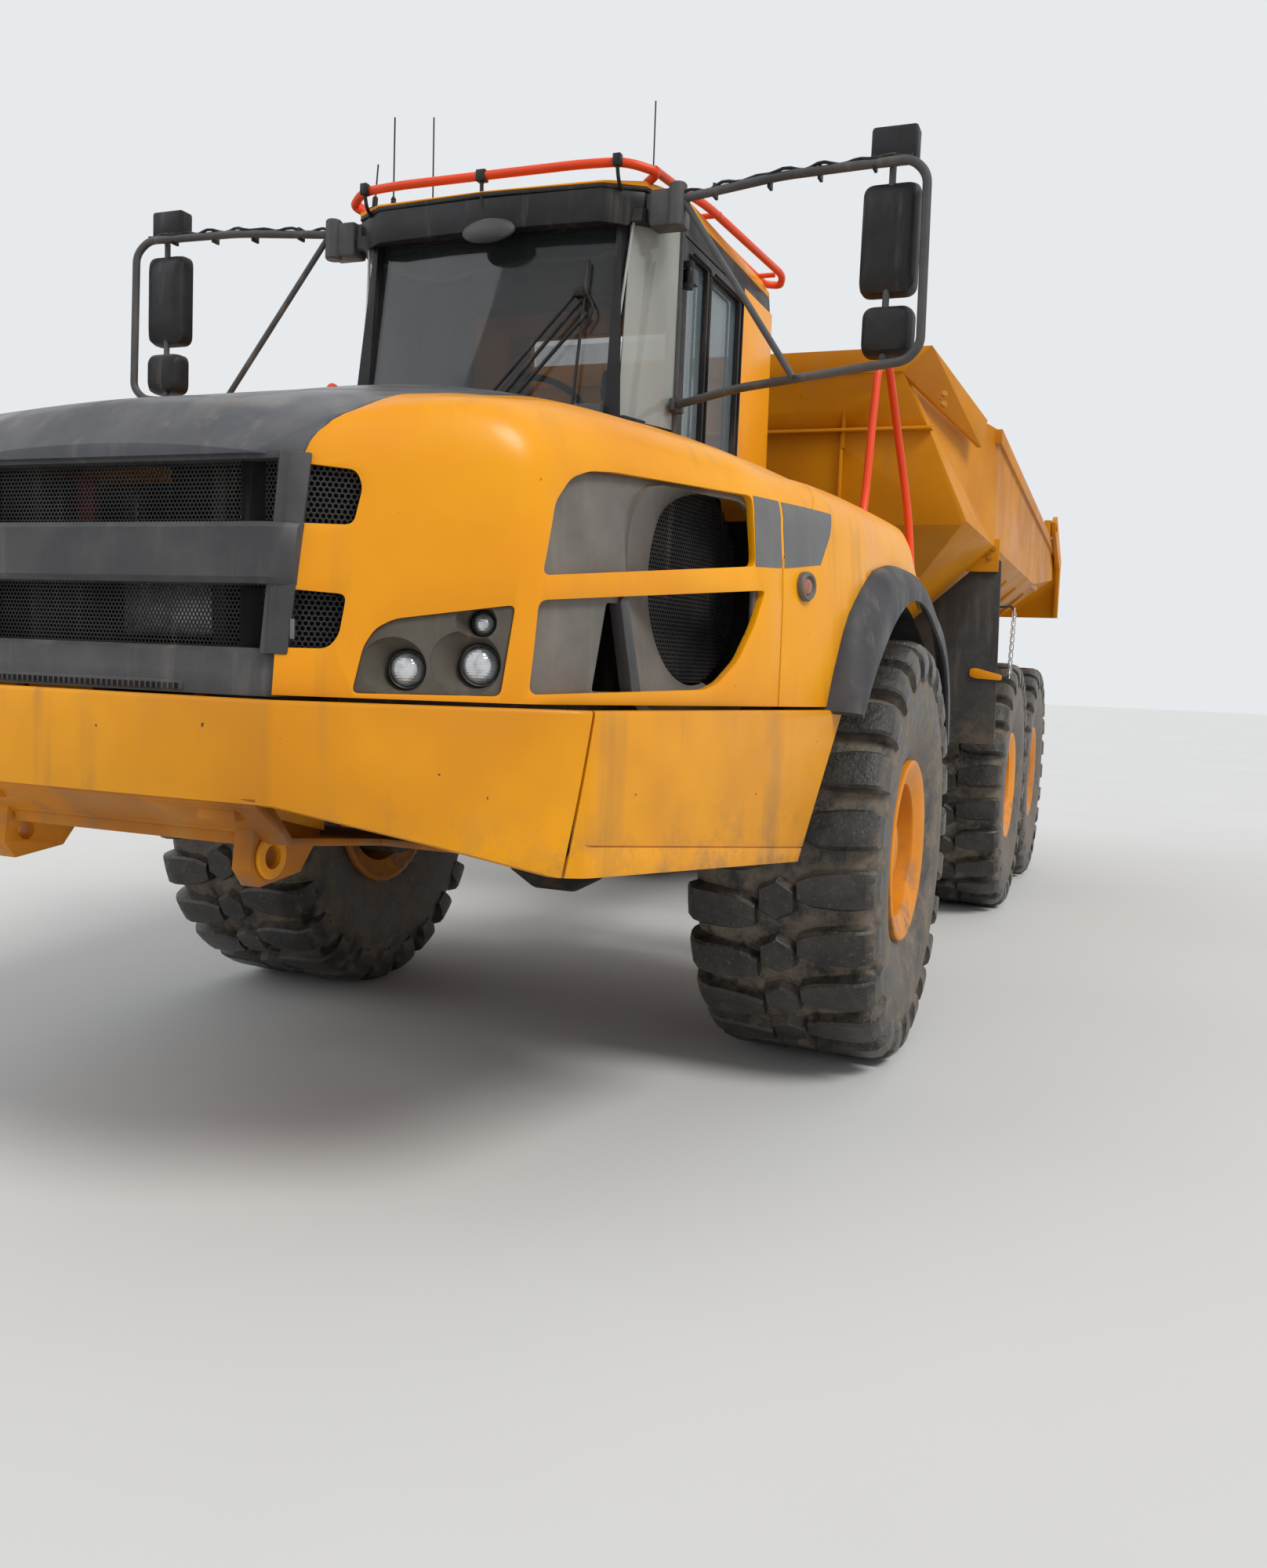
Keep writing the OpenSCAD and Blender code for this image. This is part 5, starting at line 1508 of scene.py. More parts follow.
@dataclass
class Grille:
    """The grille's frame, crossbar, lower bar and mesh, with what shows behind it and a sheet of painted
    shade.
    """

    body: str = "hood"
    openings: tuple = ((1.712, 1.868), (2.022, 2.182))
    mesh_x: float = NOSE_X - 0.108
    cell: float = 0.0125

    def half_at(self, z: float) -> float:
        """Half the openings' width at a height."""
        return 0.537 + (z - 1.712) * 0.1057

    def build(self, comb: Tree, row: Tree) -> None:
        """Makes the grille's pieces.

        Args:
            comb: The honeycomb tree.
            row: The row tree.
        """
        x = NOSE_X
        frame_shape = Shape()
        front_strip = [(self.half_at(1.69), 1.69), (0.574, 1.69), (0.604, 2.204),
                       (self.half_at(2.204), 2.204)]
        frame_shape.prism(front_strip, x - 0.15, x - 0.05, CROSS_PLANE, 0.003, 2)
        corner_strip = [(-0.012, 1.69), (0.042, 1.69), (0.094, 2.204), (0.012, 2.204)]
        frame_shape.prism(corner_strip, -0.08, 0.004, CORNER_FACE, 0.004, 2)
        frame_shape.mirrored()
        frame_shape.box((x - 0.13, -0.59, 2.184), (x - 0.053, 0.59, 2.206), 0.004)
        crossbar = [(x - 0.13, 1.866), (x - 0.034, 1.868), (x - 0.02, 1.884), (x - 0.022, 2.01),
                    (x - 0.034, 2.024), (x - 0.13, 2.026)]
        rings = []
        for y, back in ((-0.622, 0.05), (-0.6, 0.028), (-0.575, 0.008), (-0.54, 0.0), (0.54, 0.0),
                        (0.575, 0.008), (0.6, 0.028), (0.622, 0.05)):
            rings.append([(px - back, y + 0.008 * math.copysign(1, y) * (pz - 1.884) / 0.126, pz)
                          for px, pz in crossbar])
        frame_shape.loft(rings)
        lower = [(x - 0.13, 1.58), (x - 0.042, 1.58), (x - 0.04, 1.634), (x - 0.042, 1.64),
                 (x - 0.046, 1.692), (x - 0.06, 1.704), (x - 0.13, 1.704)]
        stations = ((-0.586, 0.032), (-0.52, 0.012), (-0.44, 0.0), (0.44, 0.0), (0.52, 0.012),
                    (0.586, 0.032))
        frame_shape.loft([[(px - back, y, pz) for px, pz in lower] for y, back in stations])
        frame_shape.box((x - 0.048, -0.44, 1.586), (x - 0.038, 0.3, 1.612), 0.003)
        frame_shape.put("grille_frame", self.body, Finish.GREY, ["grille"])
        latch = Shape().box((0.047, 1.73, -0.02), (0.059, 1.782, 0.008), 0.003, CORNER_FACE)
        latch.put_both("grille_latches", self.body, Finish.PLATE)
        # Small near black boxes on the lower bar are painted shade that stands for slots.
        slot_shape = Shape().box((x - 0.0395, -0.43, 1.588), (x - 0.0375, -0.418, 1.604), 0)
        slots = row.run(slot_shape.object("grille_slot_shades"), Finish.SHADOW, count=38, dy=0.019)
        keep(slots, self.body, Finish.SHADOW)
        plane = Matrix.Translation((self.mesh_x, 0, 0)) @ CROSS_PLANE
        points = []
        for low, high in self.openings:
            wide, wider = self.half_at(low), self.half_at(high)
            edge = [(-wide, low - 0.01), (wide, low - 0.01), (wider, high + 0.01), (-wider, high + 0.01)]
            points += comb_points(edge, plane, self.cell)
        mesh = comb.run(point_cloud("grille_mesh", points), Finish.MESH, cell=self.cell, open_share=0.76,
                        depth=0.004)
        keep(mesh, self.body, Finish.MESH)
        # A near black sheet behind the mesh is painted shade inside the hood.
        back = Shape().box((x - 0.5, -0.64, 1.6), (x - 0.49, 0.64, 2.2), 0.002)
        back.put("grille_shade_sheet", self.body, Finish.SHADOW)
        red = Shape()
        for y in (-0.3, 0.21):
            red.box((x - 0.33, y - 0.035, 2.02), (x - 0.3, y + 0.035, 2.19), 0.004)
        red.put("grille_red_straps", self.body, Finish.RED_PART)
        core = Shape().box((x - 0.33, -0.15, 1.735), (x - 0.3, 0.172, 1.88), 0.006)
        core.put("grille_cooler", self.body, Finish.CORE)
        posts = Shape()
        for y in (-0.42, 0.255, 0.45):
            posts.box((x - 0.29, y - 0.022, 1.62), (x - 0.23, y + 0.022, 2.195), 0.006)
        posts.put("grille_posts", self.body, Finish.GREY)


@dataclass
class HoodSides:
    """Grey panels behind the hood's side windows, the deep fans and the vents' mesh, with sheets of painted
    shade behind them.
    """

    hood: Hood
    body: str = "hood"
    fan_at: Point = (0.98, 1.98)
    fan_r: float = 0.33
    fan_turn: float = 8.0
    fan_deep: float = 0.165
    steps: int = 72
    mouth: tuple = ((0.52, 1.56), (0.425, 1.9), (0.42, 2.08), (0.455, 2.18), (0.54, 2.246), (1.128, 2.262),
                    (1.128, 1.56))
    wedge: tuple = ((0.278, 1.622), (0.334, 1.878), (0.393, 1.88), (0.463, 1.622))
    panel: tuple = ((0.0, 1.604), (0.02, 2.19), (0.2, 2.24), (1.15, 2.29), (1.2, 1.99), (1.215, 1.604))
    through: tuple = (-0.3, 0.1)
    shown: tuple = (23, 58)
    cell: float = 0.0155

    def fan_face(self) -> Matrix:
        """The side face's frame, turned about the fan's upright line."""
        centre = Matrix.Translation((*self.fan_at, -self.fan_deep))
        return SIDE_FACE @ centre @ Matrix.Rotation(math.radians(self.fan_turn), 4, "Y") @ centre.inverted()

    def circle(self, radius: float, deep: float) -> list[Vector]:
        """A circle about the fan's axis, in machine coordinates."""
        face = self.fan_face()
        return [face @ Vector((x, y, -deep)) for x, y in self.disc(radius, self.steps)]

    def disc(self, radius: float, count: int) -> list[tuple[float, float]]:
        """A circle about the fan's middle, in the side face's plane."""
        x, y = self.fan_at
        return [(x + radius * math.cos(a), y + radius * math.sin(a)) for a in full_turn(count)]

    def mouth_ring(self, deep: float, grow: float) -> list[Vector]:
        """The funnel's mouth seen from the fan's axis, one point for each point of the circle.

        Args:
            deep: Depth behind the side face.
            grow: How far the ring is moved outwards.

        Returns:
            The ring's points.
        """
        outline = rounded(self.mouth, 0.1, 6)
        cx, cy = self.fan_at
        made = []
        for a in full_turn(self.steps):
            far = Vector((cx + 3 * math.cos(a), cy + 3 * math.sin(a)))
            hit = None
            for p, q in zip(outline, [*outline[1:], outline[0]]):
                found = intersect_2d(Vector((cx, cy)), far, Vector(p), Vector(q))
                hit = found if found is not None else hit
            hit = hit or far
            out = (hit - Vector((cx, cy))).normalized() * grow
            made.append(SIDE_FACE @ Vector((hit.x + out.x, hit.y + out.y, -deep)))
        return made

    def build(self, comb: Tree) -> None:
        """Makes the panels, funnels, fans, vents and the sheets of painted shade behind them.

        Args:
            comb: The honeycomb tree.
        """
        skin = self.hood.skin
        sheet = skin.thick + 0.001
        panel = skin.shell("side_panel", self.hood.front, self.hood.rear, sheet, sheet + 0.014)
        carve(panel, self.hood.behind(self.hood.seam))
        carve(panel, Shape().prism(rounded(self.panel, 0.02), *self.through, SIDE_FACE).mirrored(),
              "INTERSECT")
        carve(panel, Shape().prism(rounded(self.mouth, 0.1, 6), *self.through, SIDE_FACE).mirrored())
        carve(panel, Shape().prism(rounded(self.wedge, 0.012), *self.through, SIDE_FACE).mirrored())
        keep(bevelled(panel, 0.003, 2, 35), self.body, Finish.GREY_PANEL, ["side_panels"])
        funnel = Shape()
        near, far = self.mouth_ring(0.03, -0.004), self.mouth_ring(0.06, 0.01)
        rim = self.circle(self.fan_r + 0.004, self.fan_deep)
        back = self.circle(self.fan_r + 0.034, self.fan_deep + 0.014)
        funnel.loft([[near[k], rim[k], back[k], far[k]] for k in range(*self.shown)])
        made = funnel.mirrored().object("fan_funnel")
        keep(smooth(made, 40), self.body, Finish.GREY_PANEL)
        disc = self.disc(self.fan_r, 48)
        front = self.fan_face() @ Matrix.Translation((0, 0, -self.fan_deep - 0.004))
        points = comb_points(disc, front, self.cell)
        for outline in self.hood.vents:
            clear = [(max(p[0], 0.03), p[1]) for p in outline]
            points += comb_points(clear, CORNER_FACE @ Matrix.Translation((0, 0, -0.036)), self.cell)
        both = points + [(MIRROR @ Vector(p), MIRROR @ Vector(f), Vector(a)) for p, f, a in points]
        mesh = comb.run(point_cloud("fan_mesh", both), Finish.MESH, cell=self.cell, open_share=0.72,
                        depth=0.004)
        keep(mesh, self.body, Finish.MESH)
        # Near black sheets behind the side windows, the fans, the vents and the wall beside them are
        # painted shade inside the hood.
        dark = Shape()
        dark.prism(rounded(((0.0, 1.6), (0.0, 2.27), (1.24, 2.3), (1.24, 1.6)), 0.02), -0.262, -0.25,
                   SIDE_FACE)
        dark.prism(disc, -self.fan_deep - 0.03, -self.fan_deep - 0.022, self.fan_face())
        dark.box((1.335, 1.62, -0.3), (1.345, 2.235, -0.05), 0, SIDE_FACE)
        for outline in self.hood.vents:
            dark.prism([(p[0] * 1.1 - 0.02, p[1]) for p in outline], -0.095, -0.085, CORNER_FACE)
        dark.put_both("fan_shade_sheets", self.body, Finish.SHADOW)
        rib = Shape()
        rib.prism(rounded(((0.46, 1.604), (0.384, 1.882), (0.394, 1.902), (0.42, 1.896), (0.508, 1.604)),
                          0.01), -0.06, -0.014, SIDE_FACE, 0.004)
        rib.prism(rounded(((0.225, 1.6), (0.232, 1.64), (0.3, 1.64), (0.31, 1.6)), 0.01), -0.18, -0.09,
                  SIDE_FACE, 0.004)
        rib.put_both("window_rib", self.body, Finish.GREY)
        cap = Shape().lathe(((0.0, 0.0), (0.032, 0.0), (0.036, 0.006), (0.036, 0.02), (0.028, 0.028),
                             (0.0, 0.03)),
                            SIDE_FACE @ Matrix.Translation((0.335, 1.64, -0.16)) @ TO_AXLE, 24)
        cap.put_both("filler_cap", self.body, Finish.AMBER)


def intersect_2d(a: Vector, b: Vector, c: Vector, d: Vector) -> Vector | None:
    """Where two flat segments cross, or None.

    Args:
        a: Start of the first segment.
        b: End of the first segment.
        c: Start of the second segment.
        d: End of the second segment.

    Returns:
        The crossing point, or None.
    """
    r, s = b - a, d - c
    cross = r.x * s.y - r.y * s.x
    if abs(cross) < 1e-12:
        return None
    t = ((c.x - a.x) * s.y - (c.y - a.y) * s.x) / cross
    u = ((c.x - a.x) * r.y - (c.y - a.y) * r.x) / cross
    return a + r * t if 0 <= t <= 1 and -1e-9 <= u <= 1 + 1e-9 else None


@dataclass
class Headlamps:
    """Lamp panels on the corner faces with scooped recesses and ribbed lenses."""

    hood: Hood
    body: str = "hood"
    lamps: tuple = ((0.349, 1.664, 0.046), (0.541, 1.682, 0.05), (0.548, 1.795, 0.029))
    scoop: tuple = ((0.002, 1.05, 1.95), (-0.016, 0.98, 1.86), (-0.03, 0.72, 1.66), (-0.055, 0.25, 1.3),
                    (-0.072, 0.0, 1.12), (-0.085, 0.0, 1.05))

    def build(self) -> None:
        """Makes the panels, bezels and lenses."""
        panel = Shape().prism(rounded(self.hood.lamp, 0.018, 4), -0.1, -0.012, CORNER_FACE, 0.002)
        panel = panel.mirrored().object("lamp_panel")
        bezels, glasses = Shape(), Shape()
        for s, z, r in self.lamps:
            rings = []
            for deep, shift, size in self.scoop:
                rings.append([(s - shift * r * 0.85 + size * r * math.cos(a),
                               z + 0.1 * r * shift + size * r * 0.92 * math.sin(a),
                               deep) for a in full_turn(40)])
            carve(panel, Shape().loft(rings, place=CORNER_FACE).mirrored())
            at = CORNER_FACE @ Matrix.Translation((s, z, -0.072))
            bezel = ((r * 1.02, 0.0), (r * 1.16, 0.0), (r * 1.16, 0.022), (r * 1.1, 0.028),
                     (r * 1.02, 0.026))
            bezels.lathe(bezel, at, 40, closed=True)
            dome = [(0.0, 0.034)] + [(r * math.sin(a), 0.01 + 0.024 * math.cos(a))
                                     for a in (0.3, 0.6, 0.9, 1.2, 1.45)]
            glasses.lathe([*dome, (r * 1.03, 0.01), (r * 1.03, 0.0), (0.0, 0.0)], at, 40)
        keep(smooth(panel, 30), self.body, Finish.LAMP_PANEL, ["headlamps"])
        bezels.put_both("lamp_bezels", self.body, Finish.BLACK)
        glasses.put_both("lamp_glasses", self.body, Finish.LENS)


@dataclass
class Bumper:
    """The folded bumper with its end pieces, under plate, carriers and tow eyes."""

    body: str = "front"
    sheet: float = 0.02
    plan: tuple = ((NOSE_X, 0.0), (NOSE_X - 0.015, 0.6), (2.6, 1.27), (0.988, 1.6))

    def outline(self, inset: float) -> list[tuple[float, float]]:
        """The bumper's outer line in plan, from the left rear end round the nose to the right rear end.

        Args:
            inset: How far the line is moved inwards.

        Returns:
            The line's points.
        """
        pts = [Vector(p) for p in self.plan]
        moved = [Vector((pts[0].x - inset, 0.0)), Vector((pts[1].x - inset, pts[1].y - inset * 0.35)),
                 Vector((pts[2].x - inset * 0.7, pts[2].y - inset * 0.85)),
                 Vector((pts[3].x, pts[3].y - inset))]
        left = bent_path([(p.x, p.y, 0.0) for p in moved[1:]], 0.05)
        nose = bent_path([(moved[0].x, 0.0, 0.0), (moved[1].x, moved[1].y, 0.0), tuple(left[1])], 0.012)
        half = [(p.x, p.y) for p in nose[:-1]] + [(p.x, p.y) for p in left[1:]]
        return [(x, y) for x, y in reversed(half)] + [(x, -y) for x, y in half[1:]]

    def build(self, bolts: Bolts) -> None:
        """Makes the bumper's plates.

        Args:
            bolts: The front body's bolts.
        """
        rings = []
        for z, inset in ((1.0, 0.0), (1.56, 0.0), (1.57, 0.003), (1.573, 0.008)):
            outer, inner = self.outline(inset), self.outline(inset + self.sheet)
            rings.append([(x, y, z) for x, y in outer] + [(x, y, z) for x, y in reversed(inner)])
        made = Shape().loft(rings).object("bumper_plates")
        edge = [(NOSE_X + 0.05, 1.306), (NOSE_X + 0.05, 1.6), (0.99, 1.6), (0.99, 1.573), (1.3, 1.03),
                (2.64, 1.118), (2.83, 1.201), (NOSE_X - 0.02, 1.302)]
        carve(made, Shape().prism(edge, *ACROSS), "INTERSECT")
        face = on_face(self.plan[2], self.plan[3])
        out, along = Vector((0.54, 0.84, 0)), Vector((0.84, -0.54, 0)) * 0.0045
        ends = []
        for p in (Vector((2.565, 1.277, 1.62)), Vector((2.638, 1.215, 1.06))):
            ends.append([p - out * 0.08 - along, p + out * 0.08 - along, p + out * 0.08 + along,
                         p - out * 0.08 + along])
        carve(made, Shape().loft(ends).mirrored())
        groove = Shape().prism(((-0.02, 1.204), (-0.02, 1.2095), (1.62, 1.0565), (1.62, 1.051)), -0.006,
                               0.05, face)
        carve(made, groove.mirrored())
        keep(bevelled(made, 0.0035, 2, 38), self.body, Finish.BUMPER, ["bumper"])
        under = [(NOSE_X - 0.012, 1.316), (NOSE_X - 0.018, 1.292), (NOSE_X - 0.12, 1.216),
                 (NOSE_X - 0.14, 1.23), (NOSE_X - 0.04, 1.316)]
        guard = Shape().prism(under, -0.56, 0.56, SIDE_PLANE, 0.003, 2)
        guard.prism([(2.962, 1.172), (2.966, 1.206), (2.938, 1.212), (2.93, 1.176)], -0.4, 0.4, SIDE_PLANE,
                    0.004, 2)
        guard.put("bumper_under_plate", self.body, Finish.BUMPER_DARK)
        # A near black block behind the cut seam is painted shade in the gap.
        gap = Shape().loft([[(2.62, 1.235, z), (2.57, 1.25, z), (2.54, 1.18, z), (2.6, 1.16, z)]
                            for z in (1.14, 1.55)])
        gap.put_both("bumper_seam_shade", self.body, Finish.SHADOW)
        carrier = cad_copy("bumper", "bumper_carriers")
        inner = [(1.9, -1.15), (2.5, -1.15), (2.5, -0.56), (NOSE_X - 0.024, -0.56)]
        inner += [(x, -y) for x, y in reversed(inner)]
        carve(carrier, Shape().prism(inner, 1.0, 1.64, HERE), "INTERSECT")
        carve(carrier, Shape().box((NOSE_X - 0.08, -0.7, 1.36), (NOSE_X + 0.05, 0.7, 1.7), 0))
        keep(bevelled(carrier, 0.004, 2, 35), self.body, Finish.BUMPER_DARK)
        brace = Shape()
        brace.prism([(NOSE_X - 0.118, 1.262), (NOSE_X - 0.105, 1.3), (NOSE_X - 0.42, 1.3),
                     (NOSE_X - 0.42, 1.19)], 0.472, 0.486, SIDE_PLANE, 0.003)
        brace.lathe(((0.034, 0.0), (0.058, 0.0), (0.062, 0.004), (0.062, 0.01), (0.058, 0.014),
                     (0.034, 0.014)),
                    Matrix.Translation((NOSE_X - 0.19, 0.47, 1.14)) @ TO_AXLE, 32, closed=True)
        brace.put_both("tow_eye_rings", self.body, Finish.BUMPER)
        for x, z in ((NOSE_X - 0.335, 1.245), (NOSE_X - 0.395, 1.245)):
            bolts.both((x, 0.4705, z), (0, 1, 0))


@dataclass
class Fenders:
    """The fenders beside the cab, their rubber flares, plates and turn lamps."""

    skin: Skin
    body: str = "front"
    arch: tuple = ((30.2, 0.322), (39.9, 0.366), (49.5, 0.411), (60.1, 0.407), (70.0, 0.361), (90.0, 0.306),
                   (113.6, 0.31), (131.4, 0.425), (145.8, 0.49), (159.9, 0.405))
    lip: tuple = ((30.2, 0.3), (40.0, 0.262), (52.9, 0.223), (73.6, 0.206), (90.7, 0.206), (113.9, 0.23),
                  (145.2, 0.371), (159.9, 0.33))

    def turns(self, steps: int) -> list[float]:
        """Angles in even steps from the arch's front end to its rear end."""
        first, last = self.arch[0][0], self.arch[-1][0]
        return [first + (last - first) * k / steps for k in range(steps + 1)]

    def line(self) -> list[Point]:
        """The arch's line seen from the side.

        Returns:
            The line's points, forward and up.
        """
        made = []
        for a in self.turns(36):
            r = TYRE_R + eased(self.arch, a, 1)
            made.append((r * math.cos(math.radians(a)), AXLE_Z + r * math.sin(math.radians(a))))
        return made

    def flare_ring(self, degrees: float) -> list[Point]:
        """The flare's section at one angle of the arch: outwards from the fender and over to the lip.

        Args:
            degrees: The angle round the axle.

        Returns:
            The section's points.
        """
        a = math.radians(degrees)
        high, low = (TYRE_R + eased(rows, degrees, 1) for rows in (self.arch, self.lip))
        root = self.skin.half_width(max(high * math.cos(a), -0.6)) - 0.024
        outer, inner = [], []
        for k in range(9):
            t = math.radians(90 * k / 8)
            outer.append((root + (1.694 - root) * math.sin(t), low + (high - low) * math.cos(t)))
            inner.append((root + (1.672 - root) * math.sin(t),
                          low - 0.018 + (high - low - 0.006) * math.cos(t)))
        section = [*outer, (1.692, low - 0.034), (1.68, low - 0.036), *reversed(inner)]
        return [(r * math.cos(a), y, AXLE_Z + r * math.sin(a)) for y, r in section]

    def build(self) -> None:
        """Makes the fender skins, flares, liners, plates and lamps."""
        made = self.skin.shell("fender_skin", 1.7, -0.62, 0.0, self.skin.thick)
        carve(made, Shape().box((-2.0, -0.77, 1.3), (1.056, 0.77, 3.0), 0))
        edge = [(1.44, 1.3), (1.44, 2.09), (1.06, 2.4), (1.06, 3.2), (3.0, 3.2), (3.0, 1.3)]
        carve(made, Shape().prism(edge, *ACROSS))
        below = Shape().prism([*self.line(), (-1.6, 1.3), (-1.6, 1.0), (1.5, 1.0)], *ACROSS)
        carve(made, below)
        keep(bevelled(made, 0.0035, 2, 35), self.body, Finish.AMBER, ["fenders"])
        posts = Shape()
        for x, top in ((0.62, 2.34), (-0.5, 2.205)):
            posts.box((x, 0.79, 2.012), (x + 0.11, 0.89, top), 0.006)
        posts.put_both("fender_posts", self.body, Finish.CHASSIS)
        turns = self.turns(48)
        flare = Shape().loft([self.flare_ring(a) for a in turns]).mirrored().object("arch_flare", 40)
        keep(flare, self.body, Finish.FLARE, ["arch_flares"])
        # The liner under the arch wears the near black of painted shade.
        rings = []
        for turn in turns[2:]:
            a, r = math.radians(turn), TYRE_R + eased(self.lip, turn, 1) - 0.03
            c, s = math.cos(a), math.sin(a)
            corners = ((0.9, r), (1.6, r), (1.6, r - 0.014), (0.9, r - 0.014))
            rings.append([(q * c, y, AXLE_Z + q * s) for y, q in corners])
        Shape().loft(rings).put_both("arch_liner_shade", self.body, Finish.SHADOW)
        self.plates()
        self.turn_lamps()

    def plates(self) -> None:
        """Makes the blank grey plates behind the upper window."""
        for name, body, first, last, outline in (
            ("hood_plate", "hood", 3.0, 1.2, ((1.099, 2.05), (1.099, 2.284), (1.271, 2.288),
                                              (1.271, 2.06))),
            ("fender_plate", "front", 1.6, 0.8, ((1.289, 2.061), (1.289, 2.288), (1.69, 2.296), (1.64, 2.2),
                                                 (1.55, 2.096))),
        ):
            plate = self.skin.shell(name, first, last, -0.0015, 0.012)
            carve(plate, Shape().prism(rounded(outline, 0.006, 3), -0.2, 0.1, SIDE_FACE).mirrored(),
                  "INTERSECT")
            keep(smooth(plate, 35), body, Finish.PLATE)

    def turn_lamps(self) -> None:
        """Makes the round lamps behind the hood."""
        at = SIDE_FACE @ Matrix.Translation((1.424, 2.009, 0.0))
        bezel = ((0.03, -0.01), (0.052, -0.01), (0.052, 0.012), (0.047, 0.019), (0.038, 0.019),
                 (0.033, 0.012), (0.03, 0.008))
        Shape().lathe(bezel, at, 40, closed=True).put_both("turn_lamp_bezels", self.body, Finish.GREY_PANEL)
        dome = ((0.0, 0.02), (0.012, 0.019), (0.022, 0.016), (0.03, 0.011), (0.034, 0.006), (0.034, -0.008),
                (0.0, -0.008))
        Shape().lathe(dome, at, 40).put_both("turn_lamp_glasses", self.body, Finish.AMBER_LENS)


@dataclass
class Tyre:
    """A hauler tyre: carcass, staggered shoulder lugs and hexagonal blocks between them."""

    lugs: int = 24
    crown_y: float = 0.3
    shoulder_r: float = 0.868
    wall_y: float = 0.355
    profile: tuple = (
        (0.277, 0.3185), (0.3, 0.345), (0.318, 0.385), (0.338, 0.44), (0.362, 0.52), (0.38, 0.6),
        (0.386, 0.67), (0.383, 0.74), (0.37, 0.8), (0.345, 0.845), (0.31, 0.868), (0.24, 0.882),
        (0.12, 0.888), (0.0, 0.89),
    )
    lug: tuple = (
        (0.085, 0.937, 0.085, 0.87, 3.4, 0.6), (0.15, 0.9375, 0.15, 0.868, 4.9, 0.4),
        (0.24, 0.9375, 0.24, 0.862, 5.5, 0.0), (0.31, 0.934, 0.305, 0.85, 5.5, -0.3),
        (0.352, 0.92, 0.335, 0.835, 5.4, -0.5), (0.38, 0.89, 0.345, 0.815, 5.1, -0.6),
        (0.392, 0.845, 0.35, 0.79, 4.6, -0.6), (0.3925, 0.8, 0.352, 0.765, 4.0, -0.6),
        (0.386, 0.772, 0.35, 0.75, 3.4, -0.6),
    )

    def turned(self, y: float, r: float, degrees: float) -> Point:
        """A point of the tread from its angle round the axle."""
        a = math.radians(degrees)
        return (r * math.sin(a), y, r * math.cos(a))

    def lug_shape(self, ring: Tree) -> Piece:
        """One side's lugs, set round the tyre.

        Args:
            ring: The ring tree.

        Returns:
            The lugs as one object.
        """
        rings = []
        for y, r, yb, rb, half, skew in self.lug:
            slim = half - 1.0
            rings.append([self.turned(yb, rb, skew - half), self.turned(yb, rb, skew + half),
                          self.turned(y, r - 0.012, skew + slim + 0.35),
                          self.turned(y, r, skew + slim - 0.3), self.turned(y, r + 0.0012, skew),
                          self.turned(y, r, skew - slim + 0.3),
                          self.turned(y, r - 0.012, skew - slim - 0.35)])
        made = Shape().loft(rings).object("lugs")
        return ring.run(made, Finish.TYRE, count=self.lugs)

    def block_shape(self, ring: Tree) -> Piece:
        """The hexagonal blocks along the tread's middle.

        Args:
            ring: The ring tree.

        Returns:
            The blocks as one object.
        """
        corners = ((-5.9, 0.0), (-3.0, 0.082), (3.0, 0.082), (5.9, 0.0), (3.0, -0.082), (-3.0, -0.082))
        rings = []
        for r, share in ((0.872, 1.0), (0.925, 0.9), (0.9368, 0.8)):
            rings.append([self.turned(y * share, r, a * share) for a, y in corners])
        made = Shape().loft(rings).object("blocks")
        return ring.run(made, Finish.TYRE, count=self.lugs)

    def mesh(self, ring: Tree) -> bpy.types.Mesh:
        """The whole tyre about its own middle, axle along Y, with its 'raised' attribute.

        Args:
            ring: The ring tree.

        Returns:
            The mesh.
        """
        shape = Shape()
        outline = [(r, y) for y, r in self.profile] + [(r, -y) for y, r in reversed(self.profile[:-1])]
        shape.lathe([*outline, (0.3185, -0.2), (0.3185, 0.2)], TO_AXLE, 96, closed=True)
        pitch = Matrix.Rotation(math.pi / self.lugs, 4, "Y")
        absorb(shape, self.lug_shape(ring))
        absorb(shape, self.block_shape(ring), Matrix.Rotation(math.pi / self.lugs / 2, 4, "Y"))
        other = self.lug_shape(ring)
        other.data.flip_normals()
        absorb(shape, other, pitch @ MIRROR)
        made = shape.object("tyre", 28)
        raised = made.data.attributes.new("raised", "FLOAT", "POINT")
        pts = sorted((abs(y), r) for y, r in self.profile)
        values = []
        for v in made.data.vertices:
            r, y = math.hypot(v.co.x, v.co.z), abs(v.co.y)
            surface = eased(pts, y, 1) if y < self.crown_y else self.shoulder_r
            side = (y - self.wall_y) / 0.03 if r < 0.88 else 0.0
            values.append(min(1.0, max(0.0, (r - surface - 0.01) / 0.035,
                                       side if r > 0.765 and y > 0.3868 else 0.0)))
        raised.data.foreach_set("value", values)
        return only_mesh(made)


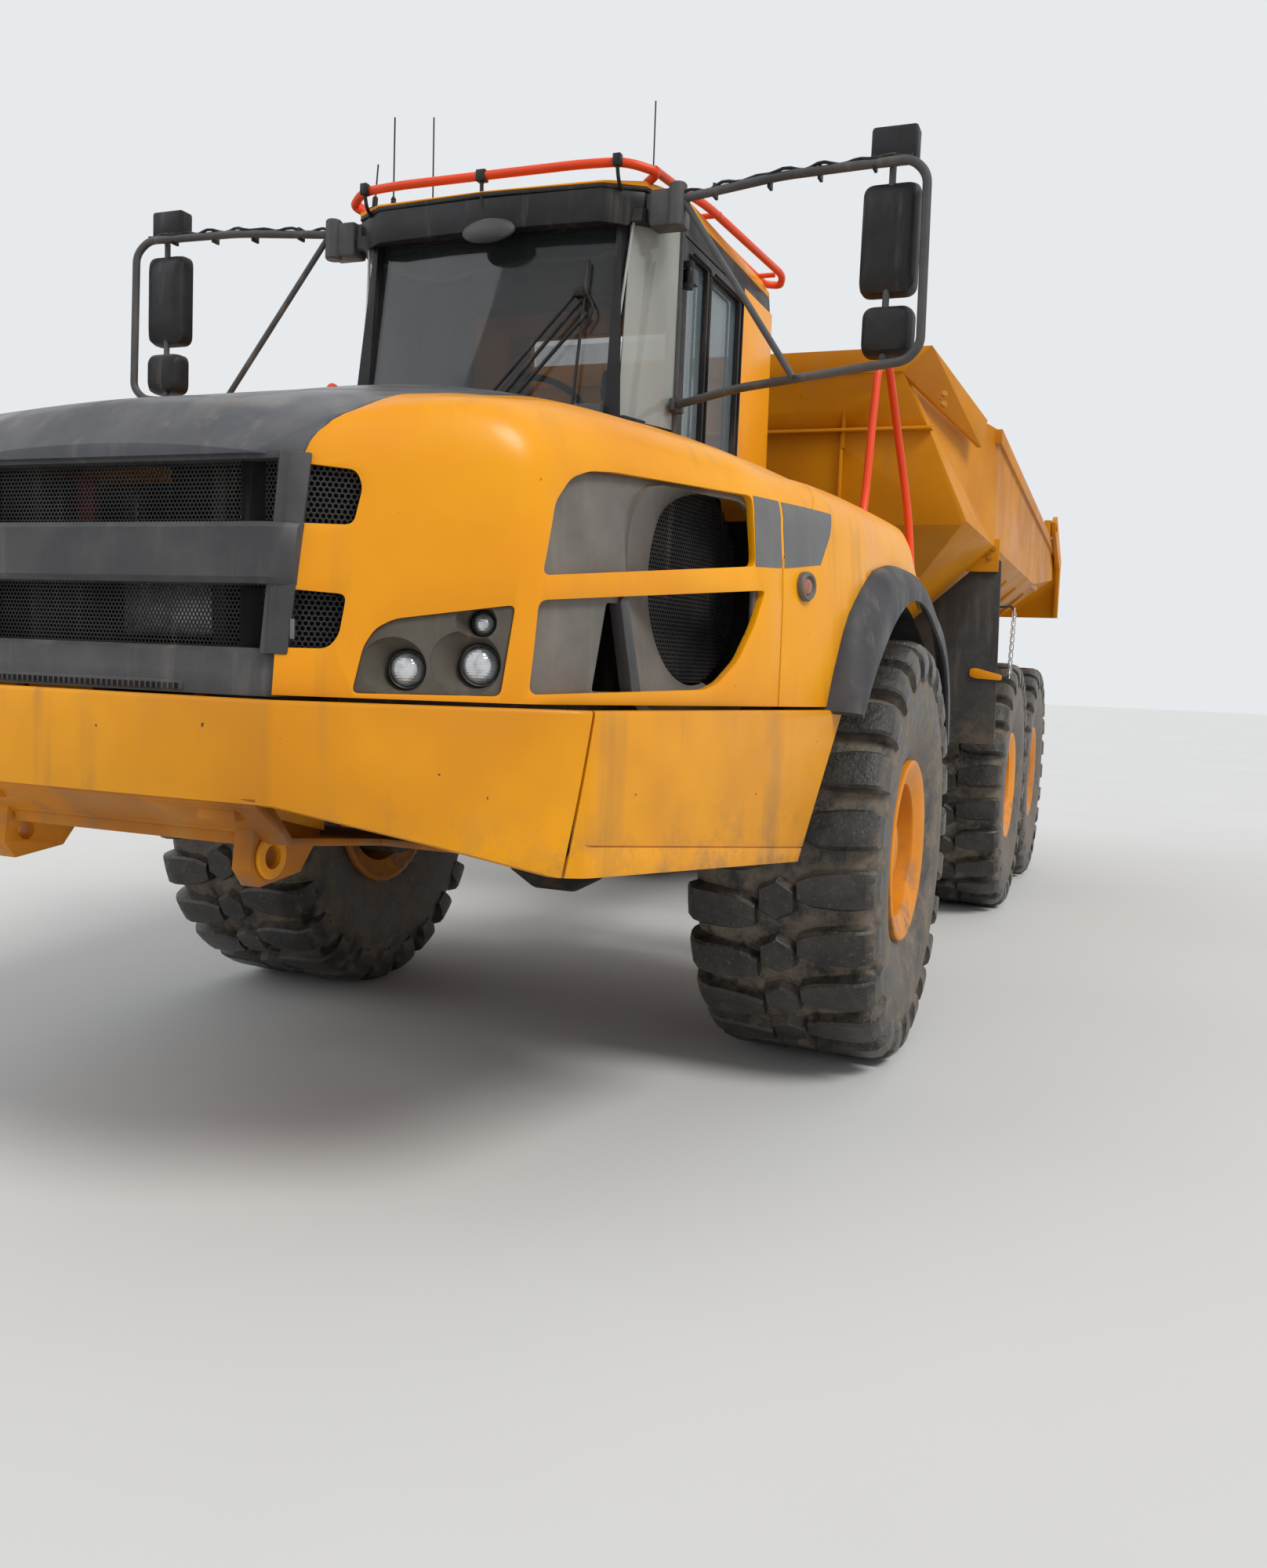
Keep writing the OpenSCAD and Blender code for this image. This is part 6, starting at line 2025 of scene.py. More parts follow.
@dataclass
class Rim:
    """A deep rim with its hub drive, hand holes and nuts."""

    profile: tuple = (
        (0.0, 0.2836), (0.112, 0.2836), (0.122, 0.28), (0.144, 0.2586), (0.18, 0.209), (0.194, 0.195),
        (0.2, 0.184), (0.2, 0.144), (0.206, 0.1376), (0.284, 0.1376), (0.2905, 0.144), (0.2935, 0.155),
        (0.2935, 0.305), (0.299, 0.318), (0.34, 0.336), (0.384, 0.3545), (0.396, 0.355), (0.4055, 0.35),
        (0.4075, 0.343), (0.406, 0.326), (0.399, 0.319), (0.326, 0.289), (0.3175, 0.28), (0.3175, -0.28),
        (0.326, -0.289), (0.399, -0.319), (0.4075, -0.33), (0.4055, -0.35), (0.384, -0.3545),
        (0.299, -0.318), (0.2935, -0.305), (0.2935, 0.1136), (0.1103, 0.1136), (0.1103, 0.2036),
        (0.0, 0.2036),
    )
    holes: int = 8

    def mesh(self) -> bpy.types.Mesh:
        """The rim about its own middle, its outer face towards +Y.

        Returns:
            The mesh.
        """
        made = Shape().lathe(self.profile, TO_AXLE, 64).object("rim")
        cut = Shape()
        oval = [(0.044 * math.cos(a), 0.029 * math.sin(a)) for a in full_turn(20)]
        out = Matrix.Translation((0.246, 0, 0)) @ Matrix.Rotation(math.pi / 2, 4, "Z")
        for a in full_turn(self.holes, 0.5):
            cut.prism(oval, 0.105, 0.15, TO_AXLE @ Matrix.Rotation(a, 4, "Z") @ out)
        return only_mesh(smooth(carve(made, cut), 30))


@dataclass
class Wheels:
    """All six wheels on their bodies."""

    turns: tuple = (4.0, 11.0, 7.5, 2.0, 13.0, 9.0)

    def build(self, ring: Tree, bolt: Tree) -> None:
        """Makes tyres, rims, nuts and valves.

        Args:
            ring: The ring tree.
            bolt: The bolt tree.
        """
        tyre, rim = Tyre().mesh(ring), Rim().mesh()
        names = [(p, s) for p in ("front", "mid", "rear") for s in ("left", "right")]
        for (where, side), turn in zip(names, self.turns):
            low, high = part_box(f"tyre_{where}_{side}")
            centre = (low + high) / 2
            place = Matrix.Translation((centre.x - FRONT_AXLE_X, centre.y, centre.z))
            if side == "right":
                place = place @ Matrix.Rotation(math.pi, 4, "Z")
            body = f"wheel_{where}_{side}"
            for mesh, name, finish in ((tyre, "tyre", Finish.TYRE), (rim, "rim", Finish.RIM_AMBER)):
                made = scene_object(f"{name}_{where}_{side}_skin", mesh.copy())
                made.data.transform(place @ Matrix.Rotation(math.radians(turn), 4, "Y"))
                keep(made, body, finish, [f"{name}_{where}_{side}"])
            nuts = Bolts(f"nuts_{where}_{side}", body, Finish.RIM_DARK, 0.013, 0.016)
            facing = place.to_3x3() @ Vector((0, 1, 0))
            for count, r, y in ((12, 0.158, 0.24), (16, 0.222, 0.1376)):
                for a in full_turn(count, 0.25):
                    nuts.at(place @ Vector((r * math.cos(a), y, r * math.sin(a))), facing)
            nuts.make(bolt)
            stem = ((0.288, 0.18, 0.03), (0.272, 0.24, 0.028), (0.27, 0.3, 0.028))
            valve = Shape().tube([place @ Vector(p) for p in stem], 0.016, 0.03, 8)
            valve.put(f"valve_{where}_{side}", body, Finish.CHROME)


@dataclass
class Cab:
    """The cab: posts and panels, roof, glass, wipers, roof mirror and the driver's place."""

    body: str = "front"
    glass_low: float = 2.7
    roof_z: float = 3.65
    floor_z: float = 2.12

    def build(self) -> None:
        """Makes every piece of the cab in order."""
        self.walls()
        self.roof()
        self.panes()
        self.visor()
        self.wipers()
        self.roof_mirror()
        self.seat()
        self.controls()

    def walls(self) -> None:
        """Makes the painted lower walls and rear pillars, and the dark posts between the panes."""
        upper = Shape().box((-0.212, -1.0, self.glass_low - 0.02), (1.2, 1.0, 3.7), 0)
        skin = carve(cad_copy("cab_shell", "cab_skin"), upper)
        keep(bevelled(skin, 0.006, 3, 35), self.body, Finish.CAB_AMBER, ["cab_shell"])
        upper = Shape().box((-0.2115, -1.0, self.glass_low - 0.0195), (1.2, 1.0, 3.7), 0)
        posts = carve(cad_copy("cab_shell", "cab_posts"), upper, "INTERSECT")
        keep(bevelled(posts, 0.005, 2, 35), self.body, Finish.BLACK)

    def roof(self) -> None:
        """Makes the roof with its dark eaves and three pressed ribs."""
        made = carve(cad_copy("cab_roof", "roof_skin"), Shape().box((-2, -2, 3.0), (2, 2, 3.606), 0))
        keep(bevelled(made, 0.01, 3, 25), self.body, Finish.CAB_AMBER, ["cab_roof"])
        eaves = carve(cad_copy("cab_roof", "roof_eaves"), Shape().box((-2, -2, 3.605), (2, 2, 4.0), 0))
        keep(bevelled(eaves, 0.006, 2, 25), self.body, Finish.BLACK)
        ribs = Shape()
        for y in (-0.42, 0.0, 0.42):
            ribs.box((-0.48, y - 0.1, self.roof_z - 0.01), (0.62, y + 0.1, self.roof_z + 0.008), 0.006)
        ribs.put("roof_ribs", self.body, Finish.CAB_AMBER)

    def windscreen_x(self, y: float, z: float) -> float:
        """The windscreen's outer surface, leaning back and bowed across."""
        return 0.978 - (z - self.glass_low) * 0.115 - 0.03 * (y / 0.6) ** 2

    def panes(self) -> None:
        """Makes the bowed windscreen and the flush quarter and rear panes."""
        rings = []
        for k in range(9):
            z = self.glass_low + (3.5 - self.glass_low) * k / 8
            half = 0.6 - 0.006 * k / 8
            ys = [half * (2 * j / 16 - 1) for j in range(17)]
            front = [(self.windscreen_x(y, z), y, z) for y in ys]
            rings.append(front + [(x - 0.008, y, z) for x, y, z in reversed(front)])
        Shape().loft(rings).put("windscreen", self.body, Finish.WINDSCREEN, ["cab_glass"])
        quarter = ((0.945, 0.612, 2.69), (0.676, 0.752, 2.69), (0.676, 0.752, 3.49), (0.862, 0.604, 3.49))
        front, rear = Vector(quarter[0]), Vector(quarter[1])
        rings = []
        for k in range(7):
            t = k / 6
            a, b = front.lerp(Vector(quarter[3]), t), rear.lerp(Vector(quarter[2]), t)
            line = [a.lerp(b, j / 8) + Vector((0.5, 0.8, 0)) * 0.018 * math.sin(math.pi * j / 8)
                    for j in range(9)]
            rings.append(line + [p - Vector((0.004, 0.006, 0)) for p in reversed(line)])
        Shape().loft(rings).put_both("quarter_panes", self.body, Finish.QUARTER_GLASS)
        seal = Shape().tube(((0.878, 0.622, 3.49), (0.952, 0.56, 2.72)), 0.012, 0.01, 8)
        seal.put_both("windscreen_seams", self.body, Finish.SEAM)
        post = Shape().tube(((0.672, 0.751, 3.495), (0.676, 0.753, 2.68)), 0.024, 0.01, 8)
        post.put_both("quarter_seals", self.body, Finish.MIRROR_GREY)
        rear_pane = Shape().box((-0.694, -0.585, 2.705), (-0.686, 0.585, 3.435), 0.002)
        rear_pane.put("rear_pane", self.body, Finish.GLASS)
        side = Shape().prism(rounded(((-0.535, 2.705), (-0.535, 3.455), (0.575, 3.455), (0.575, 2.705)),
                                     0.03, 3), 0.728, 0.736, SIDE_PLANE)
        side.put("right_pane", self.body, Finish.GLASS)

    def visor(self) -> None:
        """Makes the dark band under the roof's front and its V shaped lower edge behind the glass."""
        soften("visor", "visor_skin", self.body, Finish.BLACK, 0.006, 30)
        blind = [(-0.56, 3.5), (-0.56, 3.405), (-0.44, 3.352), (-0.31, 3.322), (-0.24, 3.318),
                 (-0.09, 3.346), (0.13, 3.366), (0.44, 3.356), (0.56, 3.378), (0.56, 3.5)]
        band = Shape().prism([(y, z) for y, z in blind], 0.842, 0.852, CROSS_PLANE)
        band.put("headliner", self.body, Finish.BLACK)
        edge = Shape().tube([(0.85, y, z) for y, z in blind[1:-1]], 0.02, 0.03, 8)
        edge.put("headliner_edge", self.body, Finish.GREY_PANEL)
        box = Shape().box((0.8, -0.13, 3.3), (0.845, 0.07, 3.372), 0.016)
        box.put("inner_mirror_box", self.body, Finish.BLACK)

    def on_glass(self, y: float, z: float, out: float) -> Vector:
        """A point before the windscreen."""
        return Vector((self.windscreen_x(y, z) + out, y, z))

    def wipers(self) -> None:
        """Makes the washer rod, the two wiper arms and the blade."""
        arms = Shape()
        arms.tube((self.on_glass(0.429, 2.715, 0.03), self.on_glass(0.445, 3.33, 0.022)), 0.014, 0.01, 8)
        for a, b in (((0.412, 3.2), (0.062, 2.79)), ((0.436, 3.17), (0.105, 2.77)),
                     ((0.461, 3.11), (0.175, 2.78))):
            arms.tube((self.on_glass(*a, 0.034), self.on_glass(*b, 0.04)), 0.017, 0.01, 8)
        arms.box((-0.03, -0.022, -0.02), (0.03, 0.022, 0.02), 0.006,
                 Matrix.Translation(self.on_glass(0.425, 3.195, 0.03)))
        arms.tube((self.on_glass(0.445, 3.2, 0.03), self.on_glass(0.495, 3.13, 0.04),
                   self.on_glass(0.455, 3.05, 0.03)), 0.01, 0.04, 8)
        arms.put("wiper_arms", self.body, Finish.BLACK)
        cowl = [(0.955, 2.6), (1.02, 2.6), (1.02, 2.7), (0.998, 2.742), (0.965, 2.752)]
        Shape().prism(cowl, -0.56, 0.56, SIDE_PLANE, 0.006).put("wiper_cowl", self.body, Finish.GREY)

    def roof_mirror(self) -> None:
        """Makes the oval mirror that hangs before the roof, with its bracket."""
        oval = Matrix.Rotation(math.radians(68), 4, "Y") @ Matrix.Diagonal((0.6, 1.28, 1, 1))
        head = Matrix.Translation((1.0, 0.03, 3.452)) @ oval
        profile = ((0.0, 0.03), (0.045, 0.027), (0.075, 0.018), (0.092, 0.004), (0.094, -0.006),
                   (0.088, -0.01), (0.0, -0.012))
        Shape().lathe(profile, head, 32).put("roof_mirror", self.body, Finish.MIRROR_GREY)
        arm = Shape().tube(((0.978, -0.02, 3.68), (0.992, -0.01, 3.6), (0.986, 0.0, 3.52),
                            (0.99, 0.02, 3.47)), 0.017, 0.03, 8)
        arm.box((0.96, -0.04, 3.655), (0.998, 0.004, 3.702), 0.005)
        arm.put("roof_mirror_arm", self.body, Finish.BLACK)

    def cushion(self, name: str, size: Point, place: Matrix, crown: float,
                channels: Sequence[float]) -> None:
        """Makes a crowned cushion with sewn channels across it.

        Args:
            name: The piece's name.
            size: Length, width and thickness.
            place: The cushion's place, its crowned face towards Z.
            crown: Height of the crown.
            channels: Places of the sewn channels, from -1 to 1 along the length.
        """
        bm = bmesh.new()
        bmesh.ops.create_cube(bm, size=2.0)
        bmesh.ops.subdivide_edges(bm, edges=bm.edges, cuts=23, use_grid_fill=True)
        for v in bm.verts:
            a, b, c = v.co
            round_a = a * math.sqrt(max(0.0, 1 - 0.22 * (b * b + c * c) / 2))
            round_b = b * math.sqrt(max(0.0, 1 - 0.22 * (a * a + c * c) / 2))
            round_c = c * math.sqrt(max(0.0, 1 - 0.3 * (a * a + b * b) / 2))
            pull = 1 - 0.05 * (1 - abs(c)) * (1 - max(abs(a), abs(b)) ** 8 * 0.4)
            swell = crown * (1 - a * a) * (1 - b * b) if c > 0 else 0.0
            dip = sum(0.016 * math.exp(-(((a - s) * size[0] / 2) / 0.01) ** 2)
                      for s in channels) if c > 0.5 else 0.0
            side = 0.012 * math.exp(-(((abs(b) - 0.68) * size[1] / 2) / 0.01) ** 2) if c > 0.5 else 0.0
            v.co = (round_a * pull * size[0] / 2, round_b * pull * size[1] / 2,
                    round_c * size[2] / 2 + swell - dip - side)
        shape = Shape().take(bm, place)
        made = keep(shape.object(name, 60), self.body, Finish.CLOTH)

    def seat(self) -> None:
        """Makes the driver's seat on its suspension."""
        at = Matrix.Translation((-0.18, 0.0, self.floor_z))
        lean = at @ Matrix.Rotation(math.radians(-8), 4, "Y")
        self.cushion("seat_cushion", (0.5, 0.5, 0.13), at @ Matrix.Translation((0.02, 0, 0.375)), 0.018,
                     (-0.35, 0.1, 0.55))
        upright = Matrix.Rotation(math.pi / 2, 4, "Y")
        back = lean @ Matrix.Translation((-0.225, 0, 0.69)) @ upright
        self.cushion("seat_back", (0.62, 0.46, 0.12), back, 0.018, (-0.5, -0.1, 0.3))
        rest = lean @ Matrix.Translation((-0.235, 0, 1.095)) @ upright
        self.cushion("head_rest", (0.17, 0.25, 0.085), rest, 0.012, (0.0,))
        base = Shape()
        base.box((-0.2, -0.2, 0.001), (0.2, 0.2, 0.05), 0.01, at)
        base.box((-0.22, -0.21, 0.255), (0.22, 0.21, 0.31), 0.012, at)
        for k in range(5):
            half, z = 0.175 + 0.012 * (k % 2), 0.05 + 0.042 * k
            base.box((-half, -half, z), (half, half, z + 0.041), 0.012, at)
        for y in (-0.06, 0.06):
            base.tube([lean @ Vector((-0.235, y, z)) for z in (0.98, 1.04)], 0.012, 0.01, 8)
        for side in (-1, 1):
            base.box((-0.22, side * 0.275 - 0.03, 0.545), (0.1, side * 0.275 + 0.03, 0.59), 0.016, at)
            base.tube([at @ Vector(p) for p in ((-0.2, side * 0.275, 0.56), (-0.21, side * 0.262, 0.46),
                                                (-0.2, side * 0.22, 0.43))], 0.03, 0.03, 8)
        base.put("seat_base", self.body, Finish.BLACK, ["seat"])

    def controls(self) -> None:
        """Makes the dashboard, the steering wheel and the levers."""
        made = cad_copy("dashboard", "dash_skin")
        carve(made, Shape().box((0.0, -0.8, 2.0), (0.676, 0.8, 3.2), 0))
        keep(bevelled(made, 0.022, 3, 30), self.body, Finish.BLACK, ["dashboard"])
        tilt = Matrix.Rotation(math.radians(-35), 4, "Y")
        hub = Matrix.Translation((0.38, 0.0, self.floor_z + 0.72)) @ tilt
        grip = [(0.205 + 0.015 * math.cos(a), 0.017 + 0.015 * math.sin(a)) for a in full_turn(10)]
        wheel = Shape().lathe(grip, hub, 44, closed=True)
        for turn in (90, 210, 330):
            spoke = hub @ Matrix.Rotation(math.radians(turn), 4, "Z")
            wheel.tube([spoke @ Vector(p) for p in ((0.03, 0, 0.0), (0.12, 0, 0.004), (0.203, 0, 0.017))],
                       0.022, 0.03, 8)
        wheel.lathe(((0.0, 0.018), (0.036, 0.016), (0.045, 0.006), (0.045, -0.03), (0.0, -0.03)), hub, 28)
        wheel.tube([hub @ Vector((0, 0, -0.02)), hub @ Vector((0, 0, -0.2)), Vector((0.72, 0, 2.46))], 0.06,
                   0.05, 12)
        wheel.box((0.665, -0.18, 2.655), (0.72, 0.18, 2.79), 0.014)
        wheel.tube(((0.12, -0.36, 2.4), (0.14, -0.36, 2.62)), 0.018, 0.02, 8)
        wheel.lathe(((0.0, 0.03), (0.02, 0.022), (0.024, 0.0), (0.014, -0.03), (0.0, -0.03)),
                    Matrix.Translation((0.142, -0.36, 2.64)), 16)
        wheel.box((-0.2, -0.42, 2.121), (0.24, -0.3, 2.41), 0.02)
        wheel.put("steering_wheel", self.body, Finish.BLACK)


@dataclass
class Door:
    """The cab's door with its panes, seals and handle."""

    body: str = "door"

    def build(self) -> None:
        """Makes the door."""
        soften("door", "door_leaf", self.body, Finish.BLACK, 0.004, 35)
        seals = Shape()
        for x0, x1 in ((-0.155, 0.285), (0.315, 0.57)):
            loop = rounded(((x0, 2.57), (x0, 3.44), (x1, 3.44), (x1, 2.57)), 0.03, 3)
            seals.tube([(x, 0.7615, z) for x, z in [*loop, loop[0]]], 0.014, 0.0, 6)
        seals.put("door_seals", self.body, Finish.SHADOW)
        handle = Shape()
        handle.box((0.44, 0.748, 2.48), (0.575, 0.764, 2.545), 0.006)
        handle.tube(((0.455, 0.764, 2.512), (0.46, 0.786, 2.512), (0.56, 0.786, 2.512),
                     (0.565, 0.764, 2.512)), 0.014, 0.015, 8)
        handle.put("door_handles", self.body, Finish.MIRROR_GREY)
        dress_node("door_glass", Finish.DOOR_GLASS)


@dataclass
class RoofGear:
    """Handrails, mirrors and antennas about the cab."""

    body: str = "front"
    roof_z: float = 3.65
    deck_z: float = 2.37
    rail_d: float = 0.036

    def build(self) -> None:
        """Makes the rails, mirrors and antennas."""
        self.rails()
        self.mirrors()
        self.antennas()

    def rails(self) -> None:
        """Makes the orange red rails as smooth tubes."""
        up, roof, deck = 0.03, self.roof_z, self.deck_z
        roof_rail = [(0.845, 0.655, roof - 0.02), (0.868, 0.715, roof + 0.01), (0.955, 0.61, roof + up),
                     (0.978, 0.43, roof + up), (0.978, 0.0, roof + up)]
        side_rail = [(0.878, 0.702, roof + 0.016), (0.64, 0.715, roof + up), (0.42, 0.765, roof + up),
                     (-0.58, 0.825, roof + up), (-0.735, 0.77, roof + up), (-0.7, 0.7, roof + up),
                     (-0.5, 0.69, roof + up), (0.16, 0.675, roof + up), (0.23, 0.665, roof - 0.02)]
        fender_rail = [(0.15, 1.45, deck + 0.03), (0.112, 1.45, deck + 0.13), (0.06, 1.45, deck + 0.41),
                       (0.0, 1.45, deck + 0.68), (-0.04, 1.46, deck + 0.76), (-0.14, 1.47, deck + 0.74),
                       (-0.3, 1.5, deck + 0.45), (-0.345, 1.56, deck + 0.1), (-0.35, 1.59, deck - 0.2)]
        shape = Shape()
        for line, bend in ((roof_rail, 0.09), (side_rail, 0.1), (fender_rail, 0.12)):
            shape.tube(line, self.rail_d, bend, 14)
        for x in (-0.56, 0.3):
            shape.tube(((x, 0.7, roof - 0.01), (x, 0.7, roof + up)), 0.024, 0.01, 10)
            shape.tube(((x, 0.695, roof + up), (x, 0.79, roof + up)), 0.024, 0.01, 10)
        foot = ((0.0, 0.012), (0.03, 0.012), (0.036, 0.006), (0.036, -0.03), (0.0, -0.03))
        for end in (fender_rail[0], fender_rail[-1]):
            shape.lathe(foot, Matrix.Translation(end), 20)
        shape.put_both("rails", self.body, Finish.ORANGE, ["handrails"])
        clips = Shape()
        clips.box((0.962, -0.6, roof + up - 0.024), (0.994, -0.566, roof + up + 0.024), 0.005)
        clips.tube(((0.978, -0.583, roof + up - 0.02), (0.96, -0.583, roof - 0.045),
                    (0.9, -0.583, roof - 0.075)), 0.016, 0.03, 8)
        clips.put_both("rail_clips", self.body, Finish.BLACK)

    def mirrors(self) -> None:
        """Makes the mirror arms with their heads, glasses, cable wraps and roof clamps."""
        half_cab = 0.75
        arm = [(0.85, 0.76, 3.545), (0.88, 0.83, 3.545), (0.96, 1.25, 3.56), (0.99, 1.74, 3.56),
               (1.0, 1.8, 3.5), (1.0, 1.81, 2.9), (0.99, 1.76, 2.85), (0.9, 1.1, 2.8),
               (0.7, half_cab + 0.004, 2.785)]
        shape = Shape().tube(arm, 0.034, 0.06, 12)
        shape.tube(((0.88, 0.83, 3.54), (0.96, 1.33, 2.818)), 0.026, 0.01, 10)
        shape.tube(((0.95, 1.665, 3.6), (0.95, 1.665, 2.835)), 0.026, 0.01, 10)
        shape.box((0.655, 0.752, 2.76), (0.745, 0.775, 2.81), 0.006)
        shape.lathe(((0.0, 0.03), (0.026, 0.03), (0.026, -0.03), (0.0, -0.03)),
                    Matrix.Translation((0.7, 0.775, 2.785)), 20)
        shape.put_both("mirror_arms", self.body, Finish.MIRROR_GREY, ["mirrors"])
        wraps = Shape()
        cable = []
        for k in range(34):
            t = k / 33
            a, b = (Vector(arm[1]), Vector(arm[2])) if t < 0.45 else (Vector(arm[2]), Vector(arm[3]))
            p = a.lerp(b, t / 0.45 if t < 0.45 else (t - 0.45) / 0.55)
            lift = Vector((0.0, 0.0, 1)) * (0.02 + 0.006 * math.sin(k * 1.3))
            cable.append(p + lift + Vector((0.01 * math.cos(k * 0.9), 0, 0)))
        wraps.tube(cable, 0.013, 0.004, 8)
        for t in (0.15, 0.4, 0.62, 0.85):
            p = Vector(arm[1]).lerp(Vector(arm[3]), t)
            wraps.box((-0.022, -0.006, -0.022), (0.022, 0.006, 0.032), 0.003,
                      Matrix.Translation((p.x, p.y, p.z)))
        wraps.put_both("mirror_cables", self.body, Finish.BLACK)
        heads, glasses = Shape(), Shape()
        for low, high in (((0.9, 1.56, 3.1), (0.985, 1.77, 3.5)), ((0.9, 1.58, 2.88), (0.985, 1.77, 3.06))):
            outline = rounded(((low[1], low[2]), (high[1], low[2]), (high[1], high[2]), (low[1], high[2])),
                              0.045, 6)
            mid = Vector(((low[1] + high[1]) / 2, (low[2] + high[2]) / 2))
            rings = []
            for x, share in ((low[0], 1.0), (low[0] + 0.03, 1.0), (high[0] - 0.028, 0.96),
                             (high[0] - 0.008, 0.8), (high[0], 0.55)):
                rings.append([(x, mid.x + (y - mid.x) * share, mid.y + (z - mid.y) * share)
                              for y, z in outline])
            heads.loft(rings)
            inner = [(mid.x + (y - mid.x) * 0.92, mid.y + (z - mid.y) * 0.94) for y, z in outline]
            glasses.prism(inner, low[0] - 0.004, low[0] + 0.004, CROSS_PLANE)
        heads.box((0.88, 1.58, 3.575), (0.96, 1.75, 3.7), 0.014)
        heads.put_both("mirror_heads", self.body, Finish.BLACK)
        glasses.box((0.876, 1.592, 3.59), (0.884, 1.738, 3.688), 0.003)
        glasses.put_both("mirror_glasses", self.body, Finish.MIRROR_GLASS)
        clamp = Shape()
        clamp.box((0.79, 0.69, 3.445), (0.895, 0.83, 3.59), 0.014)
        clamp.box((0.765, 0.665, 3.47), (0.87, 0.742, 3.585), 0.01)
        clamp.lathe(((0.0, 0.085), (0.03, 0.085), (0.036, 0.078), (0.036, -0.078), (0.03, -0.085),
                     (0.0, -0.085)), Matrix.Translation((0.88, 0.805, 3.52)), 20)
        clamp.put_both("mirror_clamps", self.body, Finish.MIRROR_GREY)

    def antennas(self) -> None:
        """Makes the whip antennas on their spring feet."""
        roof = self.roof_z
        shape = Shape()
        for foot, tip in (((0.73, -0.6, roof - 0.01), (0.735, -0.6, roof + 0.425)),
                          ((0.395, -0.6, roof - 0.01), (0.41, -0.6, roof + 0.555)),
                          ((0.88, -0.6, roof - 0.04), (0.785, -0.648, roof + 0.21)),
                          ((0.14, 0.4, roof - 0.01), (0.15, 0.4, roof + 0.615))):
            a, b = Vector(foot), Vector(tip)
            shape.tube((a, b), 0.0072, 0.01, 8)
            along = (b - a).to_track_quat("Z", "Y").to_matrix().to_4x4()
            coils = [(0.0105 + 0.002 * (k % 2), 0.028 + 0.006 * k) for k in range(10)]
            profile = [(0.0, 0.0), (0.026, 0.0), (0.026, 0.016), (0.013, 0.024), *coils, (0.006, 0.094),
                       (0.0, 0.094)]
            shape.lathe(profile, Matrix.Translation(a + Vector((0, 0, 0.004))) @ along, 16)
        shape.put("antennas_skin", self.body, Finish.BLACK, ["antennas"])


@dataclass
class Chassis:
    """Frames, axles, hitch, cylinders, engine, cooler, exhaust, tanks and steps."""

    def build(self) -> None:
        """Makes the chassis pieces."""
        for node, body, finish, width in (
            ("front_frame", "front", Finish.CHASSIS, 0.006), ("front_axle", "front", Finish.CHASSIS, 0.01),
            ("hitch", "hitch", Finish.CHASSIS, 0.008), ("rear_frame", "rear", Finish.CHASSIS, 0.006),
            ("rear_axles", "rear", Finish.CHASSIS, 0.01), ("bogie_beams", "rear", Finish.CHASSIS, 0.012),
            ("engine", "front", Finish.IRON, 0.02), ("ladder", "front", Finish.CHASSIS, 0.004),
            ("tanks", "front", Finish.AMBER, 0.03),
        ):
            soften(node, f"{node}_skin", body, finish, width)
        for barrel in ("steer_barrel_left", "steer_barrel_right", "tip_barrels"):
            dress_node(barrel, Finish.CHASSIS)
        for rod in ("steer_rod_left", "steer_rod_right", "tip_rods"):
            dress_node(rod, Finish.CHROME)
        soften("radiator", "cooler_skin", "front", Finish.CORE, 0.006, 30)
        self.exhaust()

    def exhaust(self) -> None:
        """Makes the exhaust stack with its guard."""
        line = [(-0.3, -1.1, 2.33), (-0.3, -1.1, 3.08), (-0.38, -1.1, 3.18)]
        pipe = Shape().tube(line, 0.12, 0.1, 24)
        pipe.put("exhaust_pipe", "front", Finish.EXHAUST, ["exhaust"])
        wall = ((0.066, 0.0), (0.07, 0.0), (0.07, 0.62), (0.066, 0.62))
        guard = Shape().lathe(wall, Matrix.Translation((-0.3, -1.1, 2.42)), 36, closed=True)
        guard.put("exhaust_guard", "front", Finish.CHASSIS)


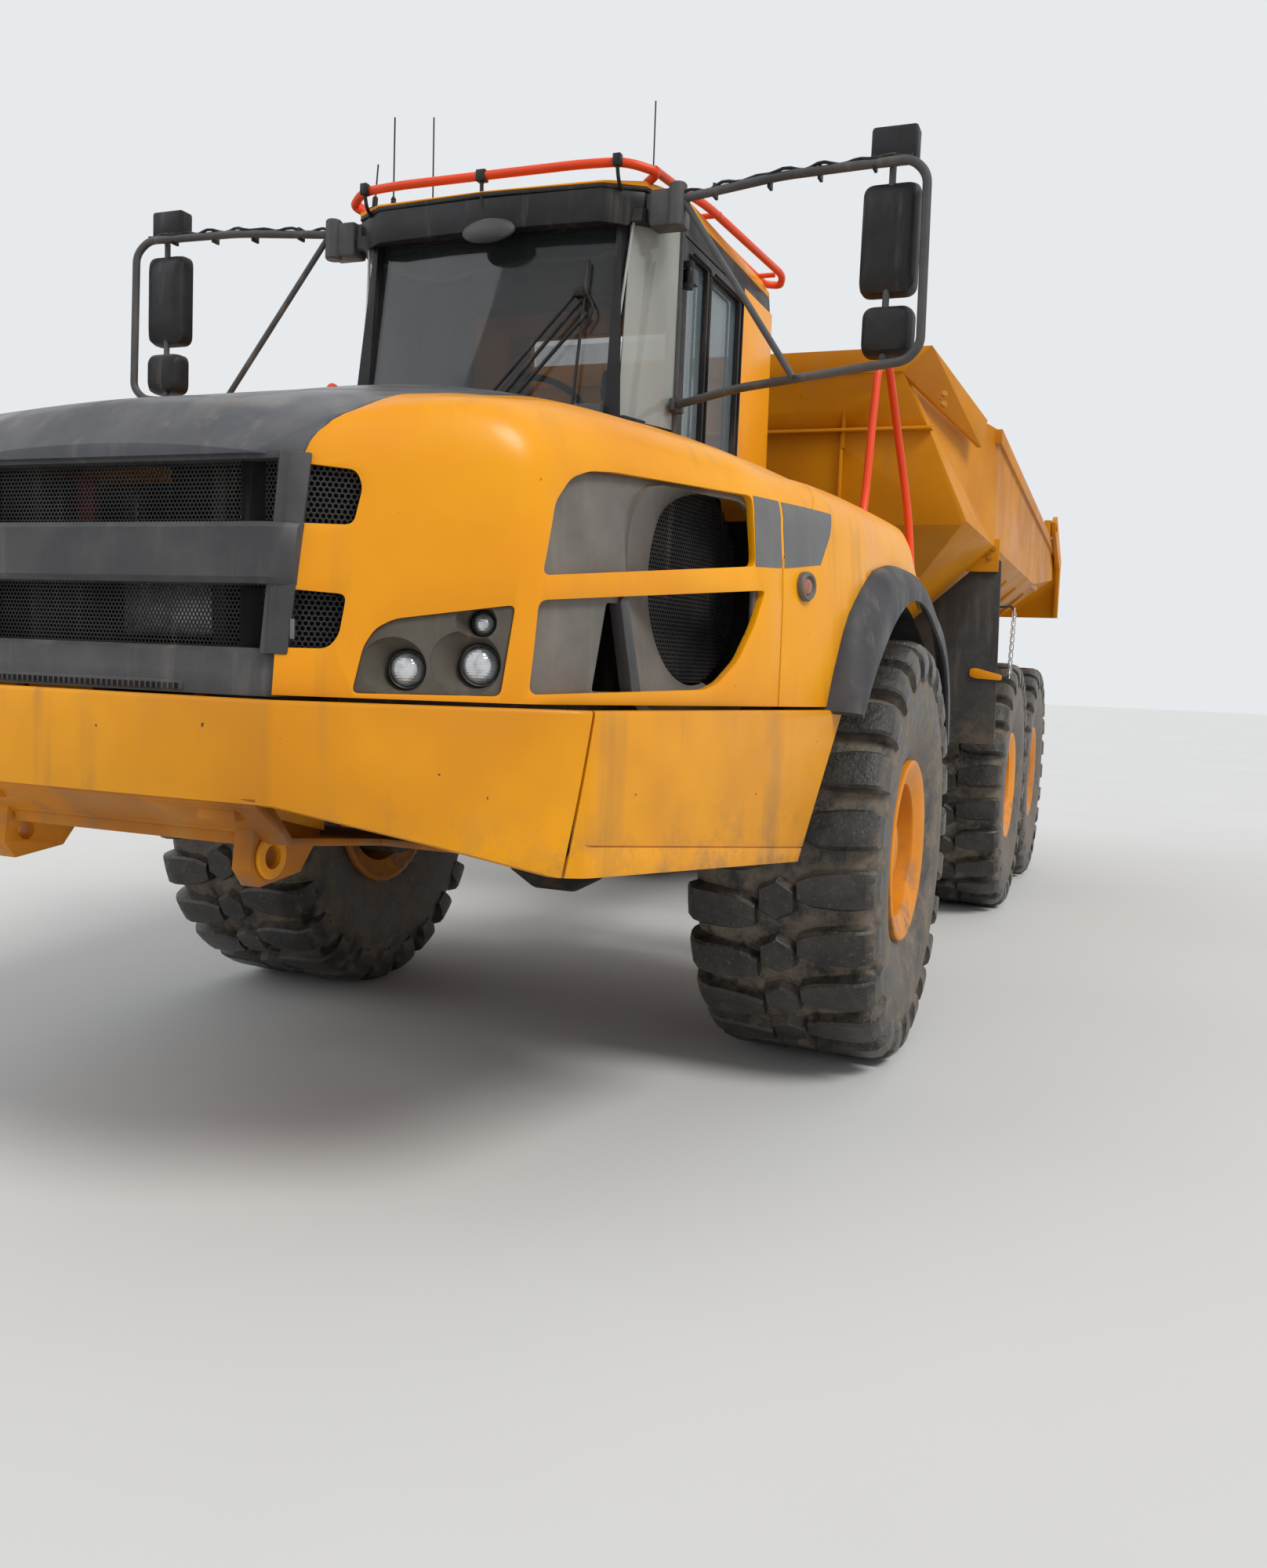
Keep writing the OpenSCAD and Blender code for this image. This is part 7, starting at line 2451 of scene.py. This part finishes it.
@dataclass
class Bed:
    """The tipping body with its canopy, ribs, flaps, tailgate and chain."""

    body: str = "bed"

    def build(self, bolt: Tree, chain: Tree) -> None:
        """Makes the body's pieces.

        Args:
            bolt: The bolt tree.
            chain: The chain tree.
        """
        soften("bed", "bed_skin", self.body, Finish.BODY_AMBER, 0.006)
        self.trim()
        self.chains(chain)
        bolts = Bolts("bed_bolts", self.body, Finish.RIM_DARK, 0.014, 0.012)
        for z in (3.225, 3.28):
            bolts.both((-1.545, 1.5, z), (0.9, 0.4, 0.1))
        for y, z in ((1.558, 2.567), (1.609, 2.547), (1.661, 2.577), (1.596, 2.592), (1.64, 2.52)):
            bolts.both((-2.879, y, z), (1, 0, 0))
        bolts.line((TAIL_X + 0.32, 1.627, 3.02), (TAIL_X + 0.14, 1.627, 2.98), 3, (0, 1, 0))
        bolts.make(bolt)
        soften("tailgate", "tailgate_skin", "tailgate", Finish.BODY_AMBER, 0.006)
        soften("mudflaps", "mudflap_skin", self.body, Finish.FLAP, 0.004)

    def trim(self) -> None:
        """Makes the front flange, the stiffening ribs and the flaps' arms."""
        trim = Shape()
        trim.box((-1.64, -1.44, 3.1), (-1.56, 1.44, 3.118), 0.004)
        for y in (-0.93, -0.31, 0.31, 0.93):
            trim.box((-1.618, y - 0.008, 2.64), (-1.585, y + 0.008, 3.095), 0.003)
        trim.put("bed_front_ribs", self.body, Finish.BODY_AMBER)
        sides = Shape()
        for x in (-3.35, -4.05, -4.75, -5.45, -6.15):
            sides.box((x - 0.045, 1.602, 2.62), (x + 0.045, 1.636, 3.02), 0.008)
        sides.box((-6.6, 1.6, 2.575), (-2.83, 1.64, 2.625), 0.008)
        for x in (-3.2, -3.9, -4.6, -5.3, -6.0):
            sides.prism(((0.82, 1.81), (1.58, 2.56), (1.58, 2.5), (0.88, 1.81)), x - 0.01, x + 0.01,
                        CROSS_PLANE, 0.003)
        sides.put_both("bed_side_ribs", self.body, Finish.BODY_AMBER)
        arms = Shape()
        arms.prism(rounded(((1.56, 1.752), (1.56, 1.8), (1.6, 1.806), (1.765, 1.765), (1.765, 1.73),
                            (1.6, 1.738)), 0.014, 3),
                   -2.902, -2.884, CROSS_PLANE, 0.003)
        arms.put_both("flap_arms", self.body, Finish.AMBER)

    def chains(self, chain: Tree) -> None:
        """Makes the flap's chains, hanging from the body to the flap's arm.

        Args:
            chain: The chain tree.
        """
        points = []
        for side in (-1, 1):
            for k in range(17):
                p = Vector((-2.955, side * 1.812, 2.18)).lerp(Vector((-2.955, side * 1.806, 1.77)), k / 16)
                facing = (1, 0, 0) if k % 2 else (0, 1, 0)
                points.append((p, facing, (0, 0, 1)))
        made = chain.run(point_cloud("flap_chains", points), Finish.CHROME, link=0.04, wire=0.0075)
        keep(smooth(made, 60), self.body, Finish.CHROME)
        hooks = Shape()
        hooks.tube(((-2.955, 1.6, 2.2), (-2.955, 1.79, 2.215), (-2.955, 1.812, 2.195)), 0.016, 0.02, 8)
        hooks.tube(((-2.955, 1.7, 1.756), (-2.955, 1.795, 1.752), (-2.955, 1.806, 1.772)), 0.012, 0.02, 8)
        hooks.put_both("flap_chain_hooks", self.body, Finish.CHASSIS)


@dataclass
class Studio:
    """The camera, floor, lights and world."""

    eye: Point = (8.2938, 2.6662, 1.681)
    yaw: float = 0.3789
    pitch: float = -0.0866
    roll: float = 0.0421
    lens: float = 29.41
    key: float = 2.0
    sky: float = 0.66
    floor: Point = (0.62, 0.62, 0.61)
    floor_radius: float = 150.0
    soft_light: Point = (0.94, 0.97, 1.0)
    backdrop: Point = (0.8, 0.82, 0.84)

    def camera(self) -> None:
        """Sets the camera at the picture's viewing angle."""
        d = Vector((-math.cos(self.yaw) * math.cos(self.pitch), -math.sin(self.yaw) * math.cos(self.pitch),
                    math.sin(self.pitch)))
        side = d.cross(Vector((0, 0, 1))).normalized()
        up = side.cross(d)
        right = math.cos(self.roll) * side + math.sin(self.roll) * up
        top = -math.sin(self.roll) * side + math.cos(self.roll) * up
        data = bpy.data.cameras.new("picture camera")
        data.lens, data.sensor_width, data.sensor_fit = self.lens, 36.0, "AUTO"
        data.clip_start, data.clip_end = 0.05, 400.0
        made = scene_object("picture_camera", data)
        made.matrix_world = Matrix.Translation(self.eye) @ Matrix((right, top, -d)).transposed().to_4x4()
        bpy.context.scene.camera = made

    def sun(self, name: str, toward: Point, energy: float, angle: float, color: Point) -> None:
        """Adds a soft distant lamp.

        Args:
            name: The lamp's name.
            toward: The way from the machine to the lamp.
            energy: Strength in watts a square metre.
            angle: Angular size in degrees.
            color: The lamp's colour.
        """
        data = bpy.data.lights.new(name, "SUN")
        data.energy, data.angle, data.color = energy, math.radians(angle), color
        scene_object(name, data).rotation_euler = Vector(toward).to_track_quat("Z", "Y").to_euler()

    def world(self) -> None:
        """Makes a pale world that lights softly and shows pale behind the truck."""
        world = bpy.data.worlds.new("studio")
        bpy.context.scene.world = world
        world.use_nodes = True
        nodes, join = world.node_tree.nodes, world.node_tree.links.new
        nodes.clear()
        paths = nodes.new("ShaderNodeLightPath")
        seen = paths.outputs["Is Camera Ray"]
        for kind in ("Is Transmission Ray", "Is Glossy Ray"):
            either = nodes.new("ShaderNodeMath")
            either.operation = "MAXIMUM"
            join(seen, either.inputs[0])
            join(paths.outputs[kind], either.inputs[1])
            seen = either.outputs[0]
        mix = nodes.new("ShaderNodeMixShader")
        join(seen, mix.inputs[0])
        for socket, color, strength in ((1, self.soft_light, self.sky), (2, self.backdrop, 1.0)):
            light = nodes.new("ShaderNodeBackground")
            light.inputs["Color"].default_value = (*color, 1)
            light.inputs["Strength"].default_value = strength
            join(light.outputs[0], mix.inputs[socket])
        join(mix.outputs[0], nodes.new("ShaderNodeOutputWorld").inputs["Surface"])

    def ground(self) -> None:
        """Makes the pale floor."""
        g = Graph("studio floor")
        grain = g.mix(g.ramp(g.noise(0.35, 4), 0.3, 0.7), self.floor, tuple(c * 0.97 for c in self.floor))
        material = g.finish(Base_Color=grain, Roughness=0.9)
        mesh = bpy.data.meshes.new("studio_floor")
        edge = [(self.floor_radius * math.cos(a), self.floor_radius * math.sin(a), 0.0)
                for a in full_turn(96)]
        mesh.from_pydata(edge, [], [list(range(len(edge)))])
        mesh.materials.append(material)
        scene_object("studio_floor", mesh)

    def build(self) -> None:
        """Makes everything."""
        bpy.context.scene.view_settings.view_transform = "Standard"
        self.camera()
        self.world()
        self.ground()
        self.sun("key lamp", (0.35, 0.8, 0.95), self.key, 22, (1.0, 0.985, 0.96))
        self.sun("fill lamp", (0.7, -0.9, 0.8), 0.45, 40, (0.95, 0.97, 1.0))


def main() -> None:
    """Builds the truck's pieces in order."""
    logging.basicConfig(level=logging.INFO, format="%(name)s %(message)s")
    Studio().build()
    bolt, comb, ring, row, chain = bolt_tree(), honeycomb_tree(), ring_tree(), row_tree(), chain_tree()
    skin = Skin()
    hood = Hood(skin)
    front_bolts = Bolts("front_bolts", "front", Finish.RIM_DARK)
    hood.build()
    Grille().build(comb, row)
    HoodSides(hood).build(comb)
    Headlamps(hood).build()
    Bumper().build(front_bolts)
    Fenders(skin).build()
    Cab().build()
    Door().build()
    RoofGear().build()
    Chassis().build()
    Wheels().build(ring, bolt)
    Bed().build(bolt, chain)
    front_bolts.make(bolt)


if __name__ == "__main__":
    main()
